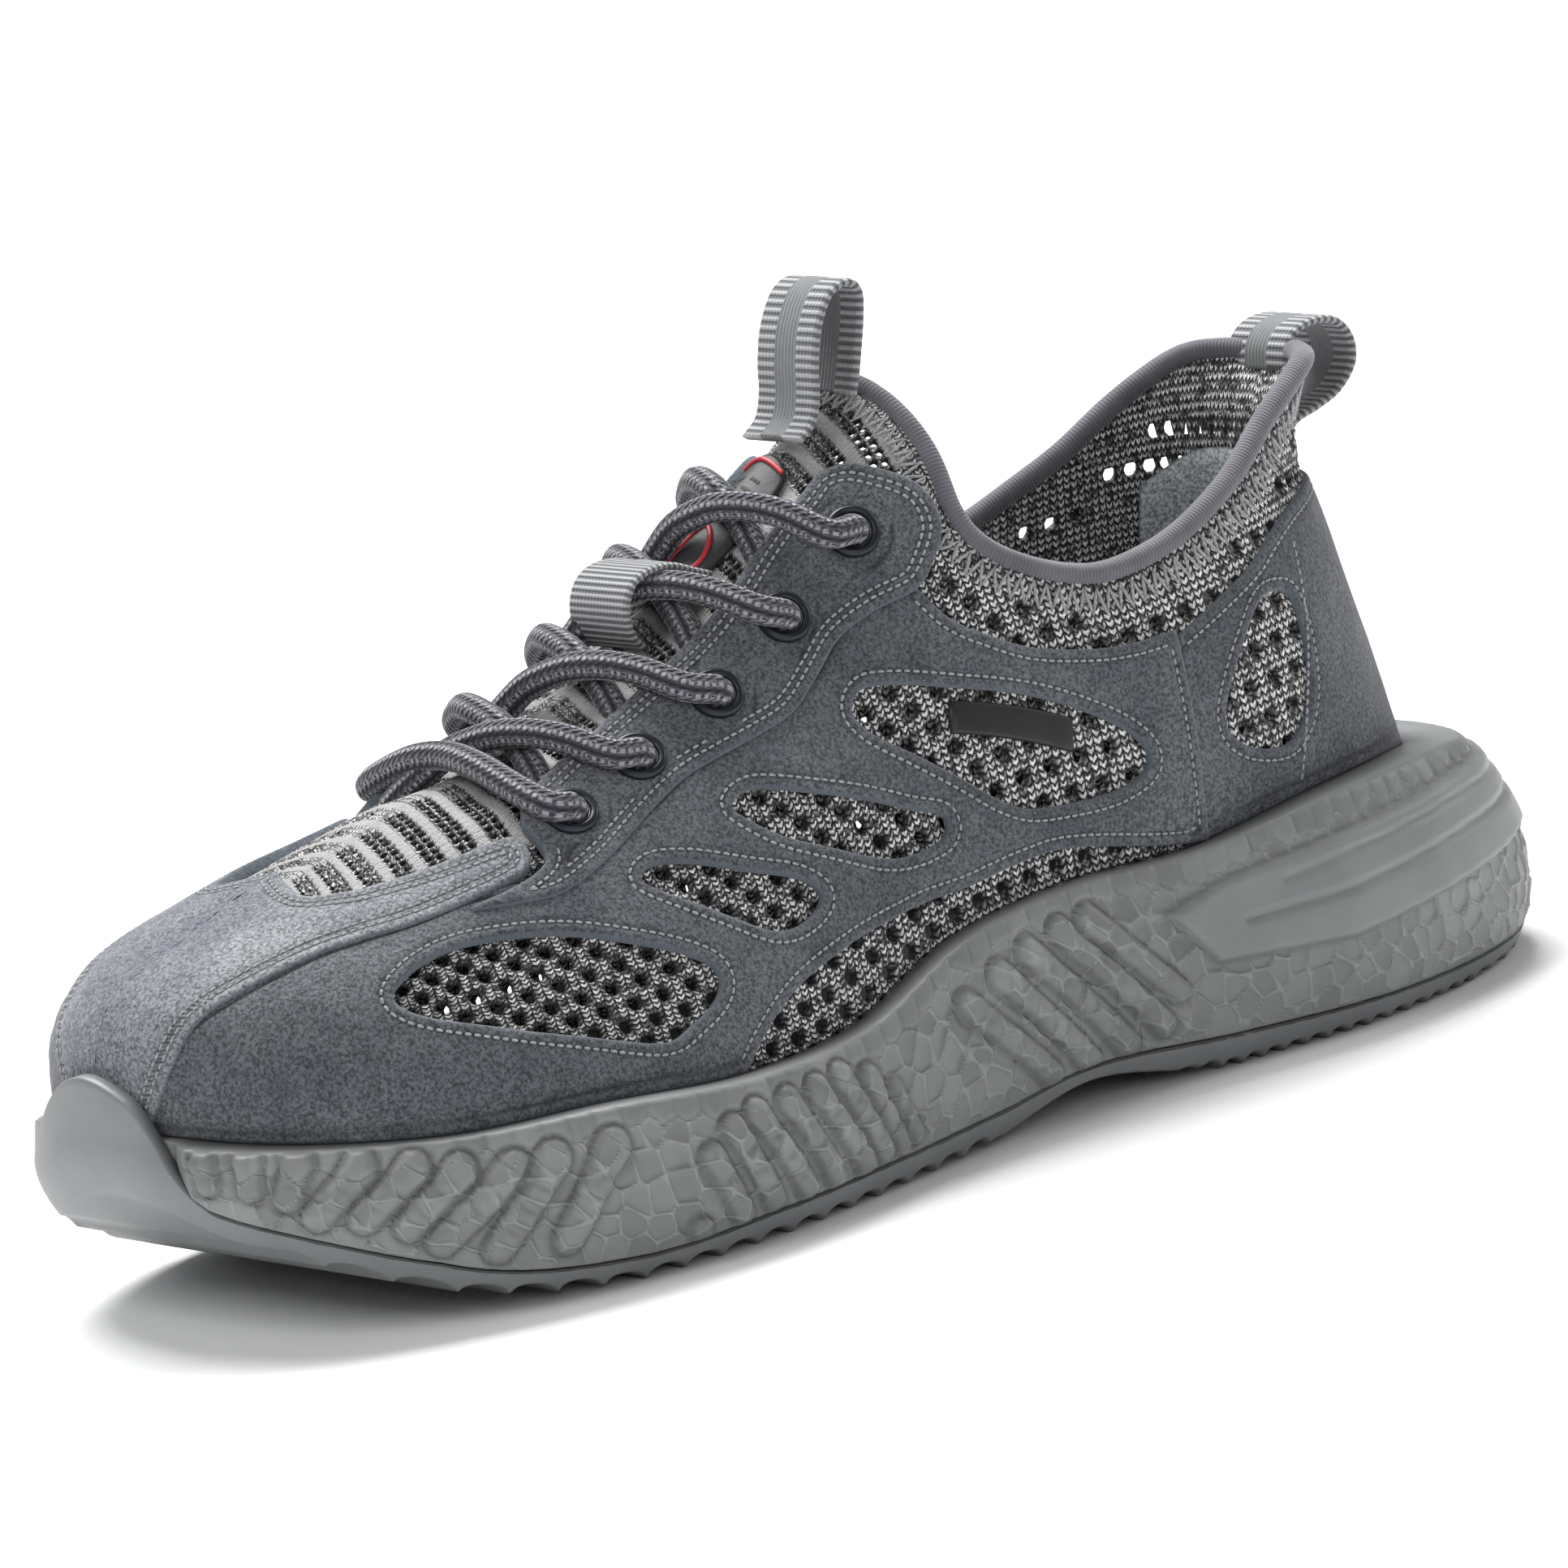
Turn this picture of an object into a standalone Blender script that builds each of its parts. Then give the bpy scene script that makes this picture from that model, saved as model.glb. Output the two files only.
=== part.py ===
"""Safety sneaker, left foot: a lasted knit upper with suede overlays on a cup midsole and outsole.

Run with: blender --background --python part.py
Metres, +Z up. The toe points to -X, the outer (lateral) side faces -Y, the shoe stands on Z = 0.
Lengths run along the shoe from the heel: x is 0 at the back of the heel and 1 at the tip of the toe.
"""

from collections import namedtuple
from math import pi

import bpy
import bmesh
import numpy as np
from mathutils import Vector
from mathutils.geometry import delaunay_2d_cdt

# Driving dimensions, in metres
SOLE_LENGTH = 0.300
BALL_WIDTH = 0.113
INSTEP_HEIGHT = 0.117
COLLAR_HEIGHT = 0.109
SOLE_HEIGHT = 0.040
TREAD_DEPTH = 0.0028
TREAD_PITCH = 0.0090
UPPER_WALL = 0.0020
OVERLAY_THICKNESS = 0.0014
INSOLE_THICKNESS = 0.0040
TAG_THICKNESS = 0.0010
LABEL_THICKNESS = 0.00125
FIT_GAP = 0.0003
BINDING_DIAMETER = 0.0042
LACE_DIAMETER = 0.0052
EYELET_BORE = 0.0062
EYELET_OUTER = 0.0112
WEBBING_WIDTH = 0.0165
WEBBING_THICKNESS = 0.0014

# The last, one row for each section from the heel to the toe.
# x_out y_out and x_in y_in: the feather line on the outer and inner side,
# shares of SOLE_LENGTH and BALL_WIDTH.
# floor: height of the feather line, share of SOLE_HEIGHT.
# crown_x crown_y crown: the section's top, shares of SOLE_LENGTH, BALL_WIDTH and INSTEP_HEIGHT.
# rise: how far up the side stands steep; swell: how far it leans out; flat: how wide the top is.
Section = namedtuple("Section", "x_out y_out x_in y_in floor crown_x crown_y crown rise swell flat")
LAST = [
    Section(0.061, -0.015, 0.061, -0.015, 0.65, 0.200, -0.02, 1.254, 0.40, -0.15, 0.45),
    Section(0.088, -0.185, 0.088, 0.155, 0.65, 0.204, -0.02, 1.252, 0.40, -0.08, 0.45),
    Section(0.145, -0.290, 0.145, 0.250, 0.65, 0.215, -0.02, 1.245, 0.40, 0.00, 0.45),
    Section(0.229, -0.345, 0.229, 0.290, 0.64, 0.255, -0.02, 1.22, 0.42, 0.05, 0.48),
    Section(0.327, -0.355, 0.327, 0.290, 0.60, 0.335, -0.01, 1.17, 0.46, 0.05, 0.52),
    Section(0.427, -0.360, 0.427, 0.295, 0.55, 0.422, 0.00, 1.11, 0.48, 0.04, 0.52),
    Section(0.517, -0.380, 0.517, 0.320, 0.49, 0.505, 0.01, 1.00, 0.48, 0.03, 0.36),
    Section(0.607, -0.418, 0.607, 0.365, 0.43, 0.588, 0.02, 0.885, 0.46, 0.03, 0.36),
    Section(0.700, -0.450, 0.700, 0.415, 0.39, 0.672, 0.03, 0.775, 0.44, 0.03, 0.40),
    Section(0.793, -0.430, 0.793, 0.440, 0.39, 0.755, 0.04, 0.690, 0.48, 0.05, 0.48),
    Section(0.883, -0.345, 0.883, 0.420, 0.45, 0.828, 0.06, 0.630, 0.60, 0.07, 0.62),
    Section(0.955, -0.170, 0.955, 0.325, 0.54, 0.878, 0.07, 0.590, 0.78, 0.09, 0.72),
    Section(0.980, 0.090, 0.980, 0.090, 0.60, 0.898, 0.08, 0.570, 0.92, 0.10, 0.78),
]

# The collar's flare at each section from the heel to the tongue, share of COLLAR_HEIGHT.
Collar = namedtuple("Collar", "flare")
COLLAR = [Collar(0.105), Collar(0.080), Collar(0.045), Collar(0.010), Collar(0.0), Collar(0.0)]
TONGUE_ROW = len(COLLAR) - 1
TOE_ROW = len(LAST) - 1
SECTION_NUMBERS = np.arange(len(LAST))

# The sole's side, one row for each section.
# out_outer out_inner: how far the widest line stands out from the feather line, shares of BALL_WIDTH.
# top part ground: heights of the top edge, of the line between outsole and midsole, and of the ground edge,
# shares of SOLE_HEIGHT. step_in: how far the top edge steps in from the widest line, share of BALL_WIDTH.
Side = namedtuple("Side", "out_outer out_inner top part ground step_in")
SIDES = [
    Side(0.135, 0.135, 0.96, 0.16, 0.05, 0.080),
    Side(0.145, 0.140, 0.99, 0.12, 0.02, 0.080),
    Side(0.130, 0.115, 1.05, 0.11, 0.00, 0.065),
    Side(0.115, 0.095, 1.05, 0.12, 0.00, 0.050),
    Side(0.080, 0.065, 0.98, 0.15, 0.00, 0.036),
    Side(0.060, 0.055, 1.00, 0.20, 0.13, 0.030),
    Side(0.060, 0.055, 0.93, 0.16, 0.03, 0.028),
    Side(0.062, 0.055, 0.73, 0.14, 0.00, 0.026),
    Side(0.066, 0.058, 0.71, 0.13, 0.00, 0.026),
    Side(0.066, 0.058, 0.77, 0.11, 0.00, 0.026),
    Side(0.066, 0.058, 0.79, 0.23, 0.11, 0.024),
    Side(0.078, 0.072, 0.86, 0.64, 0.39, 0.012),
    Side(0.080, 0.080, 0.92, 1.18, 0.63, 0.005),
]


def spline(rows, at, closed=False):
    """A smooth curve through the rows, read at fractional row numbers."""
    rows = np.asarray(rows, float)
    at = np.atleast_1d(np.asarray(at, float))
    count = len(rows)
    if closed:
        low = np.floor(at).astype(int)
        index = [(low + step) % count for step in (-1, 0, 1, 2)]
    else:
        low = np.clip(np.floor(at).astype(int), 0, count - 2)
        index = [np.abs(low - 1), low, low + 1, low + 2]
        index[3] = np.where(index[3] > count - 1, 2 * (count - 1) - index[3], index[3])
    before, start, end, after = (rows[i] for i in index)
    part = (at - low).reshape((-1,) + (1,) * (rows.ndim - 1))
    return 0.5 * (
        2 * start
        + (end - before) * part
        + (2 * before - 5 * start + 4 * end - after) * part**2
        + (3 * start - before - 3 * end + after) * part**3
    )


def column(rows, *names):
    """The named columns of a table, as an array."""
    return np.array([[getattr(row, name) for name in names] for row in rows], float)


PLAN_SIZE = np.array([SOLE_LENGTH, BALL_WIDTH])


def feather_loop():
    """The feather line's rows in plan: outer side from heel to toe, then the inner side back to the heel."""
    outer = column(LAST, "x_out", "y_out")
    inner = column(LAST, "x_in", "y_in")[1:-1][::-1]
    return np.vstack([outer, inner]) * PLAN_SIZE


FEATHER = feather_loop()


def feather(section, side):
    """Plan position of the feather line; side is -1 for the outer side and +1 for the inner side."""
    at = np.where(side < 0, section, len(FEATHER) - section)
    return spline(FEATHER, at, closed=True)


def last_point(section, up, side):
    """A point of the last. up is 0 at the feather line and 1 at the section's top."""
    section, up, side = np.broadcast_arrays(
        np.asarray(section, float), np.asarray(up, float), np.asarray(side, float)
    )
    shape = section.shape
    section, up, side = section.ravel(), up.ravel(), side.ravel()
    foot = feather(section, side)
    sizes = np.array([SOLE_HEIGHT, SOLE_LENGTH, BALL_WIDTH, INSTEP_HEIGHT, 1, BALL_WIDTH, 1])
    names = ("floor", "crown_x", "crown_y", "crown", "rise", "swell", "flat")
    row = spline(column(LAST, *names) * sizes, section)
    ahead = spline(column(LAST, *names) * sizes, np.minimum(section + 0.05, TOE_ROW))
    behind = spline(column(LAST, *names) * sizes, np.maximum(section - 0.05, 0))
    floor, crown, rise, swell, flat = row[:, 0], row[:, 3], row[:, 4], row[:, 5], row[:, 6]
    slope = (ahead[:, 3] - behind[:, 3]) / np.maximum(ahead[:, 1] - behind[:, 1], 1e-5)
    top = row[:, 1:3]
    reach = foot - top
    length = np.linalg.norm(reach, axis=1)
    one_minus = 1 - up
    bezier = [one_minus**3, 3 * one_minus**2 * up, 3 * one_minus * up**2, up**3]
    out = bezier[0] + bezier[1] * (1 + swell / length) + bezier[2] * flat
    height = (
        bezier[0] * floor
        + bezier[1] * (floor + rise * (crown - floor))
        + bezier[2] * (crown + slope * flat * reach[:, 0])
        + bezier[3] * crown
    )
    flare = spline(column(COLLAR, "flare") * COLLAR_HEIGHT, np.minimum(section, TONGUE_ROW))[:, 0]
    lift = np.clip((height - COLLAR_HEIGHT + FLARE_HEIGHT) / FLARE_HEIGHT, 0, 1.4)
    behind_tongue = np.clip(TONGUE_ROW - section, 0, 1)
    out = out + flare * lift**2 * behind_tongue / length
    plan = top + reach * out[:, None]
    return np.column_stack([SOLE_LENGTH / 2 - plan[:, 0], plan[:, 1], height]).reshape(shape + (3,))


FLARE_HEIGHT = 0.020
NORMAL_STEP = 0.01
SEAM = 1e-4


def side_normal(section, up, side):
    """The outward normal of one side of the last."""
    fore = last_point(np.minimum(section + NORMAL_STEP, TOE_ROW), up, side)
    aft = last_point(np.maximum(section - NORMAL_STEP, 0), up, side)
    high = last_point(section, np.minimum(up + NORMAL_STEP, 1), side)
    low = last_point(section, np.maximum(up - NORMAL_STEP, 0), side)
    normal = np.cross(fore - aft, high - low) * side[..., None]
    return normal / np.maximum(np.linalg.norm(normal, axis=-1, keepdims=True), 1e-12)


def last_normal(section, up, side):
    """The outward normal of the last, the same from both sides where they meet."""
    section, up, side = np.broadcast_arrays(
        np.asarray(section, float), np.asarray(up, float), np.asarray(side, float)
    )
    at_section = np.clip(section, 0, TOE_ROW - NORMAL_STEP)
    at_up = np.minimum(up, 1 - NORMAL_STEP)
    normal = side_normal(at_section, at_up, side)
    seam = (section < SEAM) | (section > TOE_ROW - SEAM) | (up > 1 - SEAM)
    both = normal + np.where(seam[..., None], side_normal(at_section, at_up, -side), 0)
    return both / np.linalg.norm(both, axis=-1, keepdims=True)


def last_offset(section, up, side, offset):
    """A point that stands off the last by offset along its normal."""
    return last_point(section, up, side) + last_normal(section, up, side) * np.asarray(offset)[..., None]


def sole_top(section):
    """Height of the midsole's top edge."""
    return spline(column(SIDES, "top") * SOLE_HEIGHT, section)[:, 0]


# Heights above the last's form: the form is the mean outer skin, and the knit lies under the overlays
KNIT_FACE = -0.0016
KNIT_INSIDE = KNIT_FACE - UPPER_WALL
OVERLAY_LOW = KNIT_FACE + 0.00065
CUP_GAP = 0.0008
OVERLAY_HIGH = OVERLAY_LOW + OVERLAY_THICKNESS
LABEL_HIGH = OVERLAY_LOW + LABEL_THICKNESS

UP_SAMPLES = np.linspace(0, 0.6, 121)
BELOW_SOLE_TOP = 0.2


def up_at_height(section, side, height):
    """How far up a section its side reaches a height."""
    section, side, height = np.broadcast_arrays(np.atleast_1d(section), side, height)
    climb = last_point(section[:, None], UP_SAMPLES[None, :], side[:, None])[:, :, 2]
    return np.array([np.interp(h, row, UP_SAMPLES) for h, row in zip(height, climb)])


def up_of(section, above, side):
    """The up value of a place given by its share above the sole.

    It is 0 at the midsole's top edge, 1 at the section's top and -BELOW_SOLE_TOP at the feather line.
    """
    section = np.atleast_1d(np.asarray(section, float))
    above = np.broadcast_to(np.asarray(above, float), section.shape)
    edge = up_at_height(section, side, sole_top(section) + FIT_GAP)
    return np.where(above < 0, edge * (1 + above / BELOW_SOLE_TOP), edge + above * (1 - edge))


# Outlines on the last: section numbers and shares above the sole. A point given twice is a corner.
OPENING = [
    (0.00, 0.478), (0.66, 0.476), (1.16, 0.475), (1.60, 0.460), (2.20, 0.430), (2.66, 0.395), (3.10, 0.370),
    (3.56, 0.350), (4.06, 0.350), (4.36, 0.370), (4.60, 0.400), (4.80, 0.440), (4.93, 0.490), (4.97, 0.545),
    (4.95, 0.600), (4.94, 0.660), (4.97, 0.750), (5.03, 0.870), (5.08, 1.000),
]
FEATHER_LEVEL = -BELOW_SOLE_TOP
UPPER = OPENING + [
    (5.08, 1.0), (12.0, 1.0), (12.0, 1.0), (12.0, FEATHER_LEVEL), (12.0, FEATHER_LEVEL),
    (0.0, FEATHER_LEVEL), (0.0, FEATHER_LEVEL), (0.0, 0.478),
]
SOLE_EDGE = 0.008
TOE_CAP = [
    (11.72, SOLE_EDGE), (11.62, 0.060), (11.50, 0.185), (11.32, 0.375), (11.02, 0.480), (10.56, 0.550),
    (10.16, 0.560), (9.76, 0.543), (9.34, 0.532), (8.96, 0.527), (8.82, 0.548), (8.80, 0.590), (8.88, 0.630),
    (9.42, 0.670), (9.88, 0.715), (10.12, 0.750), (10.36, 0.800), (10.47, 0.880), (10.50, 1.000),
    (10.50, 1.000), (12.0, 1.0), (12.0, 1.0), (12.0, SOLE_EDGE), (12.0, SOLE_EDGE), (11.72, SOLE_EDGE),
]
QUARTER = [
    (11.66, SOLE_EDGE), (11.56, 0.060), (11.44, 0.180), (11.26, 0.345), (10.96, 0.460), (10.54, 0.532),
    (10.14, 0.541), (9.76, 0.525), (9.46, 0.514), (9.46, 0.514), (9.06, 0.455), (8.74, 0.432), (8.36, 0.450),
    (8.06, 0.475), (7.82, 0.490), (7.54, 0.495), (7.24, 0.480), (6.94, 0.460), (6.62, 0.440), (6.32, 0.450),
    (6.08, 0.465), (5.76, 0.460), (5.48, 0.445), (5.48, 0.445), (5.28, 0.395), (5.04, 0.340), (4.78, 0.300),
    (4.44, 0.275), (4.12, 0.262), (3.74, 0.255), (3.74, 0.255), (3.76, 0.185), (3.80, 0.090),
    (3.84, SOLE_EDGE), (3.84, SOLE_EDGE), (4.28, 0.014), (4.60, 0.028), (4.98, 0.042), (5.28, 0.045),
    (5.78, 0.050), (6.26, 0.075), (6.80, 0.108), (7.22, 0.108), (7.52, 0.085), (7.78, 0.040),
    (7.94, SOLE_EDGE), (7.94, SOLE_EDGE), (11.66, SOLE_EDGE),
]
EYESTAY = [
    (9.38, 0.512), (9.06, 0.470), (8.74, 0.447), (8.36, 0.465), (8.06, 0.490), (7.82, 0.505), (7.54, 0.510),
    (7.24, 0.495), (6.94, 0.475), (6.62, 0.455), (6.32, 0.465), (6.08, 0.480), (5.76, 0.475), (5.42, 0.460),
    (5.22, 0.485), (5.09, 0.520), (5.07, 0.570), (5.14, 0.620), (5.30, 0.680), (5.46, 0.735), (5.64, 0.765),
    (5.82, 0.755), (6.20, 0.740), (6.58, 0.718), (7.00, 0.710), (7.44, 0.716), (8.02, 0.718), (8.36, 0.710),
    (8.62, 0.685), (8.72, 0.640), (8.70, 0.585), (8.72, 0.530), (8.96, 0.510),
]
COUNTER = [
    (3.68, SOLE_EDGE), (3.68, SOLE_EDGE), (3.70, 0.090), (3.66, 0.185), (3.62, 0.252), (3.62, 0.252),
    (3.38, 0.264), (2.98, 0.285), (2.62, 0.312), (2.18, 0.330), (1.38, 0.345), (0.60, 0.350), (0.0, 0.350), (0.0, 0.350),
    (0.0, SOLE_EDGE), (0.0, SOLE_EDGE), (3.68, SOLE_EDGE),
]
FOREFOOT_WINDOW = [
    (10.10, 0.365), (9.92, 0.425), (9.62, 0.445), (9.28, 0.420), (8.86, 0.370), (8.40, 0.295), (8.12, 0.245),
    (7.93, 0.195), (7.96, 0.150), (8.22, 0.112), (8.52, 0.092), (9.14, 0.160), (9.56, 0.225), (9.98, 0.300),
]
WAIST_WINDOW = [
    (8.18, 0.405), (8.04, 0.415), (7.78, 0.380), (7.44, 0.315), (7.08, 0.250), (6.94, 0.200), (7.14, 0.185),
    (7.40, 0.200), (7.66, 0.255), (7.94, 0.325), (8.14, 0.380),
]
ARCH_WINDOW = [
    (7.34, 0.418), (7.18, 0.420), (6.96, 0.385), (6.52, 0.295), (6.06, 0.200), (5.78, 0.155), (5.82, 0.127),
    (6.10, 0.135), (6.38, 0.170), (6.76, 0.250), (7.10, 0.325), (7.30, 0.390),
]
ANKLE_WINDOW = [
    (6.20, 0.375), (6.06, 0.390), (5.84, 0.365), (5.38, 0.300), (4.78, 0.230), (4.36, 0.175), (4.17, 0.135),
    (4.18, 0.108), (4.40, 0.092), (4.70, 0.090), (5.06, 0.102), (5.30, 0.130), (5.54, 0.180), (5.84, 0.250),
    (6.12, 0.325),
]
HEEL_WINDOW = [
    (2.66, 0.225), (2.80, 0.242), (2.98, 0.243), (3.16, 0.220), (3.40, 0.172), (3.53, 0.130), (3.50, 0.100),
    (3.34, 0.075), (3.10, 0.062), (2.92, 0.075), (2.76, 0.110), (2.67, 0.165),
]
EYELETS = [(5.66, 0.610), (6.38, 0.585), (7.08, 0.585), (7.78, 0.600), (8.40, 0.592)]
LABEL = [
    (5.74, 1.0), (5.75, 0.90), (5.82, 0.845), (6.02, 0.825), (6.44, 0.825), (6.68, 0.850), (6.80, 0.905),
    (6.83, 1.0), (6.83, 1.0), (5.74, 1.0),
]
TAG = [
    (5.36, 0.277), (5.36, 0.277), (4.86, 0.220), (4.86, 0.220), (4.90, 0.180), (4.90, 0.180), (5.42, 0.236),
    (5.42, 0.236),
]

# Chart scale: metres along the shoe for each section and metres over the side, for even triangles
CHART = np.array([0.024, 0.110])
PANEL_MESH = 0.0080
KNIT_MESH = 0.0095
OUTLINE_STEP = 0.0062


def resample(points, step, closed=True):
    """Points along a smooth outline, about one for each step; corners stay sharp."""
    rows = [np.asarray(point, float) for point in points]
    runs = [[]]
    for index, row in enumerate(rows):
        runs[-1].append(row)
        if index + 1 < len(rows) and np.allclose(row, rows[index + 1]):
            runs.append([])
    corners = len(runs) > 1
    if closed and not corners:
        dense = spline(rows, np.linspace(0, len(rows), len(rows) * 8, endpoint=False), closed=True)
        dense = [np.vstack([dense, dense[:1]])]
    else:
        dense = [
            spline(run, np.linspace(0, len(run) - 1, (len(run) - 1) * 8 + 1)) if len(run) > 2 else np.array(run)
            for run in runs
        ]
    result = []
    for run in dense:
        if len(run) < 2:
            continue
        length = np.concatenate([[0], np.cumsum(np.linalg.norm(np.diff(run * CHART, axis=0), axis=1))])
        count = max(int(round(length[-1] / step)), 1)
        places = np.linspace(0, length[-1], count + 1)[:-1]
        result.append(np.column_stack([np.interp(places, length, run[:, axis]) for axis in (0, 1)]))
    if not closed or corners:
        result.append(dense[-1][-1:])
    line = np.vstack(result)
    if closed:
        keep = np.linalg.norm((line - np.roll(line, -1, axis=0)) * CHART, axis=1) > 1e-6
        line = line[keep]
    return line


def inside(points, outline):
    """Which points lie inside a closed outline."""
    result = np.zeros(len(points), bool)
    for start, end in zip(outline, np.roll(outline, -1, axis=0)):
        crosses = (start[1] > points[:, 1]) != (end[1] > points[:, 1])
        rise = np.where(abs(end[1] - start[1]) < 1e-12, 1e-12, end[1] - start[1])
        where = (end[0] - start[0]) * (points[:, 1] - start[1]) / rise + start[0]
        result ^= crosses & (points[:, 0] < where)
    return result


def triangulate(outline, holes, spacing):
    """Points and triangles of an outline with holes, both in section numbers and shares."""
    loops = [outline] + holes
    fixed = np.vstack(loops) * CHART
    low, high = fixed.min(axis=0), fixed.max(axis=0)
    grid = np.stack(
        np.meshgrid(
            np.arange(low[0] + spacing / 2, high[0], spacing),
            np.arange(low[1] + spacing / 2, high[1], spacing),
            indexing="ij",
        ),
        axis=-1,
    ).reshape(-1, 2)
    keep = inside(grid, outline * CHART)
    for hole in holes:
        keep &= ~inside(grid, hole * CHART)
    distance = np.array([np.linalg.norm(fixed - point, axis=1).min() for point in grid])
    grid = grid[keep & (distance > spacing * 0.55)]
    points = np.vstack([fixed, grid])
    edges = []
    start = 0
    for loop in loops:
        count = len(loop)
        edges += [(start + i, start + (i + 1) % count) for i in range(count)]
        start += count
    result = delaunay_2d_cdt([Vector(point) for point in points], edges, [], 1, 1e-7)
    places = np.array([tuple(point) for point in result[0]])
    triangles = np.array(result[2])
    centre = places[triangles].mean(axis=1)
    keep = inside(centre, outline * CHART)
    for hole in holes:
        keep &= ~inside(centre, hole * CHART)
    return places / CHART, triangles[keep]


# Materials: base colour, roughness and metallic value
Finish = namedtuple("Finish", "color roughness metallic")
FINISHES = {
    "knit": Finish((0.36, 0.36, 0.37), 0.95, 0.0),
    "suede": Finish((0.20, 0.215, 0.235), 0.95, 0.0),
    "toe_suede": Finish((0.24, 0.25, 0.265), 0.95, 0.0),
    "sole_rubber": Finish((0.33, 0.34, 0.35), 0.60, 0.0),
    "midsole_foam": Finish((0.34, 0.35, 0.36), 0.65, 0.0),
    "insole_cloth": Finish((0.30, 0.30, 0.32), 0.95, 0.0),
    "binding": Finish((0.22, 0.21, 0.24), 0.90, 0.0),
    "webbing": Finish((0.42, 0.43, 0.44), 0.85, 0.0),
    "lace_cord": Finish((0.30, 0.30, 0.33), 0.90, 0.0),
    "eyelet_metal": Finish((0.03, 0.035, 0.05), 0.35, 1.0),
    "label_rubber": Finish((0.07, 0.07, 0.08), 0.60, 0.0),
    "tag_rubber": Finish((0.02, 0.02, 0.02), 0.60, 0.0),
}


def material(name):
    """The named material, made once."""
    made = bpy.data.materials.get(name)
    if made is None:
        made = bpy.data.materials.new(name)
        made.use_nodes = True
        finish = FINISHES[name]
        shader = made.node_tree.nodes["Principled BSDF"]
        shader.inputs["Base Color"].default_value = (*finish.color, 1)
        shader.inputs["Roughness"].default_value = finish.roughness
        shader.inputs["Metallic"].default_value = finish.metallic
        made.diffuse_color = (*finish.color, 1)
    return made


def add_solid(name, points, faces, look, collection):
    """A closed mesh object with its faces turned outward."""
    shape = bmesh.new()
    verts = [shape.verts.new(tuple(point)) for point in points]
    for face in faces:
        corners = [verts[i] for i in face]
        if len(set(corners)) == len(corners) and not shape.faces.get(corners):
            shape.faces.new(corners)
    bmesh.ops.remove_doubles(shape, verts=shape.verts, dist=1e-6)
    bmesh.ops.dissolve_degenerate(shape, edges=shape.edges, dist=1e-7)
    bmesh.ops.recalc_face_normals(shape, faces=shape.faces)
    mesh = bpy.data.meshes.new(name)
    shape.to_mesh(mesh)
    if shape.calc_volume(signed=True) < 0:
        mesh.flip_normals()
    shape.free()
    made = bpy.data.objects.new(name, mesh)
    made.data.materials.append(material(look))
    collection.objects.link(made)
    return made


def side_panel(places, triangles, low, high, side, seams):
    """Points and faces of a panel's wall on one side of the last, between two heights above it."""
    section, above = places.T
    on_seam = (section < SEAM) | (section > TOE_ROW - SEAM) | (above > 1 - SEAM)
    if seams:
        triangles = triangles[~on_seam[triangles].all(axis=1)]
    up = up_of(section, above, side)
    inner = last_offset(section, up, side, np.full(len(places), low))
    floor = spline(column(LAST, "floor") * SOLE_HEIGHT, section)[:, 0]
    inner[:, 2] = np.maximum(inner[:, 2], floor)
    outer = last_offset(section, up, side, np.full(len(places), high))
    outer[:, 2] = np.maximum(outer[:, 2], floor)
    count = len(places)
    faces = [tuple(triangle) for triangle in triangles + count]
    faces += [tuple(triangle[::-1]) for triangle in triangles]
    edges = {}
    for triangle in triangles:
        for start, end in zip(triangle, np.roll(triangle, -1)):
            edges.setdefault((min(start, end), max(start, end)), []).append((start, end))
    for (first, second), uses in edges.items():
        if len(uses) > 1 or (seams and on_seam[first] and on_seam[second]):
            continue
        start, end = uses[0]
        faces.append((start, end, end + count, start + count))
    return np.vstack([inner, outer]), faces


def add_panel(name, outline, holes, low, high, look, collection, sides=(-1, 1), spacing=PANEL_MESH):
    """A panel that lies on the last between two heights. With both sides it is joined at its seams."""
    rim = resample(outline, OUTLINE_STEP)
    hole_rims = [hole if isinstance(hole, np.ndarray) else resample(hole, OUTLINE_STEP) for hole in holes]
    places, triangles = triangulate(rim, hole_rims, spacing)
    points, faces = [], []
    for side in sides:
        side_points, side_faces = side_panel(places, triangles, low, high, side, len(sides) == 2)
        start = sum(len(group) for group in points)
        points.append(side_points)
        faces += [tuple(index + start for index in face) for face in side_faces]
    return add_solid(name, np.vstack(points), faces, look, collection)


def chart_circle(section, above, radius, count=12):
    """A circle on the last, as section numbers and shares above the sole."""
    step = 0.01
    places = np.array([[section, above], [section + step, above], [section, above + step]])
    here, along, over = last_point(places[:, 0], up_of(places[:, 0], places[:, 1], -1), -1)
    stretch = np.array([(along - here) / step, (over - here) / step]).T
    square = np.linalg.inv(stretch.T @ stretch)
    root = np.linalg.cholesky(square)
    turns = np.linspace(0, 2 * pi, count, endpoint=False)
    ring = np.column_stack([np.cos(turns), np.sin(turns)]) * radius
    return np.array([section, above]) + ring @ root.T


# The sole's rings run along the outer side from heel to toe and back along the inner side
RING_LENGTH = 2 * TOE_ROW


def around(*names):
    """Columns of the sole's side table as a closed run: outer side to the toe, inner side back."""
    outer = column(SIDES, names[0])[:, 0]
    inner = column(SIDES, names[-1])[1:-1, 0][::-1]
    return np.concatenate([outer, inner])


OUT = around("out_outer", "out_inner") * BALL_WIDTH
STEP_IN = around("step_in") * BALL_WIDTH
TOP = around("top") * SOLE_HEIGHT
PART = around("part") * SOLE_HEIGHT
GROUND = around("ground") * SOLE_HEIGHT
GROUND_ROUND = 0.012
GROUND_INSET = 0.0040
BELLY = 0.38
RUBBER_WALL = 0.0026


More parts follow.
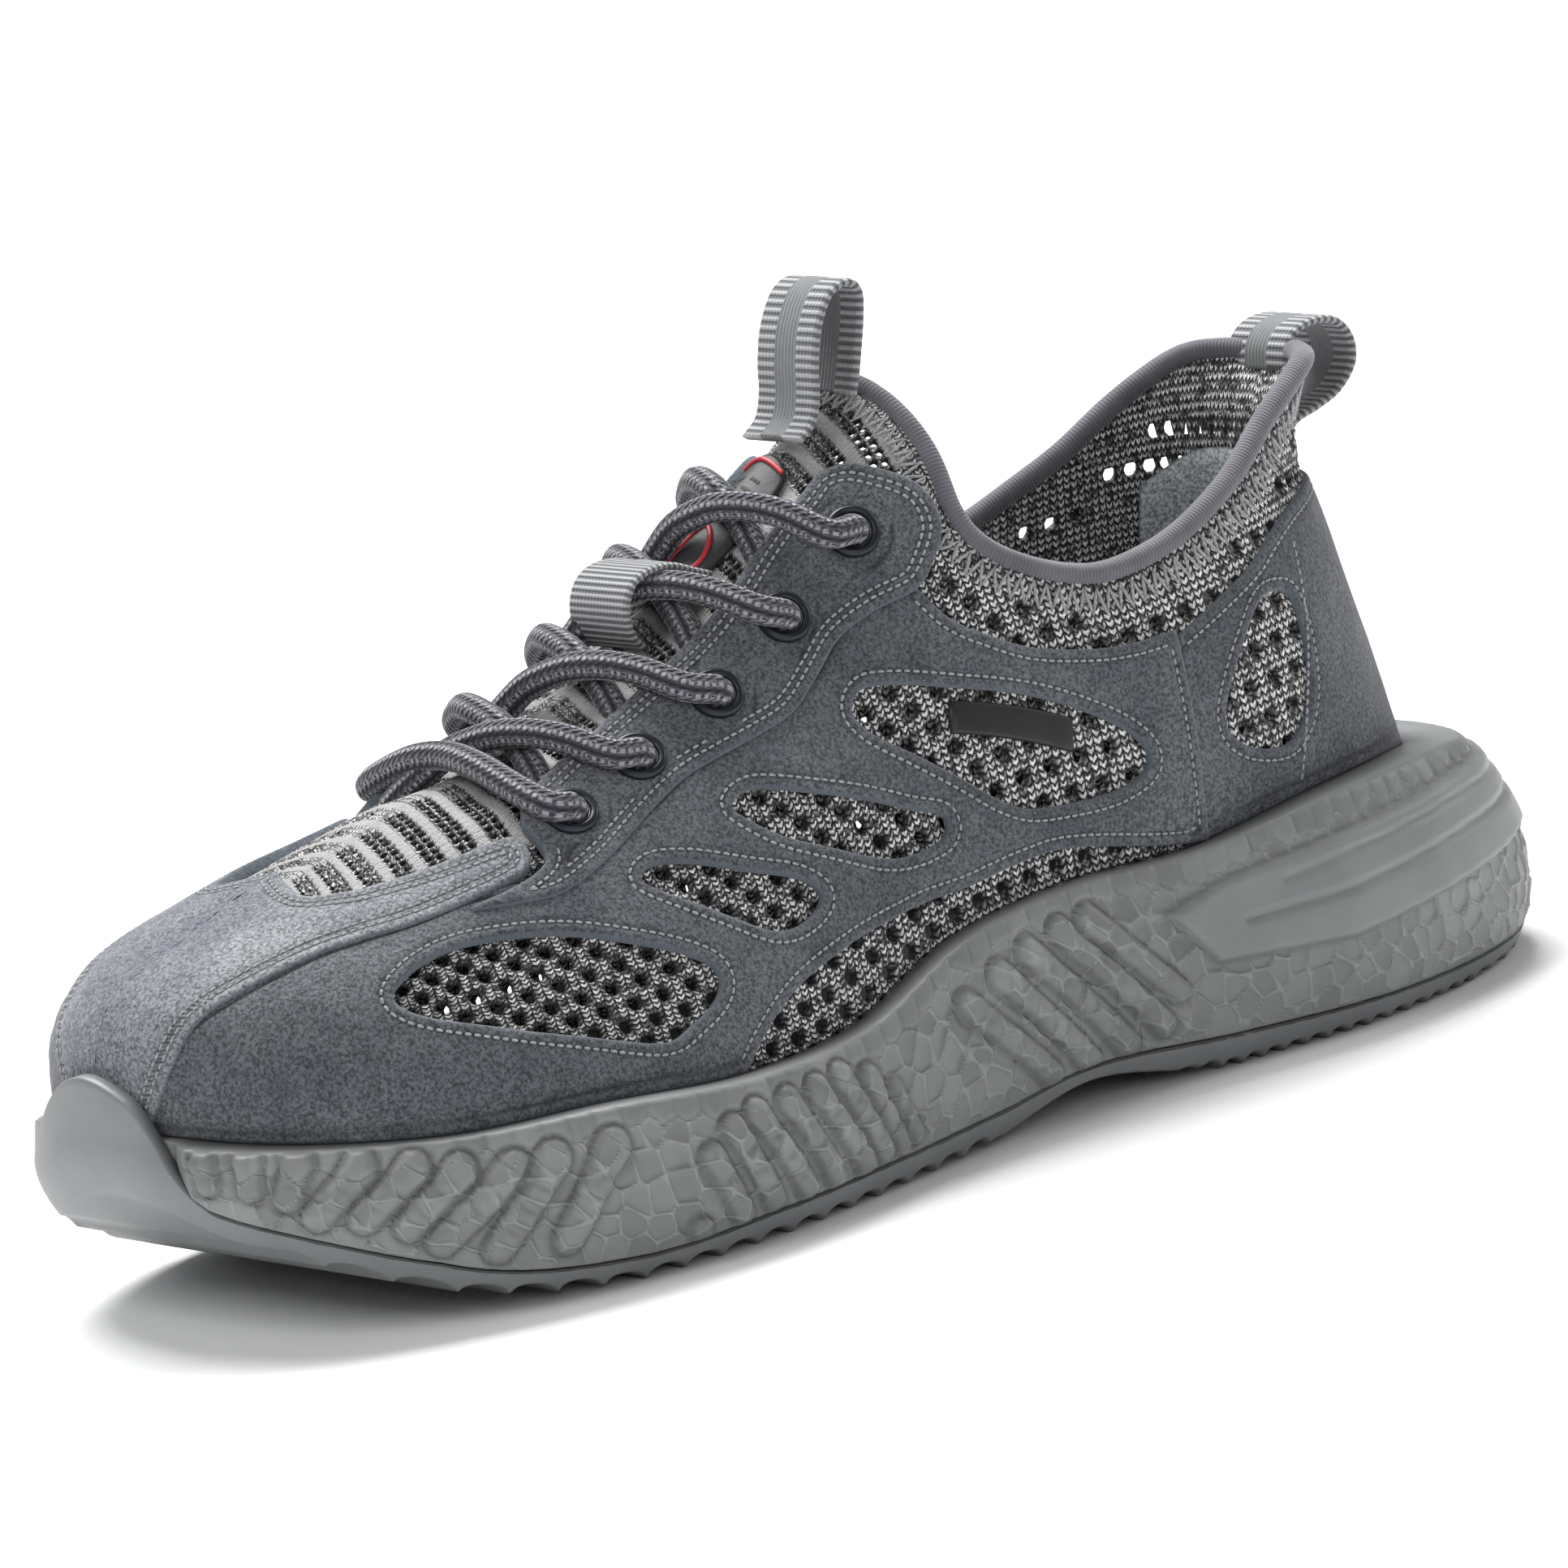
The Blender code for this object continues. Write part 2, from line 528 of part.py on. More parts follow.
def on_ring(values, at):
    """A closed run's value at places around the ring."""
    return spline(values[:, None], at, closed=True)[:, 0]


def ring_at(section_values):
    """Places around the ring for the outer side's sections and back along the inner side."""
    return np.concatenate([section_values, RING_LENGTH - section_values[1:-1][::-1]])


def ring_normal(at):
    """The plan direction that points out of the sole."""
    step = 0.05
    along = spline(FEATHER, at + step, closed=True) - spline(FEATHER, at - step, closed=True)
    normal = np.column_stack([along[:, 1], -along[:, 0]])
    return normal / np.linalg.norm(normal, axis=1)[:, None]


def ground_height(at):
    return np.maximum(on_ring(GROUND, at), 0)


def side_reach(at, height):
    """How far the sole's side stands out from the feather line at a height."""
    ground, top = ground_height(at), on_ring(TOP, at)
    low = np.clip(1 - (height - ground) / GROUND_ROUND, 0, 1)
    belly = ground + BELLY * (top - ground)
    high = np.clip((height - belly) / (top - belly), 0, 1)
    return on_ring(OUT, at) - GROUND_INSET * low**2 - on_ring(STEP_IN, at) * high**1.8


def ring(at, reach, height):
    """World points of one ring of the sole."""
    plan = spline(FEATHER, at, closed=True) + ring_normal(at) * reach[:, None]
    return np.column_stack([SOLE_LENGTH / 2 - plan[:, 0], plan[:, 1], height])


def last_ring(at, height, offset):
    """World points of a ring that follows the last at a height."""
    section = np.minimum(at, RING_LENGTH - at)
    side = np.where(at <= TOE_ROW, -1, 1)
    up = up_at_height(section, side, height)
    points = last_offset(section, up, side, np.broadcast_to(offset, at.shape))
    points[:, 2] = height
    return points


def ring_faces(count, first, last):
    """Quads between two rings of the same count."""
    return [
        (first + i, first + (i + 1) % count, last + (i + 1) % count, last + i)
        for i in range(count)
    ]


def cap_faces(count, start):
    """Faces across a ring, between matching places of its outer and inner side."""
    half = count // 2
    faces = [(start, start + 1, start + count - 1)]
    faces += [
        (start + i, start + i + 1, start + count - i - 1, start + count - i)
        for i in range(1, half - 1)
    ]
    faces.append((start + half - 1, start + half, start + half + 1))
    return faces


def add_ringed(name, rings, look, collection):
    """A solid whose skin runs through the rings, with a cap across the first and the last."""
    count = len(rings[0])
    faces = cap_faces(count, 0)
    for index in range(len(rings) - 1):
        faces += ring_faces(count, index * count, (index + 1) * count)
    faces += cap_faces(count, (len(rings) - 1) * count)
    return add_solid(name, np.vstack(rings), faces, look, collection)


SOLE_STATIONS = 48
RUBBER_BASE = 0.0042


def rubber_base(at):
    """Height of the outsole's inner floor above the ground edge."""
    return ground_height(at) + np.minimum(RUBBER_BASE, on_ring(PART, at) - ground_height(at) - 0.0006)


def covered_top(at):
    """Height up to which the outsole's wall covers the midsole."""
    return np.minimum(on_ring(PART, at), on_ring(TOP, at) - 0.0030)


def lug_stations():
    """Section numbers along the tread and how far each stands up from the ground: lugs and grooves."""
    length_at = column(LAST, "x_out")[:, 0] * SOLE_LENGTH
    sections, lifts = [0.0], [0.0]
    first, end = length_at[0] + 0.004, length_at[-1] - 0.012
    lugs = int((end - first) / TREAD_PITCH)
    for lug in range(lugs):
        start = first + lug * (end - first) / lugs
        for share, lift in ((0.0, 0.0), (0.52, 0.0), (0.62, TREAD_DEPTH), (0.90, TREAD_DEPTH)):
            place = start + share * TREAD_PITCH
            section = np.interp(place, length_at, SECTION_NUMBERS)
            in_arch = ARCH_START < section < ARCH_END
            sections.append(section)
            lifts.append(0.0 if in_arch else lift)
    toe_end = sections[-1] + 0.04
    sections, lifts = np.array(sections + [toe_end, float(TOE_ROW)]), np.array(lifts + [0.0, 0.0])
    even = np.arange(0, TOE_ROW, 0.25)
    gaps = [place for place in even if np.abs(sections - place).min() > 0.12]
    between = [place for place in gaps if np.interp(place, sections, lifts) == 0]
    order = np.argsort(np.concatenate([sections, between]))
    return np.concatenate([sections, between])[order], np.concatenate([lifts, np.zeros(len(between))])[order]


ARCH_START = 4.3
ARCH_END = 6.1


def add_outsole(collection):
    sections, lifts = lug_stations()
    at = ring_at(sections)
    lift = np.concatenate([lifts, lifts[1:-1][::-1]])
    ground, part, base = ground_height(at), on_ring(PART, at), rubber_base(at)
    shoulder = np.minimum(ground + TREAD_DEPTH + 0.0006, part - 0.0004)
    middle = 0.5 * (base + part)
    covered = covered_top(at) - 0.0001
    half_covered = 0.5 * (base + covered)
    rings = [
        ring(at, side_reach(at, ground), ground + np.minimum(lift, part - ground - 0.0012)),
        ring(at, side_reach(at, shoulder), shoulder),
        ring(at, side_reach(at, middle), np.maximum(middle, shoulder + 0.0002)),
        ring(at, side_reach(at, part), part),
        ring(at, side_reach(at, part) - RUBBER_WALL, part),
        ring(at, side_reach(at, covered) - RUBBER_WALL, covered),
        ring(at, side_reach(at, half_covered) - RUBBER_WALL, half_covered),
        ring(at, side_reach(at, base) - RUBBER_WALL, base),
    ]
    return add_ringed("outsole", rings, "sole_rubber", collection)


def add_midsole(collection):
    at = ring_at(np.linspace(0, TOE_ROW, SOLE_STATIONS + 1))
    part, base, top = on_ring(PART, at), rubber_base(at), on_ring(TOP, at)
    inside_wall = RUBBER_WALL + 1.6 * FIT_GAP
    shown = np.clip((top - part) / 0.006 - 0.5, 0, 1)
    covered = covered_top(at)
    half_covered = 0.5 * (base + covered)
    below = covered + 0.7 * FIT_GAP
    above = np.minimum(part + 1.8 * FIT_GAP, top - 0.0020)
    lift = 1.6 * FIT_GAP
    half_up = above + 0.45 * (top - above)
    shoulder = above + 0.80 * (top - above)
    floor = spline(column(LAST, "floor") * SOLE_HEIGHT, np.minimum(at, RING_LENGTH - at))[:, 0] - FIT_GAP
    hidden = inside_wall * (1 - shown)
    rings = [
        ring(at, side_reach(at, base) - inside_wall, np.minimum(base + lift, below - 0.0002)),
        ring(
            at, side_reach(at, half_covered) - inside_wall, np.clip(half_covered, base + lift, below - 0.0001)
        ),
        ring(at, side_reach(at, covered) - inside_wall, below),
        ring(at, side_reach(at, above) - hidden, above),
        ring(at, side_reach(at, half_up) - hidden, half_up),
        ring(at, side_reach(at, shoulder) - hidden, shoulder),
        ring(at, side_reach(at, top) - hidden, top),
        last_ring(at, top, KNIT_FACE + CUP_GAP),
        last_ring(at, 0.5 * (top + floor), KNIT_FACE + CUP_GAP),
        last_ring(at, floor + FIT_GAP, KNIT_FACE + CUP_GAP),
    ]
    rings[-1][:, 2] = floor
    return add_ringed("midsole", rings, "midsole_foam", collection)


def add_insole(collection):
    at = ring_at(np.linspace(0, TOE_ROW, SOLE_STATIONS // 2 + 1))
    floor = spline(column(LAST, "floor") * SOLE_HEIGHT, np.minimum(at, RING_LENGTH - at))[:, 0]
    inset = KNIT_INSIDE - 2 * FIT_GAP
    upper = last_ring(at, floor + INSOLE_THICKNESS, inset)
    lower = last_ring(at, floor + FIT_GAP, inset)
    lower[:, 2] = floor
    return add_ringed("insole", [lower, upper], "insole_cloth", collection)


def add_tube(name, path, radius, look, collection, closed=False, count=8):
    """A round solid along a path."""
    path = np.asarray(path, float)
    total = len(path)
    if closed:
        along = np.roll(path, -1, axis=0) - np.roll(path, 1, axis=0)
    else:
        along = np.gradient(path, axis=0)
    along /= np.linalg.norm(along, axis=1)[:, None]
    frame = np.cross(along[0], (0.3, 0.9, 0.2))
    points = []
    for place, direction in zip(path, along):
        frame = frame - direction * np.dot(frame, direction)
        frame /= np.linalg.norm(frame)
        other = np.cross(direction, frame)
        for turn in np.linspace(0, 2 * pi, count, endpoint=False):
            points.append(place + radius * (np.cos(turn) * frame + np.sin(turn) * other))
    faces = []
    for i in range(total if closed else total - 1):
        shift = 0
        if closed and i == total - 1:
            gaps = [np.linalg.norm(points[i * count] - points[k]) for k in range(count)]
            shift = int(np.argmin(gaps))
        following = (i + 1) % total
        for k in range(count):
            faces.append(
                (
                    i * count + k,
                    i * count + (k + 1) % count,
                    following * count + (k + 1 + shift) % count,
                    following * count + (k + shift) % count,
                )
            )
    if not closed:
        faces.append(tuple(range(count)))
        faces.append(tuple(range((total - 1) * count, total * count)))
    return add_solid(name, points, faces, look, collection)


def smooth_path(points, per_point):
    rows = np.asarray(points, float)
    return spline(rows, np.linspace(0, len(rows) - 1, (len(rows) - 1) * per_point + 1))


def opening_path():
    """The opening's edge around both sides: section numbers, shares above the sole and side."""
    half = resample(OPENING, 0.006, closed=False)
    outer = np.column_stack([half, np.full(len(half), -1.0)])
    inner = np.column_stack([half, np.full(len(half), 1.0)])[1:-1][::-1]
    return np.vstack([outer, inner])


def add_binding(collection):
    """The round binding that sits along the opening's cut edge."""
    path = opening_path()
    section, above, side = path.T
    up = np.concatenate([up_of(section[i : i + 1], above[i : i + 1], side[i]) for i in range(len(path))])
    middle = last_offset(section, up, side, np.full(len(path), KNIT_FACE - UPPER_WALL / 2))
    normal = last_normal(section, up, side)
    along = np.roll(middle, -1, axis=0) - np.roll(middle, 1, axis=0)
    along /= np.linalg.norm(along, axis=1)[:, None]
    away = np.cross(along, normal)
    away /= np.linalg.norm(away, axis=1)[:, None]
    if np.mean(away[:, 2]) < 0:
        away = -away
    centre = middle + away * (BINDING_DIAMETER / 2 + 2 * FIT_GAP)
    return add_tube("collar_binding", centre, BINDING_DIAMETER / 2, "binding", collection, closed=True)


def add_band(name, path, width, thickness, look, collection):
    """A flat strap across the shoe's middle, along a path of shares of its length and instep height."""
    rows = np.asarray(path, float)
    line = np.column_stack([SOLE_LENGTH * (0.5 - rows[:, 0]), rows[:, 1] * INSTEP_HEIGHT])
    line = smooth_path(line, 2)
    along = np.gradient(line, axis=0)
    along /= np.linalg.norm(along, axis=1)[:, None]
    across = np.column_stack([-along[:, 1], along[:, 0]]) * thickness / 2
    points = []
    for (x, z), (dx, dz) in zip(line, across):
        for y, turn in ((-1, 1), (1, 1), (1, -1), (-1, -1)):
            points.append((x + turn * dx, y * width / 2, z + turn * dz))
    faces = [(0, 1, 2, 3)]
    for i in range(len(line) - 1):
        for k in range(4):
            start, end = i * 4 + k, i * 4 + (k + 1) % 4
            faces.append((start, end, end + 4, start + 4))
    last = (len(line) - 1) * 4
    faces.append((last, last + 1, last + 2, last + 3))
    return add_solid(name, points, faces, look, collection)


EYELET_FLANGE = 0.0009
EYELET_WALL = 0.0005
EYELET_HOLE = 0.0048


def place_on_last(section, above, side):
    """A place's point on the last and its outward normal."""
    up = up_of(section, above, side)
    point = last_point(np.array([section]), up, side)[0]
    normal = last_normal(np.array([section]), up, side)[0]
    return point, normal


def add_eyelet(name, section, above, side, collection):
    """A flanged ring with its barrel through the stay and the knit."""
    point, normal = place_on_last(section, above, side)
    seat = OVERLAY_HIGH + 1.5 * FIT_GAP
    bore, barrel, flange = EYELET_BORE / 2, EYELET_BORE / 2 + EYELET_WALL, EYELET_OUTER / 2
    profile = [
        (bore, KNIT_INSIDE - FIT_GAP), (barrel, KNIT_INSIDE - FIT_GAP), (barrel, seat),
        (flange, seat), (barrel + 0.0010, seat + EYELET_FLANGE), (bore, seat + EYELET_FLANGE * 0.8),
    ]
    sideways = np.cross(normal, (1, 0, 0))
    sideways /= np.linalg.norm(sideways)
    other = np.cross(normal, sideways)
    count, points, faces = 10, [], []
    for turn in np.linspace(0, 2 * pi, count, endpoint=False):
        direction = np.cos(turn) * sideways + np.sin(turn) * other
        points += [point + radius * direction + height * normal for radius, height in profile]
    steps = len(profile)
    for i in range(count):
        for k in range(steps):
            here, following = i * steps, ((i + 1) % count) * steps
            faces.append((here + k, here + (k + 1) % steps, following + (k + 1) % steps, following + k))
    return add_solid(name, points, faces, "eyelet_metal", collection)


LACE_RADIUS = LACE_DIAMETER / 2
LACE_BEND = 0.0034
LACE_LIE = KNIT_FACE + LACE_RADIUS + 2 * FIT_GAP


def lace_route(row, side, crown_lift, lie, end):
    """A strand's path: up out of an eyelet, over the middle and down to the other stay's edge."""
    section, above = EYELETS[row]
    point, normal = place_on_last(section, above, side)
    end_section, end_above = end
    crown_section = 0.5 * (section + end_section)
    crown, crown_normal = place_on_last(crown_section, 0.999, side)
    goal, goal_normal = place_on_last(end_section, end_above, -side)
    toward = crown - point
    toward -= normal * np.dot(toward, normal)
    toward /= np.linalg.norm(toward)
    rise = OVERLAY_HIGH + EYELET_FLANGE + FIT_GAP
    path = [point + normal * height for height in (KNIT_FACE, 0.5 * (KNIT_FACE + rise), rise)]
    for turn in (0.25 * pi, 0.5 * pi):
        path.append(
            point + normal * (rise + LACE_BEND * np.sin(turn)) + toward * LACE_BEND * (1 - np.cos(turn))
        )
    path.append(0.5 * (path[-1] + crown + crown_normal * crown_lift) + normal * 0.0016)
    path.append(crown + crown_normal * crown_lift)
    path.append(0.5 * (path[-1] + goal + goal_normal * lie) + goal_normal * 0.0012)
    path.append(goal + goal_normal * lie)
    return smooth_path(path, 2)


LOW_STRAND = LACE_LIE + 0.0004
HIGH_STRAND = LOW_STRAND + LACE_DIAMETER + 8 * FIT_GAP
THROAT_END = 0.775
LABELLED_ROWS = 2


def add_laces(collection):
    """Crossed strands between the eyelet rows, and a straight one at the toe end."""
    for row in range(len(EYELETS) - 1):
        base = LABEL_HIGH - KNIT_FACE + 2 * FIT_GAP if row < LABELLED_ROWS else 0.0
        end = (EYELETS[row + 1][0] - 0.25, THROAT_END)
        for name, side, crown_lift in (("over", -1, HIGH_STRAND), ("under", 1, LOW_STRAND)):
            path = lace_route(row, side, crown_lift + base, LACE_LIE + base, end)
            add_tube(f"lace_{name}_{row + 1}", path, LACE_RADIUS, "lace_cord", collection)
    row = len(EYELETS) - 1
    half = lace_route(row, -1, LOW_STRAND, LACE_LIE, (EYELETS[row][0], THROAT_END))
    other = lace_route(row, 1, LOW_STRAND, LACE_LIE, (EYELETS[row][0], THROAT_END))
    crown = 6 * 2
    path = np.vstack([half[:crown], other[:crown][::-1]])
    add_tube(f"lace_over_{row + 1}", path, LACE_RADIUS, "lace_cord", collection)


# The pull loops' paths: lengths from the heel as shares of SOLE_LENGTH, heights as shares of INSTEP_HEIGHT
TONGUE_LOOP = [
    (0.4780, 1.0359), (0.4667, 1.0573), (0.4610, 1.0940), (0.4583, 1.1410), (0.4500, 1.1966),
    (0.4333, 1.2436), (0.4133, 1.2496), (0.4000, 1.2179), (0.3983, 1.1709), (0.4073, 1.1179),
]
HEEL_LOOP = [
    (0.1173, 0.8248), (0.1060, 0.8462), (0.0893, 0.8564), (0.0707, 0.8735), (0.0573, 0.9077),
    (0.0567, 0.9504), (0.0683, 0.9872), (0.0873, 1.0000), (0.1083, 0.9915),
]
KEEPER = [
    (7.20, 1.0), (7.18, 0.88), (7.06, 0.835), (6.92, 0.88), (6.92, 1.0), (6.92, 1.0), (7.20, 1.0),
]


def stand_centred(collection):
    """Hang every solid from one empty, placed so that the shoe stands on Z = 0 about the origin."""
    corners = np.array([tuple(vert.co) for made in collection.objects for vert in made.data.vertices])
    low, high = corners.min(axis=0), corners.max(axis=0)
    centre = bpy.data.objects.new("shoe_centre", None)
    centre.location = Vector((-(low[0] + high[0]) / 2, -(low[1] + high[1]) / 2, -low[2]))
    bpy.context.scene.collection.objects.link(centre)
    for made in collection.objects:
        made.parent = centre


def build():
    for old in list(bpy.data.objects):
        bpy.data.objects.remove(old, do_unlink=True)
    collection = bpy.data.collections.new("safety_sneaker")
    bpy.context.scene.collection.children.link(collection)
    lace_holes = [chart_circle(section, above, EYELET_HOLE) for section, above in EYELETS]
    add_outsole(collection)
    add_midsole(collection)
    add_insole(collection)
    add_panel("upper", UPPER, lace_holes, KNIT_INSIDE, KNIT_FACE, "knit", collection, spacing=KNIT_MESH)
    add_panel("toe_cap", TOE_CAP, [], OVERLAY_LOW, OVERLAY_HIGH, "toe_suede", collection)
    add_panel("heel_counter", COUNTER, [HEEL_WINDOW], OVERLAY_LOW, OVERLAY_HIGH, "suede", collection)
    windows = [FOREFOOT_WINDOW, WAIST_WINDOW, ARCH_WINDOW, ANKLE_WINDOW]
    for side, label in ((-1, "outer"), (1, "inner")):
        for name, outline, holes in (("quarter", QUARTER, windows), ("eyestay", EYESTAY, lace_holes)):
            add_panel(f"{name}_{label}", outline, holes, OVERLAY_LOW, OVERLAY_HIGH, "suede", collection, (side,))
        for row, (section, above) in enumerate(EYELETS):
            add_eyelet(f"eyelet_{label}_{row + 1}", section, above, side, collection)
    add_panel("side_tag", TAG, [], OVERLAY_LOW, OVERLAY_LOW + TAG_THICKNESS, "tag_rubber", collection, (-1,))
    add_panel("tongue_label", LABEL, [], OVERLAY_LOW, LABEL_HIGH, "label_rubber", collection)
    add_panel("lace_keeper", KEEPER, [], OVERLAY_LOW, LABEL_HIGH, "webbing", collection)
    add_binding(collection)
    add_laces(collection)
    add_band("tongue_loop", TONGUE_LOOP, WEBBING_WIDTH, WEBBING_THICKNESS, "webbing", collection)
    add_band("heel_loop", HEEL_LOOP, WEBBING_WIDTH, WEBBING_THICKNESS, "webbing", collection)
    stand_centred(collection)


build()
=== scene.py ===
"""Looks of a safety sneaker: a left shoe of knit and suede on a thick cup sole.

The last's chart is repeated from the model: section numbers run from the heel (0) to the toe (12),
and the share above the sole runs from its top edge (0) to the section's top (1).
Lengths are in metres. The outer side is -1 and the inner side +1.
"""

from collections import namedtuple
from math import pi, radians

import bmesh
import bpy
import numpy as np
from mathutils import Matrix, Vector
from mathutils.geometry import delaunay_2d_cdt
from mathutils.kdtree import KDTree


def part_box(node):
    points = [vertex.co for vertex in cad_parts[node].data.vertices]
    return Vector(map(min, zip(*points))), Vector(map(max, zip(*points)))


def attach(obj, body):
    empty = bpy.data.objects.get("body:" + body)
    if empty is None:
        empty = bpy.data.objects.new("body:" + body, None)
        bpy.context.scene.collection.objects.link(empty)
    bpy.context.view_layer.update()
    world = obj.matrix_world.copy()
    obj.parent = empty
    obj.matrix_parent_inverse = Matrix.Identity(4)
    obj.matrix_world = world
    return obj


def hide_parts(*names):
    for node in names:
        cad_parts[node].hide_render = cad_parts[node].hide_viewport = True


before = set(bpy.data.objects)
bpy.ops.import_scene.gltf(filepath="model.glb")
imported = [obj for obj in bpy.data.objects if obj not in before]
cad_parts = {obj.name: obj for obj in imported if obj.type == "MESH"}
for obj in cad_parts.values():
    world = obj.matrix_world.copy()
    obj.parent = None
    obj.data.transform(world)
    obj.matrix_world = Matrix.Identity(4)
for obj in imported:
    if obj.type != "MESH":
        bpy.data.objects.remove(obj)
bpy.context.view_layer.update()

# Driving dimensions, in metres
SOLE_LENGTH = 0.300
BALL_WIDTH = 0.113
INSTEP_HEIGHT = 0.117
COLLAR_HEIGHT = 0.109
SOLE_HEIGHT = 0.040
UPPER_WALL = 0.0020
OVERLAY_THICKNESS = 0.0014
INSOLE_THICKNESS = 0.0040
TAG_THICKNESS = 0.0010
LABEL_THICKNESS = 0.00125
FIT_GAP = 0.0003
BINDING_DIAMETER = 0.0042
LACE_DIAMETER = 0.0052
EYELET_BORE = 0.0062
WEBBING_WIDTH = 0.0165
WEBBING_THICKNESS = 0.0014

# The last, one row for each section from the heel to the toe.
# x_out y_out and x_in y_in: the feather line on the outer and inner side,
# shares of SOLE_LENGTH and BALL_WIDTH.
# floor: height of the feather line, share of SOLE_HEIGHT.
# crown_x crown_y crown: the section's top, shares of SOLE_LENGTH, BALL_WIDTH and INSTEP_HEIGHT.
# rise: how far up the side stands steep; swell: how far it leans out; flat: how wide the top is.
Section = namedtuple("Section", "x_out y_out x_in y_in floor crown_x crown_y crown rise swell flat")
LAST = [
    Section(0.061, -0.015, 0.061, -0.015, 0.65, 0.200, -0.02, 1.254, 0.40, -0.15, 0.45),
    Section(0.088, -0.185, 0.088, 0.155, 0.65, 0.204, -0.02, 1.252, 0.40, -0.08, 0.45),
    Section(0.145, -0.290, 0.145, 0.250, 0.65, 0.215, -0.02, 1.245, 0.40, 0.00, 0.45),
    Section(0.229, -0.345, 0.229, 0.290, 0.64, 0.255, -0.02, 1.22, 0.42, 0.05, 0.48),
    Section(0.327, -0.355, 0.327, 0.290, 0.60, 0.335, -0.01, 1.17, 0.46, 0.05, 0.52),
    Section(0.427, -0.360, 0.427, 0.295, 0.55, 0.422, 0.00, 1.11, 0.48, 0.04, 0.52),
    Section(0.517, -0.380, 0.517, 0.320, 0.49, 0.505, 0.01, 1.00, 0.48, 0.03, 0.36),
    Section(0.607, -0.418, 0.607, 0.365, 0.43, 0.588, 0.02, 0.885, 0.46, 0.03, 0.36),
    Section(0.700, -0.450, 0.700, 0.415, 0.39, 0.672, 0.03, 0.775, 0.44, 0.03, 0.40),
    Section(0.793, -0.430, 0.793, 0.440, 0.39, 0.755, 0.04, 0.690, 0.48, 0.05, 0.48),
    Section(0.883, -0.345, 0.883, 0.420, 0.45, 0.828, 0.06, 0.630, 0.60, 0.07, 0.62),
    Section(0.955, -0.170, 0.955, 0.325, 0.54, 0.878, 0.07, 0.590, 0.78, 0.09, 0.72),
    Section(0.980, 0.090, 0.980, 0.090, 0.60, 0.898, 0.08, 0.570, 0.92, 0.10, 0.78),
]

# The collar's flare at each section from the heel to the tongue, share of COLLAR_HEIGHT.
Collar = namedtuple("Collar", "flare")
COLLAR = [Collar(0.105), Collar(0.080), Collar(0.045), Collar(0.010), Collar(0.0), Collar(0.0)]
TONGUE_ROW = len(COLLAR) - 1
TOE_ROW = len(LAST) - 1
SIDE_NAMES = {-1: "outer", 1: "inner"}
SECTION_NUMBERS = np.arange(len(LAST))

# The sole's side, one row for each section.
# out_outer out_inner: how far the widest line stands out from the feather line, shares of BALL_WIDTH.
# top part ground: heights of the top edge, of the line between outsole and midsole, and of the ground
# edge, shares of SOLE_HEIGHT. step_in: how far the top edge steps in from the widest line, share of
# BALL_WIDTH.
Side = namedtuple("Side", "out_outer out_inner top part ground step_in")
SIDES = [
    Side(0.135, 0.135, 0.96, 0.16, 0.05, 0.080),
    Side(0.145, 0.140, 0.99, 0.12, 0.02, 0.080),
    Side(0.130, 0.115, 1.05, 0.11, 0.00, 0.065),
    Side(0.115, 0.095, 1.05, 0.12, 0.00, 0.050),
    Side(0.080, 0.065, 0.98, 0.15, 0.00, 0.036),
    Side(0.060, 0.055, 1.00, 0.20, 0.13, 0.030),
    Side(0.060, 0.055, 0.93, 0.16, 0.03, 0.028),
    Side(0.062, 0.055, 0.73, 0.14, 0.00, 0.026),
    Side(0.066, 0.058, 0.71, 0.13, 0.00, 0.026),
    Side(0.066, 0.058, 0.77, 0.11, 0.00, 0.026),
    Side(0.066, 0.058, 0.79, 0.23, 0.11, 0.024),
    Side(0.078, 0.072, 0.86, 0.64, 0.39, 0.012),
    Side(0.080, 0.080, 0.92, 1.18, 0.63, 0.005),
]


def spline(rows, at, closed=False):
    """A smooth curve through the rows, read at fractional row numbers."""
    rows = np.asarray(rows, float)
    at = np.atleast_1d(np.asarray(at, float))
    count = len(rows)
    if closed:
        low = np.floor(at).astype(int)
        index = [(low + step) % count for step in (-1, 0, 1, 2)]
    else:
        low = np.clip(np.floor(at).astype(int), 0, count - 2)
        index = [np.abs(low - 1), low, low + 1, low + 2]
        index[3] = np.where(index[3] > count - 1, 2 * (count - 1) - index[3], index[3])
    before, start, end, after = (rows[i] for i in index)
    part = (at - low).reshape((-1,) + (1,) * (rows.ndim - 1))
    return 0.5 * (
        2 * start
        + (end - before) * part
        + (2 * before - 5 * start + 4 * end - after) * part**2
        + (3 * start - before - 3 * end + after) * part**3
    )


def column(rows, *names):
    """The named columns of a table, as an array."""
    return np.array([[getattr(row, name) for name in names] for row in rows], float)


# The collar flares over FLARE_HEIGHT below its edge. Normals are read over NORMAL_STEP. Places within SEAM
# of the middle lie on a seam. Shares below the sole's edge reach -BELOW_SOLE_TOP at the feather line.
FLARE_HEIGHT = 0.020
NORMAL_STEP = 0.01
SEAM = 1e-4
BELOW_SOLE_TOP = 0.2


def unit(vectors):
    """The vectors with a length of 1."""
    return vectors / np.maximum(np.linalg.norm(vectors, axis=-1, keepdims=True), 1e-12)


def smooth_step(share):
    """A smooth step from 0 to 1."""
    share = np.clip(share, 0, 1)
    return share * share * (3 - 2 * share)


def peak(offset, width):
    """A soft peak of 1 where the offset is 0."""
    return np.exp(-((offset / width) ** 2))


def length_along(points):
    """The length travelled at each point of a path."""
    return np.concatenate([[0], np.cumsum(np.linalg.norm(np.diff(points, axis=0), axis=1))])


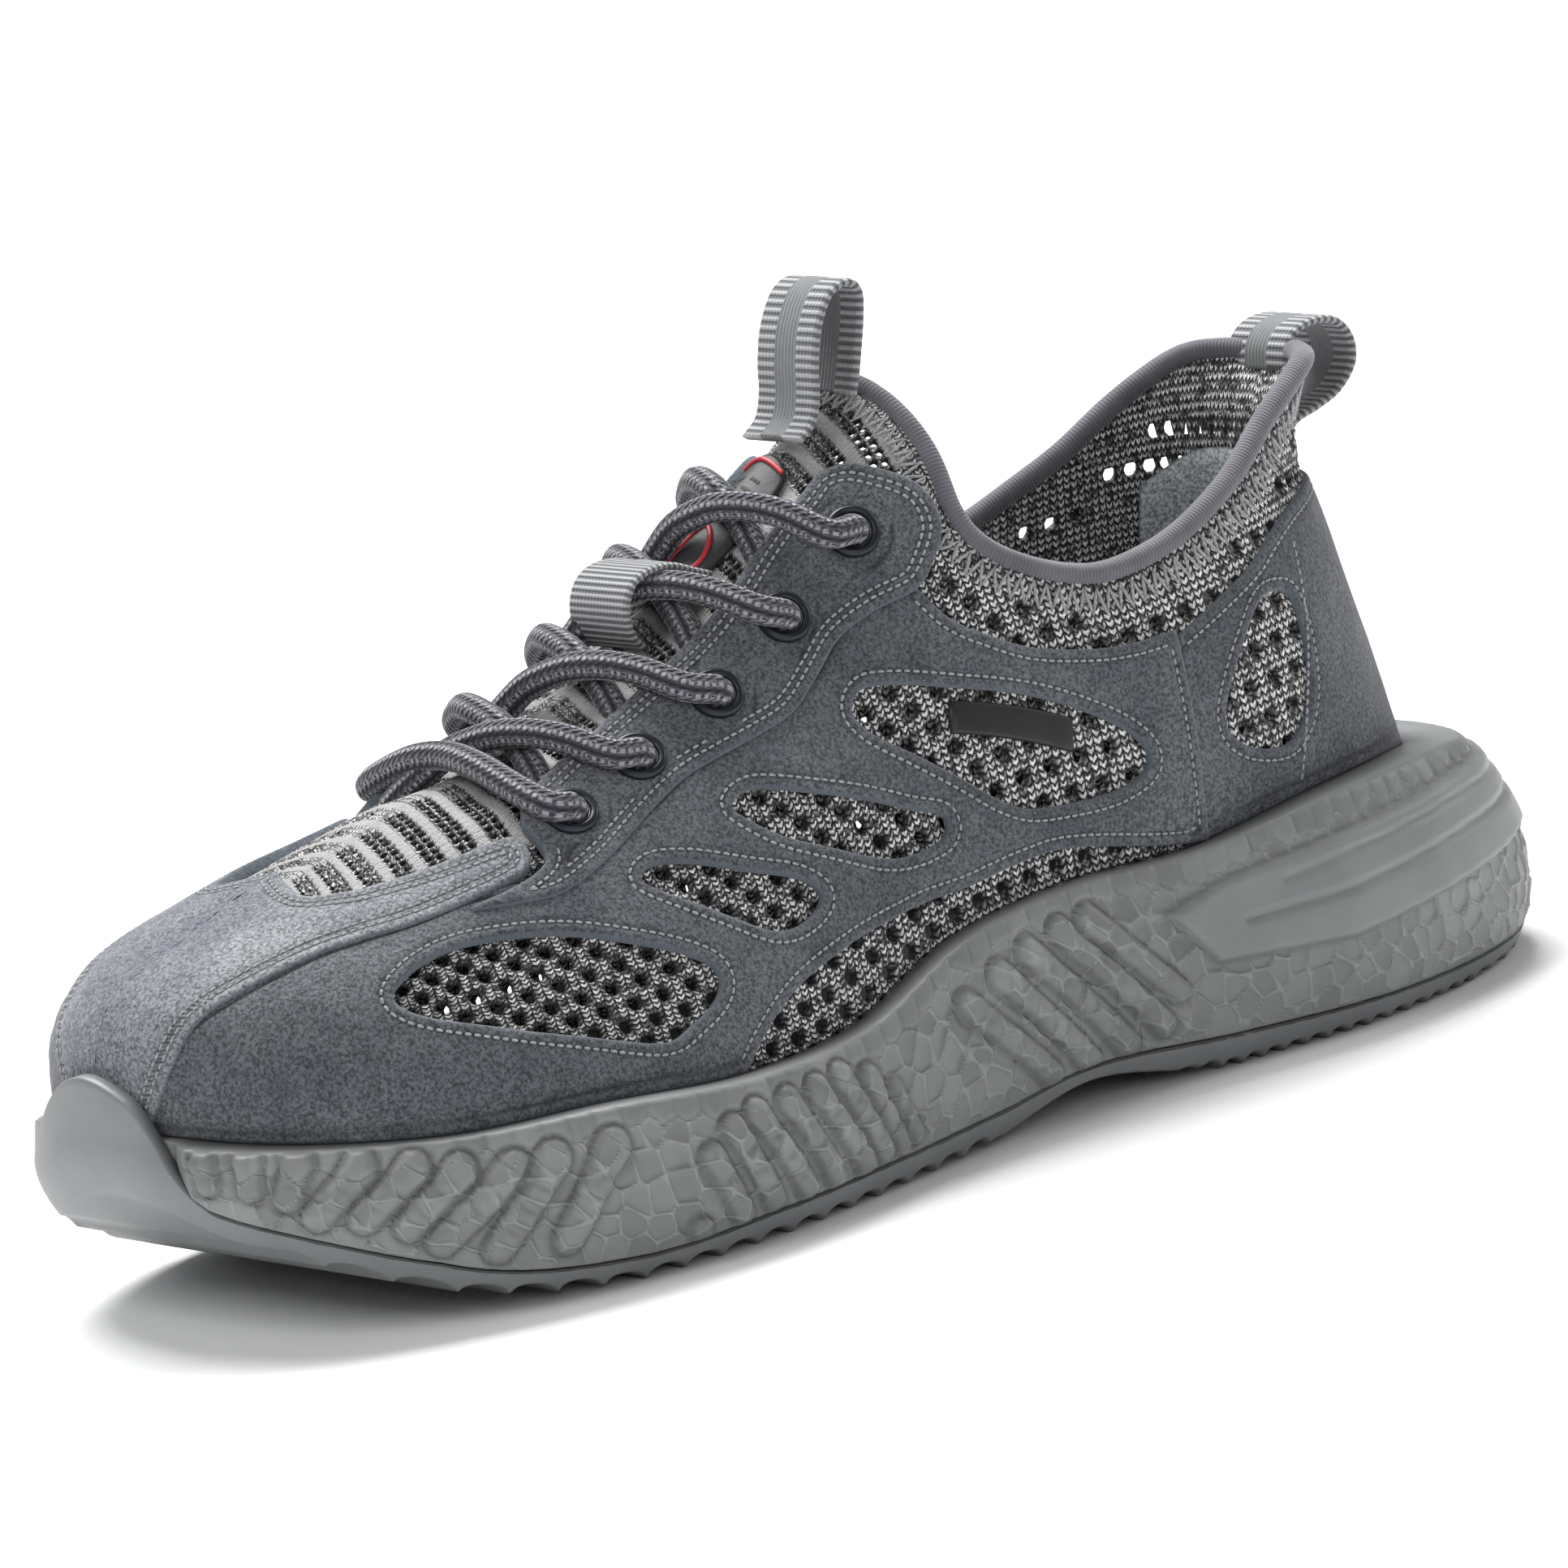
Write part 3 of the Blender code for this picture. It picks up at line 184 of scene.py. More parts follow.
def read_along(points, run, places):
    """A path's points at some travelled lengths."""
    return np.column_stack([np.interp(places, run, values) for values in points.T])


def turns_of(count):
    """Angles around a full turn."""
    return np.linspace(0, 2 * pi, count, endpoint=False)


PLAN_SIZE = np.array([SOLE_LENGTH, BALL_WIDTH])


def feather_loop():
    """The feather line's rows in plan: outer side from heel to toe, then the inner side back to the heel."""
    outer = column(LAST, "x_out", "y_out")
    inner = column(LAST, "x_in", "y_in")[1:-1][::-1]
    return np.vstack([outer, inner]) * PLAN_SIZE


FEATHER = feather_loop()


def feather(section, side):
    """Plan position of the feather line; side is -1 for the outer side and +1 for the inner side."""
    at = np.where(side < 0, section, len(FEATHER) - section)
    return spline(FEATHER, at, closed=True)


def last_point(section, up, side):
    """A point of the last. up is 0 at the feather line and 1 at the section's top."""
    section, up, side = np.broadcast_arrays(
        np.asarray(section, float), np.asarray(up, float), np.asarray(side, float)
    )
    shape = section.shape
    section, up, side = section.ravel(), up.ravel(), side.ravel()
    foot = feather(section, side)
    sizes = np.array([SOLE_HEIGHT, SOLE_LENGTH, BALL_WIDTH, INSTEP_HEIGHT, 1, BALL_WIDTH, 1])
    names = ("floor", "crown_x", "crown_y", "crown", "rise", "swell", "flat")
    row = spline(column(LAST, *names) * sizes, section)
    ahead = spline(column(LAST, *names) * sizes, np.minimum(section + 0.05, TOE_ROW))
    behind = spline(column(LAST, *names) * sizes, np.maximum(section - 0.05, 0))
    floor, crown, rise, swell, flat = row[:, 0], row[:, 3], row[:, 4], row[:, 5], row[:, 6]
    slope = (ahead[:, 3] - behind[:, 3]) / np.maximum(ahead[:, 1] - behind[:, 1], 1e-5)
    top = row[:, 1:3]
    reach = foot - top
    length = np.linalg.norm(reach, axis=1)
    one_minus = 1 - up
    bezier = [one_minus**3, 3 * one_minus**2 * up, 3 * one_minus * up**2, up**3]
    out = bezier[0] + bezier[1] * (1 + swell / length) + bezier[2] * flat
    height = (
        bezier[0] * floor
        + bezier[1] * (floor + rise * (crown - floor))
        + bezier[2] * (crown + slope * flat * reach[:, 0])
        + bezier[3] * crown
    )
    flare = spline(column(COLLAR, "flare") * COLLAR_HEIGHT, np.minimum(section, TONGUE_ROW))[:, 0]
    lift = np.clip((height - COLLAR_HEIGHT + FLARE_HEIGHT) / FLARE_HEIGHT, 0, 1.4)
    behind_tongue = np.clip(TONGUE_ROW - section, 0, 1)
    out = out + flare * lift**2 * behind_tongue / length
    plan = top + reach * out[:, None]
    return np.column_stack([SOLE_LENGTH / 2 - plan[:, 0], plan[:, 1], height]).reshape(shape + (3,))



def side_normal(section, up, side):
    """The outward normal of one side of the last."""
    fore = last_point(np.minimum(section + NORMAL_STEP, TOE_ROW), up, side)
    aft = last_point(np.maximum(section - NORMAL_STEP, 0), up, side)
    high = last_point(section, np.minimum(up + NORMAL_STEP, 1), side)
    low = last_point(section, np.maximum(up - NORMAL_STEP, 0), side)
    normal = np.cross(fore - aft, high - low) * side[..., None]
    return unit(normal)


def last_normal(section, up, side):
    """The outward normal of the last, the same from both sides where they meet."""
    section, up, side = np.broadcast_arrays(
        np.asarray(section, float), np.asarray(up, float), np.asarray(side, float)
    )
    at_section = np.clip(section, 0, TOE_ROW - NORMAL_STEP)
    at_up = np.minimum(up, 1 - NORMAL_STEP)
    normal = side_normal(at_section, at_up, side)
    seam = (section < SEAM) | (section > TOE_ROW - SEAM) | (up > 1 - SEAM)
    both = normal + np.where(seam[..., None], side_normal(at_section, at_up, -side), 0)
    return unit(both)


def last_offset(section, up, side, offset):
    """A point that stands off the last by offset along its normal."""
    return last_point(section, up, side) + last_normal(section, up, side) * np.asarray(offset)[..., None]



def last_floor(section):
    """Height of the feather line."""
    return spline(column(LAST, "floor") * SOLE_HEIGHT, section)[:, 0]


def sole_top(section):
    """Height of the midsole's top edge."""
    return spline(column(SIDES, "top") * SOLE_HEIGHT, section)[:, 0]


# Heights above the last's form: the form is the mean outer skin, and the knit lies under the overlays
KNIT_FACE = -0.0016
KNIT_INSIDE = KNIT_FACE - UPPER_WALL
OVERLAY_LOW = KNIT_FACE + 0.00065
CUP_GAP = 0.0008
OVERLAY_HIGH = OVERLAY_LOW + OVERLAY_THICKNESS
LABEL_HIGH = OVERLAY_LOW + LABEL_THICKNESS

# Outlines on the last: section numbers and shares above the sole. A point given twice is a corner.
OPENING = [
    (0.00, 0.478), (0.66, 0.476), (1.16, 0.475), (1.60, 0.460), (2.20, 0.430), (2.66, 0.395), (3.10, 0.370),
    (3.56, 0.350), (4.06, 0.350), (4.36, 0.370), (4.60, 0.400), (4.80, 0.440), (4.93, 0.490), (4.97, 0.545),
    (4.95, 0.600), (4.94, 0.660), (4.97, 0.750), (5.03, 0.870), (5.08, 1.000),
]
FEATHER_LEVEL = -BELOW_SOLE_TOP
UPPER = OPENING + [
    (5.08, 1.0), (12.0, 1.0), (12.0, 1.0), (12.0, FEATHER_LEVEL), (12.0, FEATHER_LEVEL),
    (0.0, FEATHER_LEVEL), (0.0, FEATHER_LEVEL), (0.0, 0.478),
]
SOLE_EDGE = -0.004
TOE_CAP = [
    (11.72, SOLE_EDGE), (11.62, 0.060), (11.50, 0.185), (11.32, 0.375), (11.02, 0.480), (10.56, 0.550),
    (10.16, 0.560), (9.76, 0.543), (9.34, 0.532), (8.96, 0.527), (8.82, 0.548), (8.80, 0.590), (8.88, 0.630),
    (9.42, 0.670), (9.88, 0.715), (10.12, 0.750), (10.36, 0.800), (10.47, 0.880), (10.50, 1.000),
    (10.50, 1.000), (12.0, 1.0), (12.0, 1.0), (12.0, SOLE_EDGE), (12.0, SOLE_EDGE), (11.72, SOLE_EDGE),
]
QUARTER = [
    (11.80, SOLE_EDGE), (11.72, 0.060), (11.60, 0.190), (11.40, 0.380), (11.06, 0.500), (10.58, 0.575),
    (10.14, 0.585), (9.76, 0.570), (9.36, 0.560), (9.00, 0.520), (8.74, 0.490), (8.36, 0.500),
    (8.06, 0.520), (7.82, 0.530), (7.54, 0.535), (7.24, 0.520), (6.94, 0.500), (6.62, 0.485), (6.32, 0.490),
    (6.08, 0.505), (5.76, 0.500), (5.44, 0.480), (5.44, 0.480), (5.28, 0.395), (5.04, 0.340), (4.78, 0.300),
    (4.44, 0.275), (4.12, 0.262), (3.74, 0.255), (3.74, 0.255), (3.76, 0.185), (3.80, 0.090),
    (3.84, SOLE_EDGE), (3.84, SOLE_EDGE), (4.28, 0.014), (4.60, 0.028), (4.98, 0.042), (5.28, 0.045),
    (5.78, 0.050), (6.26, 0.075), (6.80, 0.108), (7.22, 0.108), (7.52, 0.085), (7.78, 0.040),
    (7.94, SOLE_EDGE), (7.94, SOLE_EDGE), (11.80, SOLE_EDGE),
]
EYESTAY = [
    (9.38, 0.512), (9.06, 0.470), (8.74, 0.447), (8.36, 0.465), (8.06, 0.490), (7.82, 0.505), (7.54, 0.510),
    (7.24, 0.495), (6.94, 0.475), (6.62, 0.455), (6.32, 0.465), (6.08, 0.480), (5.76, 0.475), (5.42, 0.460),
    (5.22, 0.485), (5.09, 0.520), (5.07, 0.570), (5.14, 0.620), (5.30, 0.680), (5.46, 0.735), (5.64, 0.765),
    (5.82, 0.755), (6.20, 0.740), (6.58, 0.718), (7.00, 0.710), (7.44, 0.716), (8.02, 0.718), (8.36, 0.710),
    (8.62, 0.685), (8.72, 0.640), (8.70, 0.585), (8.72, 0.530), (8.96, 0.510),
]
COUNTER = [
    (3.98, SOLE_EDGE), (3.98, SOLE_EDGE), (3.95, 0.090), (3.88, 0.170), (3.80, 0.242), (3.80, 0.242),
    (3.38, 0.264), (2.98, 0.285), (2.62, 0.312), (2.18, 0.330), (1.38, 0.345), (0.60, 0.350),
    (0.0, 0.350), (0.0, 0.350), (0.0, SOLE_EDGE), (0.0, SOLE_EDGE), (3.98, SOLE_EDGE),
]
FOREFOOT_WINDOW = [
    (10.10, 0.365), (9.92, 0.425), (9.62, 0.445), (9.28, 0.420), (8.86, 0.370), (8.40, 0.295), (8.12, 0.245),
    (7.93, 0.195), (7.96, 0.150), (8.22, 0.112), (8.52, 0.092), (9.14, 0.160), (9.56, 0.225), (9.98, 0.300),
]
WAIST_WINDOW = [
    (8.18, 0.405), (8.04, 0.415), (7.78, 0.380), (7.44, 0.315), (7.08, 0.250), (6.94, 0.200), (7.14, 0.185),
    (7.40, 0.200), (7.66, 0.255), (7.94, 0.325), (8.14, 0.380),
]
ARCH_WINDOW = [
    (7.34, 0.418), (7.18, 0.420), (6.96, 0.385), (6.52, 0.295), (6.06, 0.200), (5.78, 0.155), (5.82, 0.127),
    (6.10, 0.135), (6.38, 0.170), (6.76, 0.250), (7.10, 0.325), (7.30, 0.390),
]
ANKLE_WINDOW = [
    (6.20, 0.375), (6.06, 0.390), (5.84, 0.365), (5.38, 0.300), (4.78, 0.230), (4.36, 0.175), (4.17, 0.135),
    (4.18, 0.108), (4.40, 0.092), (4.70, 0.090), (5.06, 0.102), (5.30, 0.130), (5.54, 0.180), (5.84, 0.250),
    (6.12, 0.325),
]
HEEL_WINDOW = [
    (2.66, 0.225), (2.80, 0.242), (2.98, 0.243), (3.16, 0.220), (3.40, 0.172), (3.53, 0.130), (3.50, 0.100),
    (3.34, 0.075), (3.10, 0.062), (2.92, 0.075), (2.76, 0.110), (2.67, 0.165),
]
EYELETS = [(5.66, 0.610), (6.38, 0.585), (7.08, 0.585), (7.78, 0.600), (8.40, 0.592)]
LABEL = [
    (5.74, 1.0), (5.75, 0.90), (5.82, 0.845), (6.02, 0.825), (6.44, 0.825), (6.68, 0.850), (6.80, 0.905),
    (6.83, 1.0), (6.83, 1.0), (5.74, 1.0),
]
TAG = [
    (5.47, 0.290), (5.47, 0.290), (4.63, 0.195), (4.63, 0.195), (4.68, 0.152), (4.68, 0.152), (5.53, 0.248),
    (5.53, 0.248),
]



# The pull loops' paths: lengths from the heel as shares of SOLE_LENGTH, heights as shares of INSTEP_HEIGHT
TONGUE_LOOP = [
    (0.4780, 1.0359), (0.4667, 1.0573), (0.4610, 1.0940), (0.4583, 1.1410), (0.4520, 1.1930),
    (0.4400, 1.2370), (0.4260, 1.2470), (0.4185, 1.2280), (0.4210, 1.1850), (0.4260, 1.1400),
    (0.4310, 1.1000), (0.4340, 1.0800),
]
HEEL_LOOP = [
    (0.1173, 0.8248), (0.1060, 0.8462), (0.0893, 0.8564), (0.0707, 0.8735), (0.0573, 0.9077),
    (0.0567, 0.9480), (0.0670, 0.9780), (0.0840, 0.9860), (0.0985, 0.9770), (0.1065, 0.9540),
    (0.1085, 0.9240),
]


# Where the model's frame stands: its heel end and its middle, worked out from two of its nodes
HEEL_END = SOLE_LENGTH * (0.5 - LAST[0].x_out) + SIDES[0].out_outer * BALL_WIDTH
LOOP_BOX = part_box("tongue_loop")
SHIFT = np.array([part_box("midsole")[1][0] - HEEL_END, (LOOP_BOX[0][1] + LOOP_BOX[1][1]) / 2, 0.0])

EDGE_SECTIONS = np.linspace(0, TOE_ROW, 241)
UP_SAMPLES = np.linspace(0, 0.6, 121)


def sole_edge_ups(side):
    """The up value of the midsole's top edge at each of EDGE_SECTIONS."""
    climb = last_point(EDGE_SECTIONS[:, None], UP_SAMPLES[None, :], side)[:, :, 2]
    heights = sole_top(EDGE_SECTIONS) + FIT_GAP
    return np.array([np.interp(height, row, UP_SAMPLES) for height, row in zip(heights, climb)])


SOLE_EDGE_UPS = {-1: sole_edge_ups(-1), 1: sole_edge_ups(1)}


def up_of(section, above, side):
    """The up value of a place given by its share above the sole."""
    section = np.atleast_1d(np.asarray(section, float))
    above = np.broadcast_to(np.asarray(above, float), section.shape)
    outer = np.interp(section, EDGE_SECTIONS, SOLE_EDGE_UPS[-1])
    inner = np.interp(section, EDGE_SECTIONS, SOLE_EDGE_UPS[1])
    edge = np.where(np.asarray(side) < 0, outer, inner)
    return np.where(above < 0, edge * (1 + above / BELOW_SOLE_TOP), edge + above * (1 - edge))


# How deep the tongue sinks between the eyestays: section numbers and depths
SINK_SECTIONS = [5.10, 5.50, 6.20, 6.80, 8.60, 9.20]
SINK_DEPTHS = [0.0, 0.0018, 0.0028, 0.0040, 0.0040, 0.0]
SINK_START = 0.70
SINK_END = 0.86


def tongue_sink(section, above):
    """How deep the tongue sinks at a place."""
    share = smooth_step((above - SINK_START) / (SINK_END - SINK_START))
    return np.interp(section, SINK_SECTIONS, SINK_DEPTHS) * share


def on_last(places, side, offset):
    """World points of chart places, standing off the last by offset."""
    section, above = np.asarray(places, float).T
    up = up_of(section, above, side)
    return last_offset(section, up, side, offset - tongue_sink(section, above))


def normals_on_last(places, side):
    """Outward normals of the last at chart places."""
    section, above = np.asarray(places, float).T
    return last_normal(section, up_of(section, above, side), side)


def chart_stretch(places, side):
    """How far a step in section and in share moves over the surface: one 3 by 2 matrix a place."""
    section, above = np.asarray(places, float).T
    step = 0.004
    ahead = np.column_stack([np.minimum(section + step, TOE_ROW), above])
    behind = np.column_stack([np.maximum(section - step, 0), above])
    higher = np.column_stack([section, np.minimum(above + step, 1)])
    lower = np.column_stack([section, above - step])
    along = (on_last(ahead, side, 0) - on_last(behind, side, 0)) / (ahead - behind)[:, :1]
    over = (on_last(higher, side, 0) - on_last(lower, side, 0)) / (higher - lower)[:, 1:]
    return np.stack([along, over], axis=2)


def chart_shift(places, move, side):
    """Chart places moved over the surface by world vectors."""
    return places + np.einsum("nij,nj->ni", np.linalg.pinv(chart_stretch(places, side)), move)


# Chart scale: metres along the shoe for each section and metres over the side
CHART = np.array([0.024, 0.110])


def resample(points, step, closed=True):
    """Points along a smooth outline, about one for each step; corners stay sharp."""
    rows = [np.asarray(point, float) for point in points]
    runs = [[]]
    for index, row in enumerate(rows):
        runs[-1].append(row)
        if index + 1 < len(rows) and np.allclose(row, rows[index + 1]):
            runs.append([])
    corners = len(runs) > 1
    if closed and not corners:
        dense = spline(rows, np.linspace(0, len(rows), len(rows) * 8, endpoint=False), closed=True)
        dense = [np.vstack([dense, dense[:1]])]
    else:
        dense = [smooth_path(run, 8) if len(run) > 2 else np.array(run) for run in runs]
    result = []
    for run in dense:
        if len(run) < 2:
            continue
        length = length_along(run * CHART)
        count = max(int(round(length[-1] / step)), 1)
        places = np.linspace(0, length[-1], count + 1)[:-1]
        result.append(read_along(run, length, places))
    if not closed or corners:
        result.append(dense[-1][-1:])
    line = np.vstack(result)
    if closed:
        line = line[np.linalg.norm((line - np.roll(line, -1, axis=0)) * CHART, axis=1) > 1e-6]
    return line


def inside(points, outline):
    """Which points lie inside a closed outline."""
    result = np.zeros(len(points), bool)
    for start, end in zip(outline, np.roll(outline, -1, axis=0)):
        crosses = (start[1] > points[:, 1]) != (end[1] > points[:, 1])
        rise = np.where(abs(end[1] - start[1]) < 1e-12, 1e-12, end[1] - start[1])
        where = (end[0] - start[0]) * (points[:, 1] - start[1]) / rise + start[0]
        result ^= crosses & (points[:, 0] < where)
    return result


def on_seam(places):
    """Which chart places lie on the lines where the two sides meet."""
    section, above = places.T
    return (section < SEAM) | (section > TOE_ROW - SEAM) | (above > 1 - SEAM)


def nearest(points, targets):
    """Distance from each point to the closest of the targets."""
    tree = KDTree(len(targets))
    for index, target in enumerate(targets):
        tree.insert(Vector(target), index)
    tree.balance()
    return np.array([tree.find(Vector(point))[2] for point in points])


def inset_loop(loop, distance, side, inward=True):
    """A loop moved over the surface by a distance, inwards or outwards."""
    places = np.column_stack([loop[:, 0].clip(SEAM, TOE_ROW - SEAM), loop[:, 1].clip(-1, 1 - SEAM)])
    world = on_last(places, side, 0)
    along = np.roll(world, -1, axis=0) - np.roll(world, 1, axis=0)
    across = np.cross(normals_on_last(places, side), unit(along))
    moved = chart_shift(places, across * distance, side)
    if inside(moved, loop).mean() < 0.5:
        moved = chart_shift(places, -across * distance, side)
    if not inward:
        moved = 2 * places - moved
    return moved


def real_edge_of(loops):
    """Dense places along loops that are already resampled, without the seams."""
    dense = []
    for loop in loops:
        following = np.roll(loop, -1, axis=0)
        for share in (0.0, 0.25, 0.5, 0.75):
            dense.append(loop + share * (following - loop))
    dense = np.vstack(dense)
    return dense[~on_seam(dense)]


def triangulate(loops, extra):
    """Chart places, triangles and each place's first source, for loops kept as edges and extra places."""
    edges, start = [], 0
    for loop in loops:
        count = len(loop)
        edges += [(start + i, start + (i + 1) % count) for i in range(count)]
        start += count
    points = np.vstack(loops + extra)
    result = delaunay_2d_cdt([Vector(point) for point in points * CHART], edges, [], 1, 1e-7)
    places = np.array([tuple(point) for point in result[0]]) / CHART
    first = np.array([origin[0] if origin else -1 for origin in result[3]])
    return places, np.array(result[2]), first


# Free places keep clear of the chart's ends: by END_GAP in sections and below TOP_LIMIT above the sole.
# Moved loops keep INSET_SHARE of their distance. Grid places are shifted by GRID_SHIFT of their pitch,
# ahead and back in turn, and stay GRID_CLEAR of it away from the last inset.
END_GAP = 0.02
TOP_LIMIT = 0.992
INSET_SHARE = 0.93
GRID_SHIFT = 0.2
GRID_CLEAR = 0.4


def panel_mesh(rim, holes, insets, spacing):
    """Chart places, triangles and distances to the free edge, for an outline with holes."""
    loops = [rim] + holes
    edge_world = on_last(real_edge_of(loops), -1, 0)
    extra = []
    for distance in insets:
        for index, loop in enumerate(loops):
            moved = inset_loop(loop, distance, -1, inward=index == 0)
            apart = nearest(on_last(moved, -1, 0), edge_world) > INSET_SHARE * distance
            extra.append(moved[~on_seam(loop) & apart])
    fixed = np.vstack(loops)
    low, high = fixed.min(axis=0), fixed.max(axis=0)
    pitch = spacing / CHART
    axes = [np.arange(low[axis] + pitch[axis] / 2, high[axis], pitch[axis]) for axis in (0, 1)]
    grid = np.stack(np.meshgrid(*axes, indexing="ij"), axis=-1).reshape(-1, 2)
    grid[:, 0] += np.where(np.arange(len(grid)) % 2 == 0, GRID_SHIFT, -GRID_SHIFT) * pitch[0]
    grid = grid[inside(grid, rim)]
    extra.append(grid[nearest(on_last(grid, -1, 0), edge_world) > insets[-1] + GRID_CLEAR * spacing])
    extra = np.vstack(extra)
    keep = inside(extra, rim) & (extra[:, 0] > END_GAP) & (extra[:, 0] < TOE_ROW - END_GAP)
    keep &= (extra[:, 1] < TOP_LIMIT) | (rim[:, 1].max() < 0.99)
    for hole in holes:
        keep &= ~inside(extra, hole)
    places, triangles, _ = triangulate(loops, [extra[keep]])
    centre = places[triangles].mean(axis=1)
    keep = inside(centre, rim)
    for hole in holes:
        keep &= ~inside(centre, hole)
    triangles = triangles[keep]
    used = np.unique(triangles)
    renumber = np.full(len(places), -1)
    renumber[used] = np.arange(len(used))
    places, triangles = places[used], renumber[triangles]
    return places, triangles, nearest(on_last(places, -1, 0), edge_world)


def wall_edges(places, triangles, sides):
    """Edges used by one triangle only; those on the seams are left out where both sides are made."""
    uses = {}
    for triangle in triangles:
        for start, end in zip(triangle, np.roll(triangle, -1)):
            uses.setdefault((min(start, end), max(start, end)), []).append((start, end))
    single = [pairs[0] for pairs in uses.values() if len(pairs) == 1]
    return [pair for pair in single if len(sides) < 2 or not on_seam(places[list(pair)]).all()]


def skin_faces(triangles, side, start):
    """A skin's faces; the triangles are given for the outer side."""
    return [tuple(int(i) + start for i in face) for face in (triangles if side < 0 else triangles[:, ::-1])]


def wall_faces(pairs, foot, side, start):
    """Quads from a skin's open edges down to the foot of each end."""
    quads = [(a, b, foot[b], foot[a]) for a, b in pairs]
    return [tuple(int(i) + start for i in (quad if side > 0 else quad[::-1])) for quad in quads]


def ring_faces(count, first, last):
    """Quads between two rings of the same count."""
    steps = np.arange(count)
    ahead = (steps + 1) % count
    return np.column_stack([first + steps, first + ahead, last + ahead, last + steps]).tolist()


def add_to_scene(name, data):
    """An object of the scene that shows the data."""
    made = bpy.data.objects.new(name, data)
    bpy.context.scene.collection.objects.link(made)
    return made


MERGE_DISTANCE = 2e-6


def new_object(name, points, faces, look, uvs=None, values=None, merge=True):
    """A mesh object; uvs and values are one for each point."""
    mesh = bpy.data.meshes.new(name)
    faces = [tuple(int(i) for i in face) for face in faces]
    mesh.from_pydata((np.asarray(points) + SHIFT).tolist(), [], faces)
    if uvs is not None:
        corners = np.array([loop.vertex_index for loop in mesh.loops])
        layer = mesh.uv_layers.new(name="UVMap")
        layer.data.foreach_set("uv", np.asarray(uvs, float)[corners].ravel())
    for key, data in (values or {}).items():
        mesh.attributes.new(key, "FLOAT", "POINT").data.foreach_set("value", np.asarray(data, float))
    made = add_to_scene(name, mesh)
    if merge:
        shape = bmesh.new()
        shape.from_mesh(mesh)
        bmesh.ops.remove_doubles(shape, verts=shape.verts, dist=MERGE_DISTANCE)
        bmesh.ops.recalc_face_normals(shape, faces=shape.faces)
        shape.to_mesh(mesh)
        shape.free()
    mesh.shade_smooth()
    mesh.materials.append(look)
    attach(made, "root")
    return made


def up_at_height(section, side, height):
    """How far up a section its side reaches a height."""
    section, side, height = np.broadcast_arrays(np.atleast_1d(section), side, height)
    climb = last_point(section[:, None], UP_SAMPLES[None, :], side[:, None])[:, :, 2]
    return np.array([np.interp(h, row, UP_SAMPLES) for h, row in zip(height, climb)])


def smooth_path(points, per_point):
    """A smooth curve through points, with some places for each."""
    rows = np.asarray(points, float)
    return spline(rows, np.linspace(0, len(rows) - 1, (len(rows) - 1) * per_point + 1))


# The sole's rings run along the outer side from heel to toe and back along the inner side
RING_LENGTH = 2 * TOE_ROW


def around(*names):
    """Columns of the sole's side table as a closed run: outer side to the toe, inner side back."""
    outer = column(SIDES, names[0])[:, 0]
    inner = column(SIDES, names[-1])[1:-1, 0][::-1]
    return np.concatenate([outer, inner])


OUT = around("out_outer", "out_inner") * BALL_WIDTH
STEP_IN = around("step_in") * BALL_WIDTH
TOP = around("top") * SOLE_HEIGHT
PART = around("part") * SOLE_HEIGHT
GROUND = around("ground") * SOLE_HEIGHT

# The side's form: rounding at the ground and how far it steps in there, where the top's step starts
# as a share of the height, and the rubber's wall
GROUND_ROUND = 0.012
GROUND_INSET = 0.0040
BELLY = 0.38
RUBBER_WALL = 0.0026


def on_ring(values, at):
    """A closed run's value at places around the ring."""
    return spline(values[:, None], at, closed=True)[:, 0]


def ring_at(section_values):
    """Places around the ring for the outer side's sections and back along the inner side."""
    return np.concatenate([section_values, RING_LENGTH - section_values[1:-1][::-1]])


def ring_normal(at):
    """The plan direction that points out of the sole."""
    step = 0.05
    along = spline(FEATHER, at + step, closed=True) - spline(FEATHER, at - step, closed=True)
    normal = np.column_stack([along[:, 1], -along[:, 0]])
    return unit(normal)


def ground_height(at):
    """Height of the ground edge."""
    return np.maximum(on_ring(GROUND, at), 0)


def part_height(at):
    """Height of the line between outsole and midsole: a low band that turns up steeply at the toe."""
    section = np.minimum(at, RING_LENGTH - at)
    plain = on_ring(PART, at)
    rise = smooth_step((section - TOE_TURN) / TOE_TURN_LENGTH)
    low = np.minimum(plain, ground_height(at) + TOE_BAND)
    return np.where((section > TOE_BAND_START) & (at <= TOE_ROW), low * (1 - rise) + plain * rise, plain)


def side_reach(at, height):
    """How far the sole's side stands out from the feather line at a height."""
    ground, top = ground_height(at), on_ring(TOP, at)
    low = np.clip(1 - (height - ground) / GROUND_ROUND, 0, 1)
    belly = ground + BELLY * (top - ground)
    high = np.clip((height - belly) / (top - belly), 0, 1)
    return on_ring(OUT, at) - GROUND_INSET * low**2 - on_ring(STEP_IN, at) * high**1.8


def ring(at, reach, height):
    """World points of one ring of the sole."""
    plan = spline(FEATHER, at, closed=True) + ring_normal(at) * reach[:, None]
    return np.column_stack([SOLE_LENGTH / 2 - plan[:, 0], plan[:, 1], height])


def last_ring(at, height, offset):
    """World points of a ring that follows the last at a height."""
    section = np.minimum(at, RING_LENGTH - at)
    side = np.where(at <= TOE_ROW, -1, 1)
    up = up_at_height(section, side, height)
    points = last_offset(section, up, side, np.broadcast_to(offset, at.shape))
    points[:, 2] = height
    return points


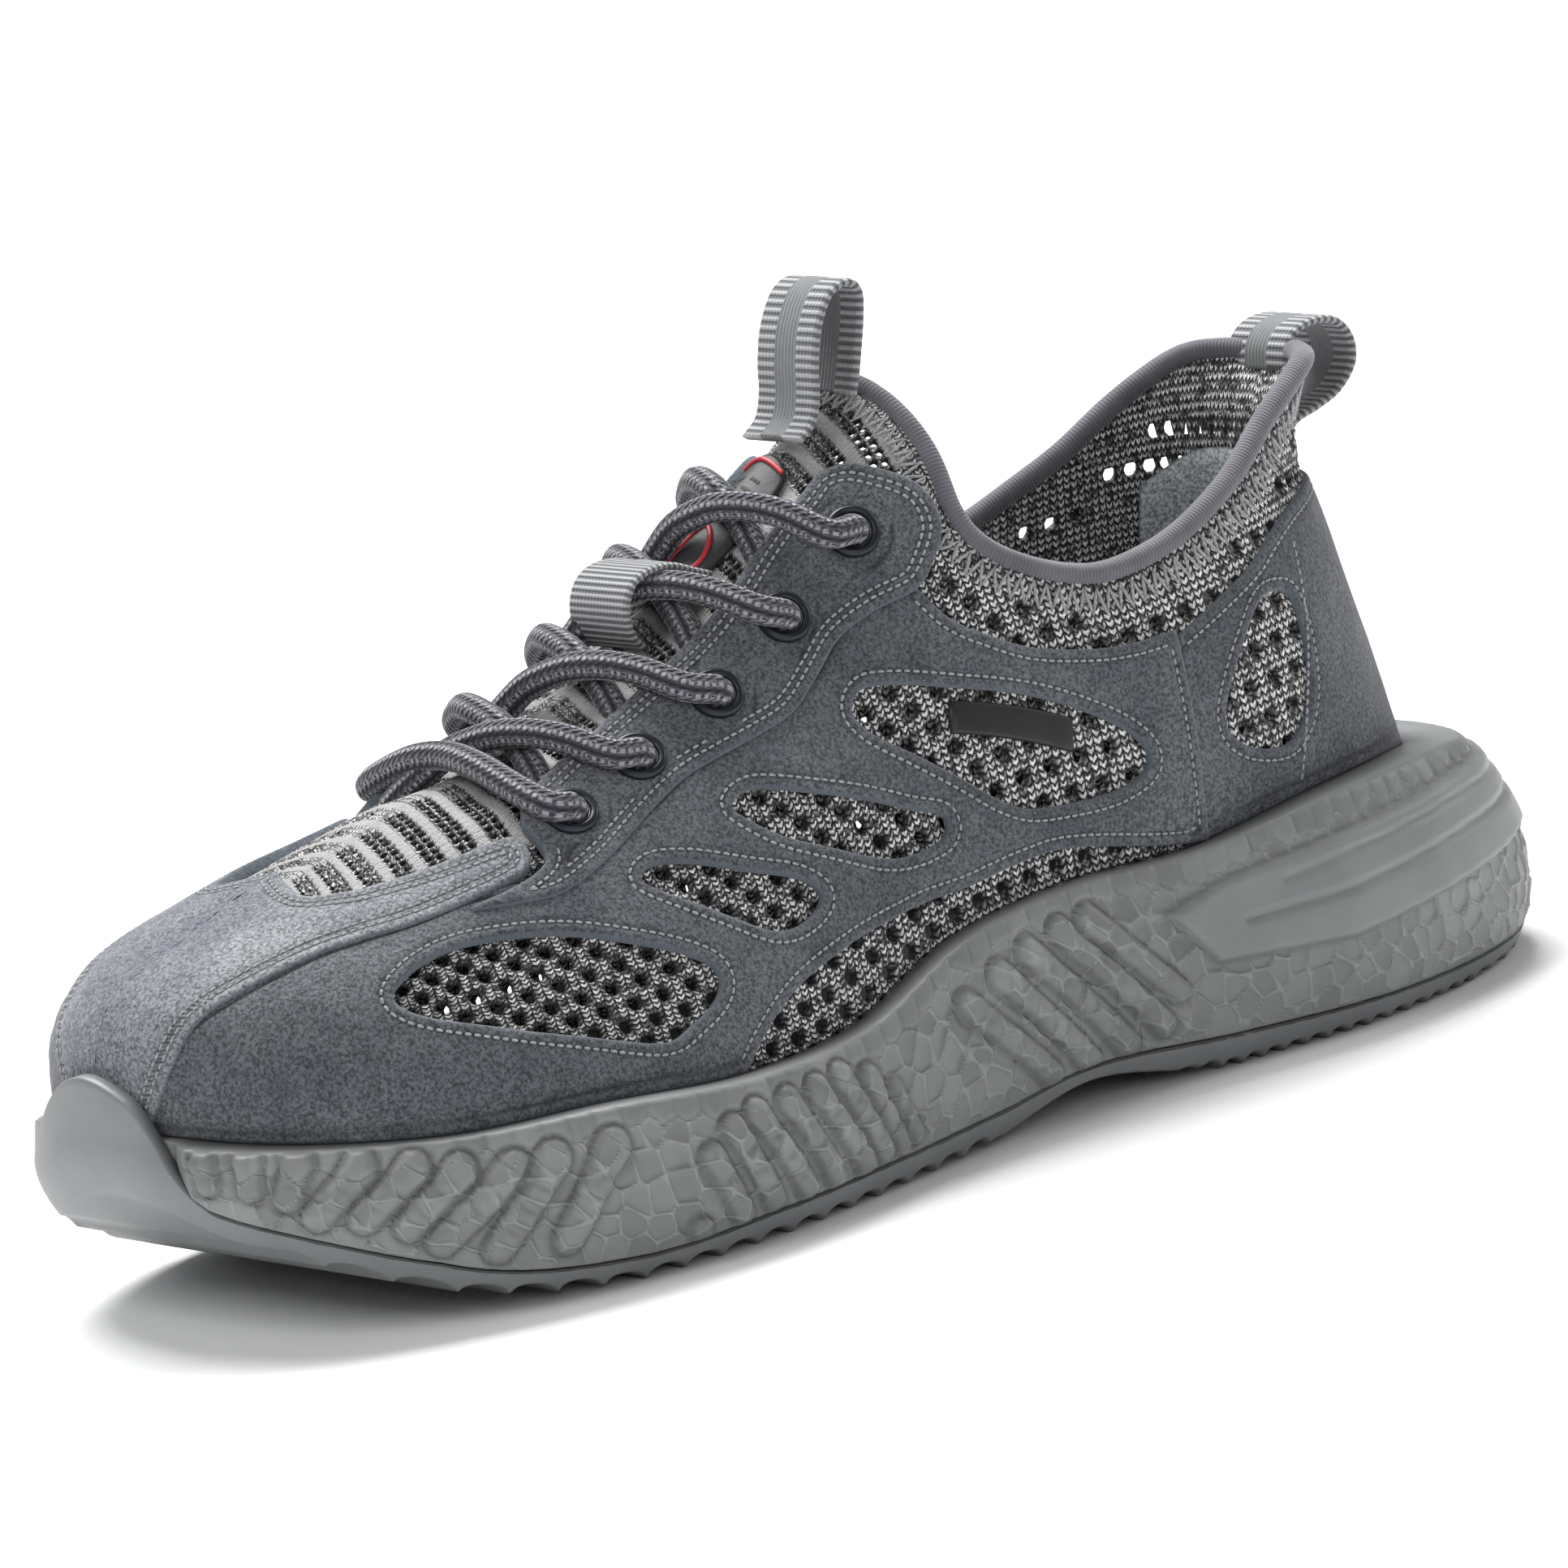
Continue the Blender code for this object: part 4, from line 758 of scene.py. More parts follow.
# The outsole's inner floor stands RUBBER_BASE above its ground edge. On the outer side, its wall is a band
# of TOE_BAND from section TOE_BAND_START, which turns up over TOE_TURN_LENGTH from section TOE_TURN.
RUBBER_BASE = 0.0042
TOE_BAND = 0.0052
TOE_BAND_START = 10.0
TOE_TURN = 11.25
TOE_TURN_LENGTH = 0.45


def rubber_base(at):
    """Height of the outsole's inner floor above the ground edge."""
    return ground_height(at) + np.minimum(RUBBER_BASE, part_height(at) - ground_height(at) - 0.0006)


def covered_top(at):
    """Height up to which the outsole's wall covers the midsole."""
    return np.minimum(part_height(at), on_ring(TOP, at) - 0.0030)


# Eyelets: how far the flange stands up, the barrel's wall and the flange's width
EYELET_FLANGE = 0.0009
EYELET_WALL = 0.0005
EYELET_FACE = 0.0098

LACE_RADIUS = LACE_DIAMETER / 2

# Strands of the first rows lie over the label, so they are lifted a little more
LABELLED_ROWS = 2
LABEL_LIFT = 0.0012

# A strand after it leaves its eyelet: sections ahead of the eyelet, share above the sole, near side (1) or
# far side (-1), and height of its middle above the last in millimetres
Strand = namedtuple("Strand", "ahead above near lift")
OVER_STRAND = [
    Strand(0.20, 0.630, 1, 3.9), Strand(0.37, 0.720, 1, 3.5), Strand(0.51, 0.800, 1, 2.8),
    Strand(0.66, 0.890, 1, 1.6), Strand(0.79, 0.970, 1, 0.3), Strand(0.86, 0.950, -1, -0.6),
    Strand(0.93, 0.880, -1, -1.6), Strand(0.99, 0.800, -1, -2.6), Strand(1.02, 0.740, -1, -3.4),
]
UNDER_STRAND = [
    Strand(0.12, 0.660, 1, 4.0), Strand(0.25, 0.760, 1, 3.2), Strand(0.38, 0.850, 1, 1.5),
    Strand(0.49, 0.950, 1, -0.4), Strand(0.54, 0.980, -1, -1.0), Strand(0.55, 0.900, -1, -2.3),
    Strand(0.57, 0.820, -1, -2.9), Strand(0.59, 0.760, -1, -2.8), Strand(0.61, 0.700, -1, -3.2),
]
BAR_STRAND = [
    Strand(0.14, 0.610, 1, 3.8), Strand(0.23, 0.690, 1, 2.8), Strand(0.30, 0.850, 1, 1.2),
    Strand(0.34, 0.999, 1, 0.2),
]

# How a strand leaves its eyelet: where it starts below the knit, how far it stands over the flange,
# and how far it leans back before and forward after
STRAND_START = 0.0025
STRAND_CLEAR = 0.0008
LEAN_BACK = 0.0004
LEAN_AHEAD = 0.0006


def strand_point(row, side, place):
    """World point of one row of a strand's table."""
    section = EYELETS[row][0] + place.ahead
    point, normal = place_on_last(section, place.above, side * place.near)
    return point + normal * (place.lift / 1000 + LABEL_LIFT * (row < LABELLED_ROWS))


def lace_route(row, side, table):
    """A strand's path: up out of an eyelet and along its table."""
    point, normal = place_on_last(*EYELETS[row], side)
    rise = OVERLAY_HIGH + RAISED + EYELET_FLANGE
    toward = strand_point(row, side, table[0]) - point
    toward = unit(toward - normal * np.dot(toward, normal))
    path = [point + normal * height - toward * LEAN_BACK for height in (KNIT_FACE - STRAND_START, 0.5 * rise)]
    path.append(point + normal * (rise + STRAND_CLEAR) + toward * LEAN_AHEAD)
    return path + [strand_point(row, side, place) for place in table]


class Look:
    """A node material under construction: small helpers that add and link nodes."""

    def __init__(self, name):
        self.material = bpy.data.materials.new(name)
        self.material.use_nodes = True
        self.tree = self.material.node_tree
        self.shader = self.tree.nodes["Principled BSDF"]

    def node(self, kind, **settings):
        made = self.tree.nodes.new(kind)
        for key, value in settings.items():
            setattr(made, key, value)
        return made

    def put(self, socket, value):
        if isinstance(value, bpy.types.NodeSocket):
            self.tree.links.new(value, socket)
        elif isinstance(value, tuple) and len(value) == 3 and socket.type == "RGBA":
            socket.default_value = (*value, 1)
        else:
            socket.default_value = value

    def math(self, operation, first, second=0.0, third=0.0):
        made = self.node("ShaderNodeMath", operation=operation)
        for socket, value in zip(made.inputs, (first, second, third)):
            self.put(socket, value)
        return made.outputs[0]

    def smooth(self, value, low, high):
        """0 below low, 1 above high and a smooth step between."""
        made = self.node("ShaderNodeMapRange", interpolation_type="SMOOTHSTEP")
        self.put(made.inputs["Value"], value)
        made.inputs["From Min"].default_value = low
        made.inputs["From Max"].default_value = high
        return made.outputs["Result"]

    def chart(self):
        """The two chart lengths of the surface, in metres."""
        split = self.node("ShaderNodeSeparateXYZ")
        self.put(split.inputs[0], self.node("ShaderNodeTexCoord").outputs["UV"])
        return split.outputs["X"], split.outputs["Y"]

    def value(self, name):
        return self.node("ShaderNodeAttribute", attribute_name=name).outputs["Fac"]

    def noise(self, scale, detail=2.0, rough=0.5):
        """Noise over the object's coordinates, with scale features a metre."""
        made = self.node("ShaderNodeTexNoise")
        self.put(made.inputs["Vector"], self.node("ShaderNodeTexCoord").outputs["Object"])
        made.inputs["Scale"].default_value = scale
        made.inputs["Detail"].default_value = detail
        made.inputs["Roughness"].default_value = rough
        return made.outputs["Fac"]

    def mix(self, share, first, second):
        made = self.node("ShaderNodeMix", data_type="RGBA")
        self.put(made.inputs["Factor"], share)
        colors = [socket for socket in made.inputs if socket.type == "RGBA"]
        self.put(colors[0], first)
        self.put(colors[1], second)
        return [socket for socket in made.outputs if socket.type == "RGBA"][0]

    def tint(self, color, share, amount, other):
        """The color mixed with another one by amount times share."""
        return self.mix(self.math("MULTIPLY", share, amount), color, other)

    def bump(self, height, depth, before=None):
        """A bump whose height of 1 stands depth metres proud."""
        made = self.node("ShaderNodeBump")
        made.inputs["Distance"].default_value = depth
        made.inputs["Strength"].default_value = 1.0
        self.put(made.inputs["Height"], height)
        if before is not None:
            self.put(made.inputs["Normal"], before)
        return made.outputs["Normal"]

    def finish(self, color, roughness, normal=None, **constants):
        self.put(self.shader.inputs["Base Color"], color)
        self.put(self.shader.inputs["Roughness"], roughness)
        if normal is not None:
            self.put(self.shader.inputs["Normal"], normal)
        for key, value in constants.items():
            self.shader.inputs[key.replace("_", " ")].default_value = value
        return self.material


def shade(color, factor):
    """A color made darker or paler."""
    return tuple(factor * channel for channel in color)


def wave(look, value, pitch):
    """A rounded ridge wave between 0 and 1, one ridge for each pitch."""
    turned = look.math("MULTIPLY", value, 2 * pi / pitch)
    return look.math("MULTIPLY_ADD", look.math("COSINE", turned), 0.5, 0.5)


def suede_look(name, dark, light, patch, patchiness):
    """Brushed split leather: a short matte nap, cloudy patches, a paler cut edge and painted shade in the
    stitch valleys.
    """
    look = Look(name)
    cloud = look.smooth(look.noise(30.0, 4.0, 0.62), 0.36, 0.66)
    brushed = look.smooth(look.noise(110.0, 3.0, 0.65), 0.30, 0.72)
    nap = look.noise(1500.0, 3.0, 0.75)
    color = look.mix(cloud, dark, light)
    color = look.tint(color, brushed, 0.35, patch)
    worn = look.smooth(look.noise(15.0), 0.48, 0.68)
    color = look.tint(color, worn, patchiness, patch)
    grains = look.smooth(nap, 0.34, 0.66)
    fleck = look.math("MULTIPLY_ADD", grains, 1.10, 0.43)
    shaded = look.node("ShaderNodeVectorMath", operation="SCALE")
    look.put(shaded.inputs[0], color)
    look.put(shaded.inputs["Scale"], fleck)
    edge = look.math("MULTIPLY", look.smooth(look.value("edge"), 0.45, 0.95), 0.75)
    color = look.mix(edge, shaded.outputs[0], (0.105, 0.128, 0.148))
    # Painted shade: the stitch valleys darken towards near black where the groove value is 1
    color = look.tint(color, look.value("groove"), 0.75, (0.020, 0.021, 0.024))
    normal = look.bump(nap, 0.00022)
    normal = look.bump(look.noise(420.0, 3.0, 0.6), 0.00035, normal)
    return look.finish(color, 0.93, normal, Sheen_Weight=0.25, Sheen_Roughness=0.45, Specular_IOR_Level=0.18)


# The bands across the toe window: pitch along the shoe and share of it that is plain
BAND_PITCH = 0.0058
PLAIN_BAND = 0.44

# The knit's stitches: half the width of a column and the height of a row
WALE = 0.00075
COURSE = 0.00115


def knit_look(name, light, dark, floor):
    """Two-tone knit: slanted stitches in pale and dark yarn, with painted shade in the floor colour between
    the stitches and around the holes.
    """
    look = Look(name)
    along, over = look.chart()
    wale = look.math("PINGPONG", along, WALE)
    slant = look.math("MULTIPLY_ADD", wale, 0.9, over)
    course = look.math("FRACT", look.math("DIVIDE", slant, COURSE))
    loop = look.math("SUBTRACT", 1.0, look.math("ABSOLUTE", look.math("MULTIPLY_ADD", course, 2.0, -1.0)))
    leg = look.math("DIVIDE", wale, WALE)
    gap = look.smooth(leg, 0.03, 0.30)
    body = look.math("MULTIPLY", look.smooth(loop, 0.10, 0.62), gap)
    yarn = look.smooth(look.noise(620.0, 2.0, 0.6), 0.38, 0.50)
    fine = look.smooth(look.noise(1500.0, 1.0, 0.5), 0.30, 0.60)
    color = look.mix(yarn, dark, light)
    # Painted shade: the gaps between the stitches take the near-black floor colour
    color = look.mix(look.math("MULTIPLY", body, look.math("MULTIPLY_ADD", fine, 0.4, 0.6)), floor, color)
    # Painted shade: the holes' rims darken towards the floor colour
    pit = look.value("pit")
    color = look.tint(color, pit, 0.85, floor)
    phase = look.math("FRACT", look.math("DIVIDE", along, BAND_PITCH))
    ribs = wave(look, over, 0.0011)
    ends = look.smooth(phase, 0.0, 0.06), look.smooth(phase, PLAIN_BAND, PLAIN_BAND - 0.06)
    plain = look.math("MULTIPLY", *ends)
    plain = look.math("MULTIPLY", plain, look.value("throat"))
    banded = look.mix(look.math("MULTIPLY", ribs, 0.45), shade(light, 0.42), dark)
    color = look.mix(plain, color, banded)
    color = look.tint(color, look.value("throat"), 0.26, shade(light, 0.6))
    normal = look.bump(look.math("MAXIMUM", body, look.math("MULTIPLY", plain, 0.9)), 0.0005)
    normal = look.bump(fine, 0.00014, normal)
    return look.finish(color, 0.92, normal, Sheen_Weight=0.2, Specular_IOR_Level=0.15)


def rubber_look(name, color_low, color_high, roughness):
    """Moulded rubber: nearly even, with a faint bloom and a very fine grain, painted shade in its creases and
    on its cells' facets, and a painted highlight on its ridges.
    """
    look = Look(name)
    bloom = look.smooth(look.noise(55.0, 3.0, 0.55), 0.35, 0.68)
    crevice_shade = look.value("crevice_shade")
    color = look.mix(bloom, color_low, color_high)
    ridge = look.smooth(look.value("ridge"), 0.25, 0.95)
    # Painted shade: each cell's facet darkens by its own amount, standing in for its tilt to the light
    color = look.tint(color, look.value("tone"), 0.42, shade(color_low, 0.40))
    # Painted highlight: the cells' raised ridges turn paler than the rubber
    color = look.tint(color, ridge, 0.45, shade(color_high, 1.50))
    # Painted shade: creases and the cup's inside darken where the crevice value is 1
    color = look.tint(color, crevice_shade, 0.55, shade(color_low, 0.45))
    normal = look.bump(look.noise(900.0, 2.0, 0.6), 0.00006)
    normal = look.bump(ridge, 0.00025, normal)
    coat = {"Coat_Weight": 0.06, "Coat_Roughness": 0.3}
    return look.finish(color, roughness, normal, Specular_IOR_Level=0.42, **coat)


def thread_look(name, color):
    """Twisted thread."""
    look = Look(name)
    twist = look.noise(2600.0, 1.0, 0.5)
    tinted = look.mix(look.smooth(twist, 0.35, 0.65), shade(color, 0.62), color)
    return look.finish(tinted, 0.75, look.bump(twist, 0.0001), Sheen_Weight=0.3, Specular_IOR_Level=0.3)


def lace_look():
    """A braided round cord: crossed carriers, most of them dark, with pale ones between, and painted shade in
    the valleys between carriers and crossings.
    """
    look = Look("lace_cord")
    around_cord, along_cord = look.chart()
    turn = look.math("MULTIPLY", around_cord, 2 * pi * 6)
    run = look.math("MULTIPLY", along_cord, 2 * pi / 0.0032)
    left = look.math("COSINE", look.math("ADD", turn, run))
    right = look.math("COSINE", look.math("SUBTRACT", turn, run))
    fine_left = look.math("COSINE", look.math("MULTIPLY", look.math("ADD", turn, run), 2.0))
    carrier = look.math("COSINE", look.math("MULTIPLY", around_cord, 2 * pi * 7))
    ticks = look.math("COSINE", look.math("MULTIPLY", along_cord, 2 * pi / 0.0011))
    lumps = look.math("MULTIPLY_ADD", look.math("MULTIPLY", left, right), 0.5, 0.5)
    pale = look.math("MULTIPLY", look.smooth(fine_left, 0.15, 0.75), look.smooth(right, -0.2, 0.6))
    flecked = look.math("MULTIPLY", pale, look.smooth(look.noise(1500.0, 1.0, 0.5), 0.30, 0.55))
    rows = look.math("MULTIPLY", look.smooth(carrier, 0.10, 0.75), look.smooth(ticks, -0.75, 0.15))
    flecked = look.math("MAXIMUM", look.math("MULTIPLY", flecked, 0.55), rows)
    color = look.mix(flecked, (0.078, 0.074, 0.094), (0.330, 0.318, 0.350))
    # Painted shade: the valleys between the carriers and between the crossings turn near black
    color = look.mix(look.smooth(carrier, -0.45, -0.95), color, (0.022, 0.021, 0.028))
    color = look.mix(look.smooth(lumps, 0.30, 0.05), color, (0.030, 0.030, 0.038))
    normal = look.bump(look.math("MULTIPLY_ADD", carrier, 0.5, lumps), 0.00035)
    normal = look.bump(fine_left, 0.00010, normal)
    return look.finish(color, 0.78, normal, Sheen_Weight=0.35, Sheen_Roughness=0.4, Specular_IOR_Level=0.25)


def webbing_look(name, pitch, striped):
    """Ribbed webbing: cross ribs in pale and grey yarn, with a plain strip along its middle if striped."""
    look = Look(name)
    across, along = look.chart()
    rib = wave(look, along, pitch)
    strands = wave(look, across, 0.0009)
    color = look.mix(look.smooth(rib, 0.25, 0.75), (0.105, 0.110, 0.118), (0.420, 0.425, 0.435))
    height = rib
    if striped:
        strip = look.smooth(look.math("ABSOLUTE", across), 0.0031, 0.0028)
        plain = look.mix(look.noise(700.0, 2.0, 0.6), (0.130, 0.138, 0.142), (0.200, 0.208, 0.212))
        color = look.mix(strip, color, plain)
        height = look.math("MULTIPLY", rib, look.math("SUBTRACT", 1.0, strip))
    color = look.tint(color, strands, 0.25, (0.16, 0.165, 0.17))
    normal = look.bump(height, 0.00035)
    normal = look.bump(strands, 0.00010, normal)
    return look.finish(color, 0.80, normal, Sheen_Weight=0.2, Specular_IOR_Level=0.25)


def binding_look():
    """Folded stretch tape with very fine cross ribs."""
    look = Look("binding_tape")
    rib = wave(look, look.chart()[1], 0.0007)
    tone = look.smooth(look.noise(160.0, 2.0, 0.5), 0.3, 0.7)
    color = look.mix(tone, (0.098, 0.093, 0.110), (0.135, 0.129, 0.148))
    color = look.tint(color, rib, 0.3, (0.17, 0.163, 0.185))
    return look.finish(color, 0.82, look.bump(rib, 0.00010), Sheen_Weight=0.35, Specular_IOR_Level=0.25)


def plain_look(name, color, roughness, metallic=0.0, grain=0.00004):
    """An even material with a fine grain."""
    look = Look(name)
    tone = look.mix(look.smooth(look.noise(180.0, 2.0, 0.5), 0.3, 0.7), shade(color, 0.85), color)
    normal = look.bump(look.noise(1400.0, 2.0, 0.6), grain)
    return look.finish(tone, roughness, normal, Metallic=metallic)


SUEDE = suede_look("suede", (0.070, 0.075, 0.088), (0.100, 0.106, 0.120), (0.150, 0.157, 0.170), 0.35)
TOE_SUEDE = suede_look("toe_suede", (0.120, 0.130, 0.155), (0.190, 0.200, 0.222), (0.275, 0.285, 0.300), 0.8)
# The third colour is painted shade for the gaps between the stitches and the holes' rims
KNIT = knit_look("knit", (0.860, 0.845, 0.840), (0.130, 0.128, 0.132), (0.012, 0.012, 0.014))
MIDSOLE_RUBBER = rubber_look("midsole_foam", (0.200, 0.207, 0.210), (0.232, 0.239, 0.241), 0.46)
OUTSOLE_RUBBER = rubber_look("sole_rubber", (0.165, 0.172, 0.177), (0.190, 0.197, 0.202), 0.50)
STITCH = thread_look("stitch_thread", (0.380, 0.390, 0.400))
ZIGZAG = thread_look("zigzag_thread", (0.410, 0.405, 0.425))
LACE = lace_look()
LOOP_WEBBING = webbing_look("loop_webbing", 0.00155, True)
KEEPER_WEBBING = webbing_look("keeper_webbing", 0.00115, False)
BINDING = binding_look()
EYELET = plain_look("eyelet_metal", (0.014, 0.018, 0.026), 0.32, 0.35, 0.00001)
# A painted highlight: the pale metal ring at the eyelet's bore stands for the shine on its rolled edge
EYELET_HIGHLIGHT = plain_look("eyelet_highlight", (0.42, 0.46, 0.50), 0.25, 0.9, 0.00001)
PIT_BLACK = plain_look("label_pit", (0.008, 0.008, 0.009), 0.7)
LABEL_RUBBER = plain_look("label_rubber", (0.030, 0.031, 0.034), 0.55)
LABEL_TRIM = plain_look("label_trim", (0.560, 0.045, 0.060), 0.45)
TAG_RUBBER = plain_look("tag_rubber", (0.010, 0.010, 0.011), 0.50)
LINING = suede_look("lining_suede", (0.330, 0.365, 0.380), (0.430, 0.465, 0.480), (0.48, 0.51, 0.52), 0.3)
INSOLE_CLOTH = plain_look("insole_cloth", (0.085, 0.088, 0.095), 0.95, 0.0, 0.0002)

# Suede overlays: a free edge that rolls down, then a shallow valley where the stitches lie
EDGE_PROFILE = [
    (0.0, -0.00045), (0.0004, -0.00012), (0.0009, 0.0), (0.0015, -0.00004), (0.0021, -0.00030),
    (0.0027, -0.00004), (0.0035, -0.00026), (0.0042, 0.0),
]
PANEL_INSETS = [distance for distance, _ in EDGE_PROFILE[1:]]
OUTLINE_PITCH = 0.0016
PANEL_PITCH = 0.0034
STITCH_INSET = 0.0021
SECOND_INSET = 0.0035
STITCH_PITCH = 0.00165
STITCH_LENGTH = 0.00118
STITCH_RADIUS = 0.00028
STITCH_ARCH = 0.35
NEEDLE_WIDTH = 0.00035

# The toe cap and the eyestay lie over the quarter and the heel counter lies under it
RAISED = 0.0007
TUCKED = 0.0006

# Width of the pale cut edge, and the suede's ripple, which fades in over RIPPLE_FADE
CUT_EDGE = 0.0009
RIPPLE = 0.00012
RIPPLE_FADE = 0.006

# A lace hole's radius, the distance around it that has no valley and no stitches,
# and a distance from the edge that lies beyond every valley
LACE_HOLE = 0.0034
HOLE_CLEARANCE = 0.0075
BEYOND_VALLEYS = 0.006


def profile_height(distance, high, rows):
    """Height of a panel's skin at a distance from its free edge."""
    lengths, drops = zip(*EDGE_PROFILE)
    drops = np.array(drops)
    if rows < 2:
        drops[-2] = 0.0
    return high + np.interp(distance, lengths, drops)


def needle_row_shade(distance, rows):
    """1 where a row of stitches lies: the mask of the painted shade in its valley."""
    result = peak(distance - STITCH_INSET, NEEDLE_WIDTH)
    if rows > 1:
        result = np.maximum(result, peak(distance - SECOND_INSET, NEEDLE_WIDTH))
    return result


def chart_circle(section, above, radius):
    """A circle on the last, as section numbers and shares above the sole."""
    turns = turns_of(20)
    centre = np.array([[section, above]])
    stretch = chart_stretch(centre, -1)[0]
    root = np.linalg.cholesky(np.linalg.inv(stretch.T @ stretch))
    return centre + np.column_stack([np.cos(turns), np.sin(turns)]) @ root.T * radius


LACE_HOLES = [chart_circle(section, above, LACE_HOLE) for section, above in EYELETS]


def away_from_holes(places):
    """Which chart places lie well away from the lace holes."""
    gaps = [np.hypot(*((places - hole.mean(axis=0)) * CHART).T) for hole in LACE_HOLES]
    return np.min(gaps, axis=0) > HOLE_CLEARANCE


def lay_panel(places, triangles, distance, sides, low, high, rows):
    """World points and faces of a panel's outer skin and its cut edge, for each of its sides."""
    points, faces, charts, edges, needle_row_shades = [], [], [], [], []
    pairs = wall_edges(places, triangles, sides)
    rim_ids = sorted({index for pair in pairs for index in pair})
    foot_of = {index: len(places) + i for i, index in enumerate(rim_ids)}
    free = np.where(away_from_holes(places), distance, np.maximum(distance, BEYOND_VALLEYS))
    chart = places * CHART
    for side in sides:
        start = sum(len(group) for group in points)
        ripple = RIPPLE * np.sin(places[:, 0] * 9.0 + side) * np.cos(places[:, 1] * 31.0)
        height = profile_height(free, high, rows) + ripple * np.clip(distance / RIPPLE_FADE, 0, 1)
        points += [on_last(places, side, height), on_last(places, side, low)[rim_ids]]
        faces += skin_faces(triangles, side, start) + wall_faces(pairs, foot_of, side, start)
        charts += [chart, chart[rim_ids]]
        edges += [np.clip(1 - distance / CUT_EDGE, 0, 1), np.ones(len(rim_ids))]
        # Painted shade along the stitch rows, none on the cut edge
        needle_row_shades += [needle_row_shade(free, rows), np.zeros(len(rim_ids))]
    values = {"edge": np.concatenate(edges), "groove": np.concatenate(needle_row_shades)}
    return np.vstack(points), faces, np.vstack(charts), values


def resample_all(outlines, step):
    """The outlines as loops of even steps; those that are arrays are even already."""
    return [outline if isinstance(outline, np.ndarray) else resample(outline, step) for outline in outlines]


def add_panel(name, outline, holes, low, high, look, sides, rows):
    """A suede panel with holes on one side or on both."""
    rim = resample(outline, OUTLINE_PITCH)
    mesh = panel_mesh(rim, resample_all(holes, OUTLINE_PITCH), PANEL_INSETS, PANEL_PITCH)
    points, faces, charts, values = lay_panel(*mesh, sides, low, high, rows)
    made = new_object(f"{name}_panel", points, faces, look, charts, values)
    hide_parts(name)


# A stitch's outline: places along it from -0.5 to 0.5 and its radius there, both times the stitch's own
STITCH_OUTLINE = [(-0.50, 0.15), (-0.44, 0.75), (0.0, 1.0), (0.44, 0.75), (0.50, 0.15)]
STITCH_CORNERS = 5


def unit_stitch():
    """A stitch of length and radius 1: its points along X and its faces."""
    rings, count = len(STITCH_OUTLINE), STITCH_CORNERS
    circle = [(np.cos(turn), np.sin(turn)) for turn in turns_of(count)]
    points = [(x, radius * y, radius * z) for x, radius in STITCH_OUTLINE for y, z in circle]
    faces = []
    for index in range(rings - 1):
        faces += ring_faces(count, index * count, (index + 1) * count)
    faces += [range(count)[::-1], range((rings - 1) * count, rings * count)]
    return np.array(points), faces


UNIT_STITCH, STITCH_FACES = unit_stitch()


def stitch_run(world, normals, points, faces):
    """Stitches laid end to end along world points; they are added to points and faces."""
    run = length_along(world)
    count = int(run[-1] / STITCH_PITCH)
    if count < 2:
        return
    spots = (np.arange(count) + 0.5) * run[-1] / count
    shifts = (-STITCH_LENGTH / 2, 0, STITCH_LENGTH / 2)
    behind, centres, ahead = (read_along(world, run, spots + shift) for shift in shifts)
    along = unit(ahead - behind)
    across = unit(np.cross(read_along(normals, run, spots), along))
    lift = np.cross(along, across)
    arch = -STITCH_ARCH * STITCH_RADIUS * (2 * UNIT_STITCH[:, 0]) ** 2
    for centre, x, y, z in zip(centres, along, across, lift):
        start = len(points) * len(UNIT_STITCH)
        placed = centre + np.outer(UNIT_STITCH[:, 0] * STITCH_LENGTH, x)
        placed = placed + np.outer(UNIT_STITCH[:, 1] * STITCH_RADIUS, y)
        points.append(placed + np.outer(UNIT_STITCH[:, 2] * STITCH_RADIUS + arch, z))
        faces += [tuple(int(i) + start for i in face) for face in STITCH_FACES]


def runs_of(keep):
    """Index runs of the kept places of a closed loop."""
    if keep.all():
        return [np.append(np.arange(len(keep)), 0)]
    order = np.roll(np.arange(len(keep)), -int(np.argmin(keep)))
    breaks = np.flatnonzero(np.diff(keep[order].astype(int))) + 1
    return [run for run in np.split(order, breaks) if keep[run[0]] and len(run) > 3]


# Stitches follow loops of STITCH_STEP, keep STITCH_SHARE of their inset and stay above STITCH_START
STITCH_STEP = 0.0011
STITCH_SHARE = 0.90
STITCH_START = SOLE_EDGE + 0.003


def add_stitches(name, outline, holes, sides, high, rows, allowed=None):
    """Rows of stitches that follow the free edges of a panel."""
    points, faces = [], []
    loops = resample_all([outline] + holes, STITCH_STEP)
    edge = real_edge_of(loops)
    for side in sides:
        edge_world = on_last(edge, side, 0)
        for index, loop in enumerate(loops):
            for inset, depth in rows:
                moved = inset_loop(loop, inset, side, inward=index == 0)
                moved[:, 1] = np.minimum(moved[:, 1], 1 - 2 * SEAM)
                keep = ~on_seam(loop) & (loop[:, 1] > STITCH_START)
                keep &= nearest(on_last(moved, side, 0), edge_world) > STITCH_SHARE * inset
                if allowed is not None:
                    keep &= allowed(moved)
                world = on_last(moved, side, high - depth)
                normals = normals_on_last(moved, side)
                for run in runs_of(keep):
                    stitch_run(world[run], normals[run], points, faces)
    new_object(name, np.vstack(points), faces, STITCH, merge=False)


QUARTER_WINDOWS = [FOREFOOT_WINDOW, WAIST_WINDOW, ARCH_WINDOW, ANKLE_WINDOW]
SINGLE_ROW = [(STITCH_INSET, 0.00010)]
DOUBLE_ROW = [(STITCH_INSET, 0.00010), (SECOND_INSET, 0.00008)]

# The heel counter's vertical seam
COUNTER_SEAM = [(2.45, 0.290), (2.60, 0.195), (2.82, 0.105), (3.04, 0.012)]


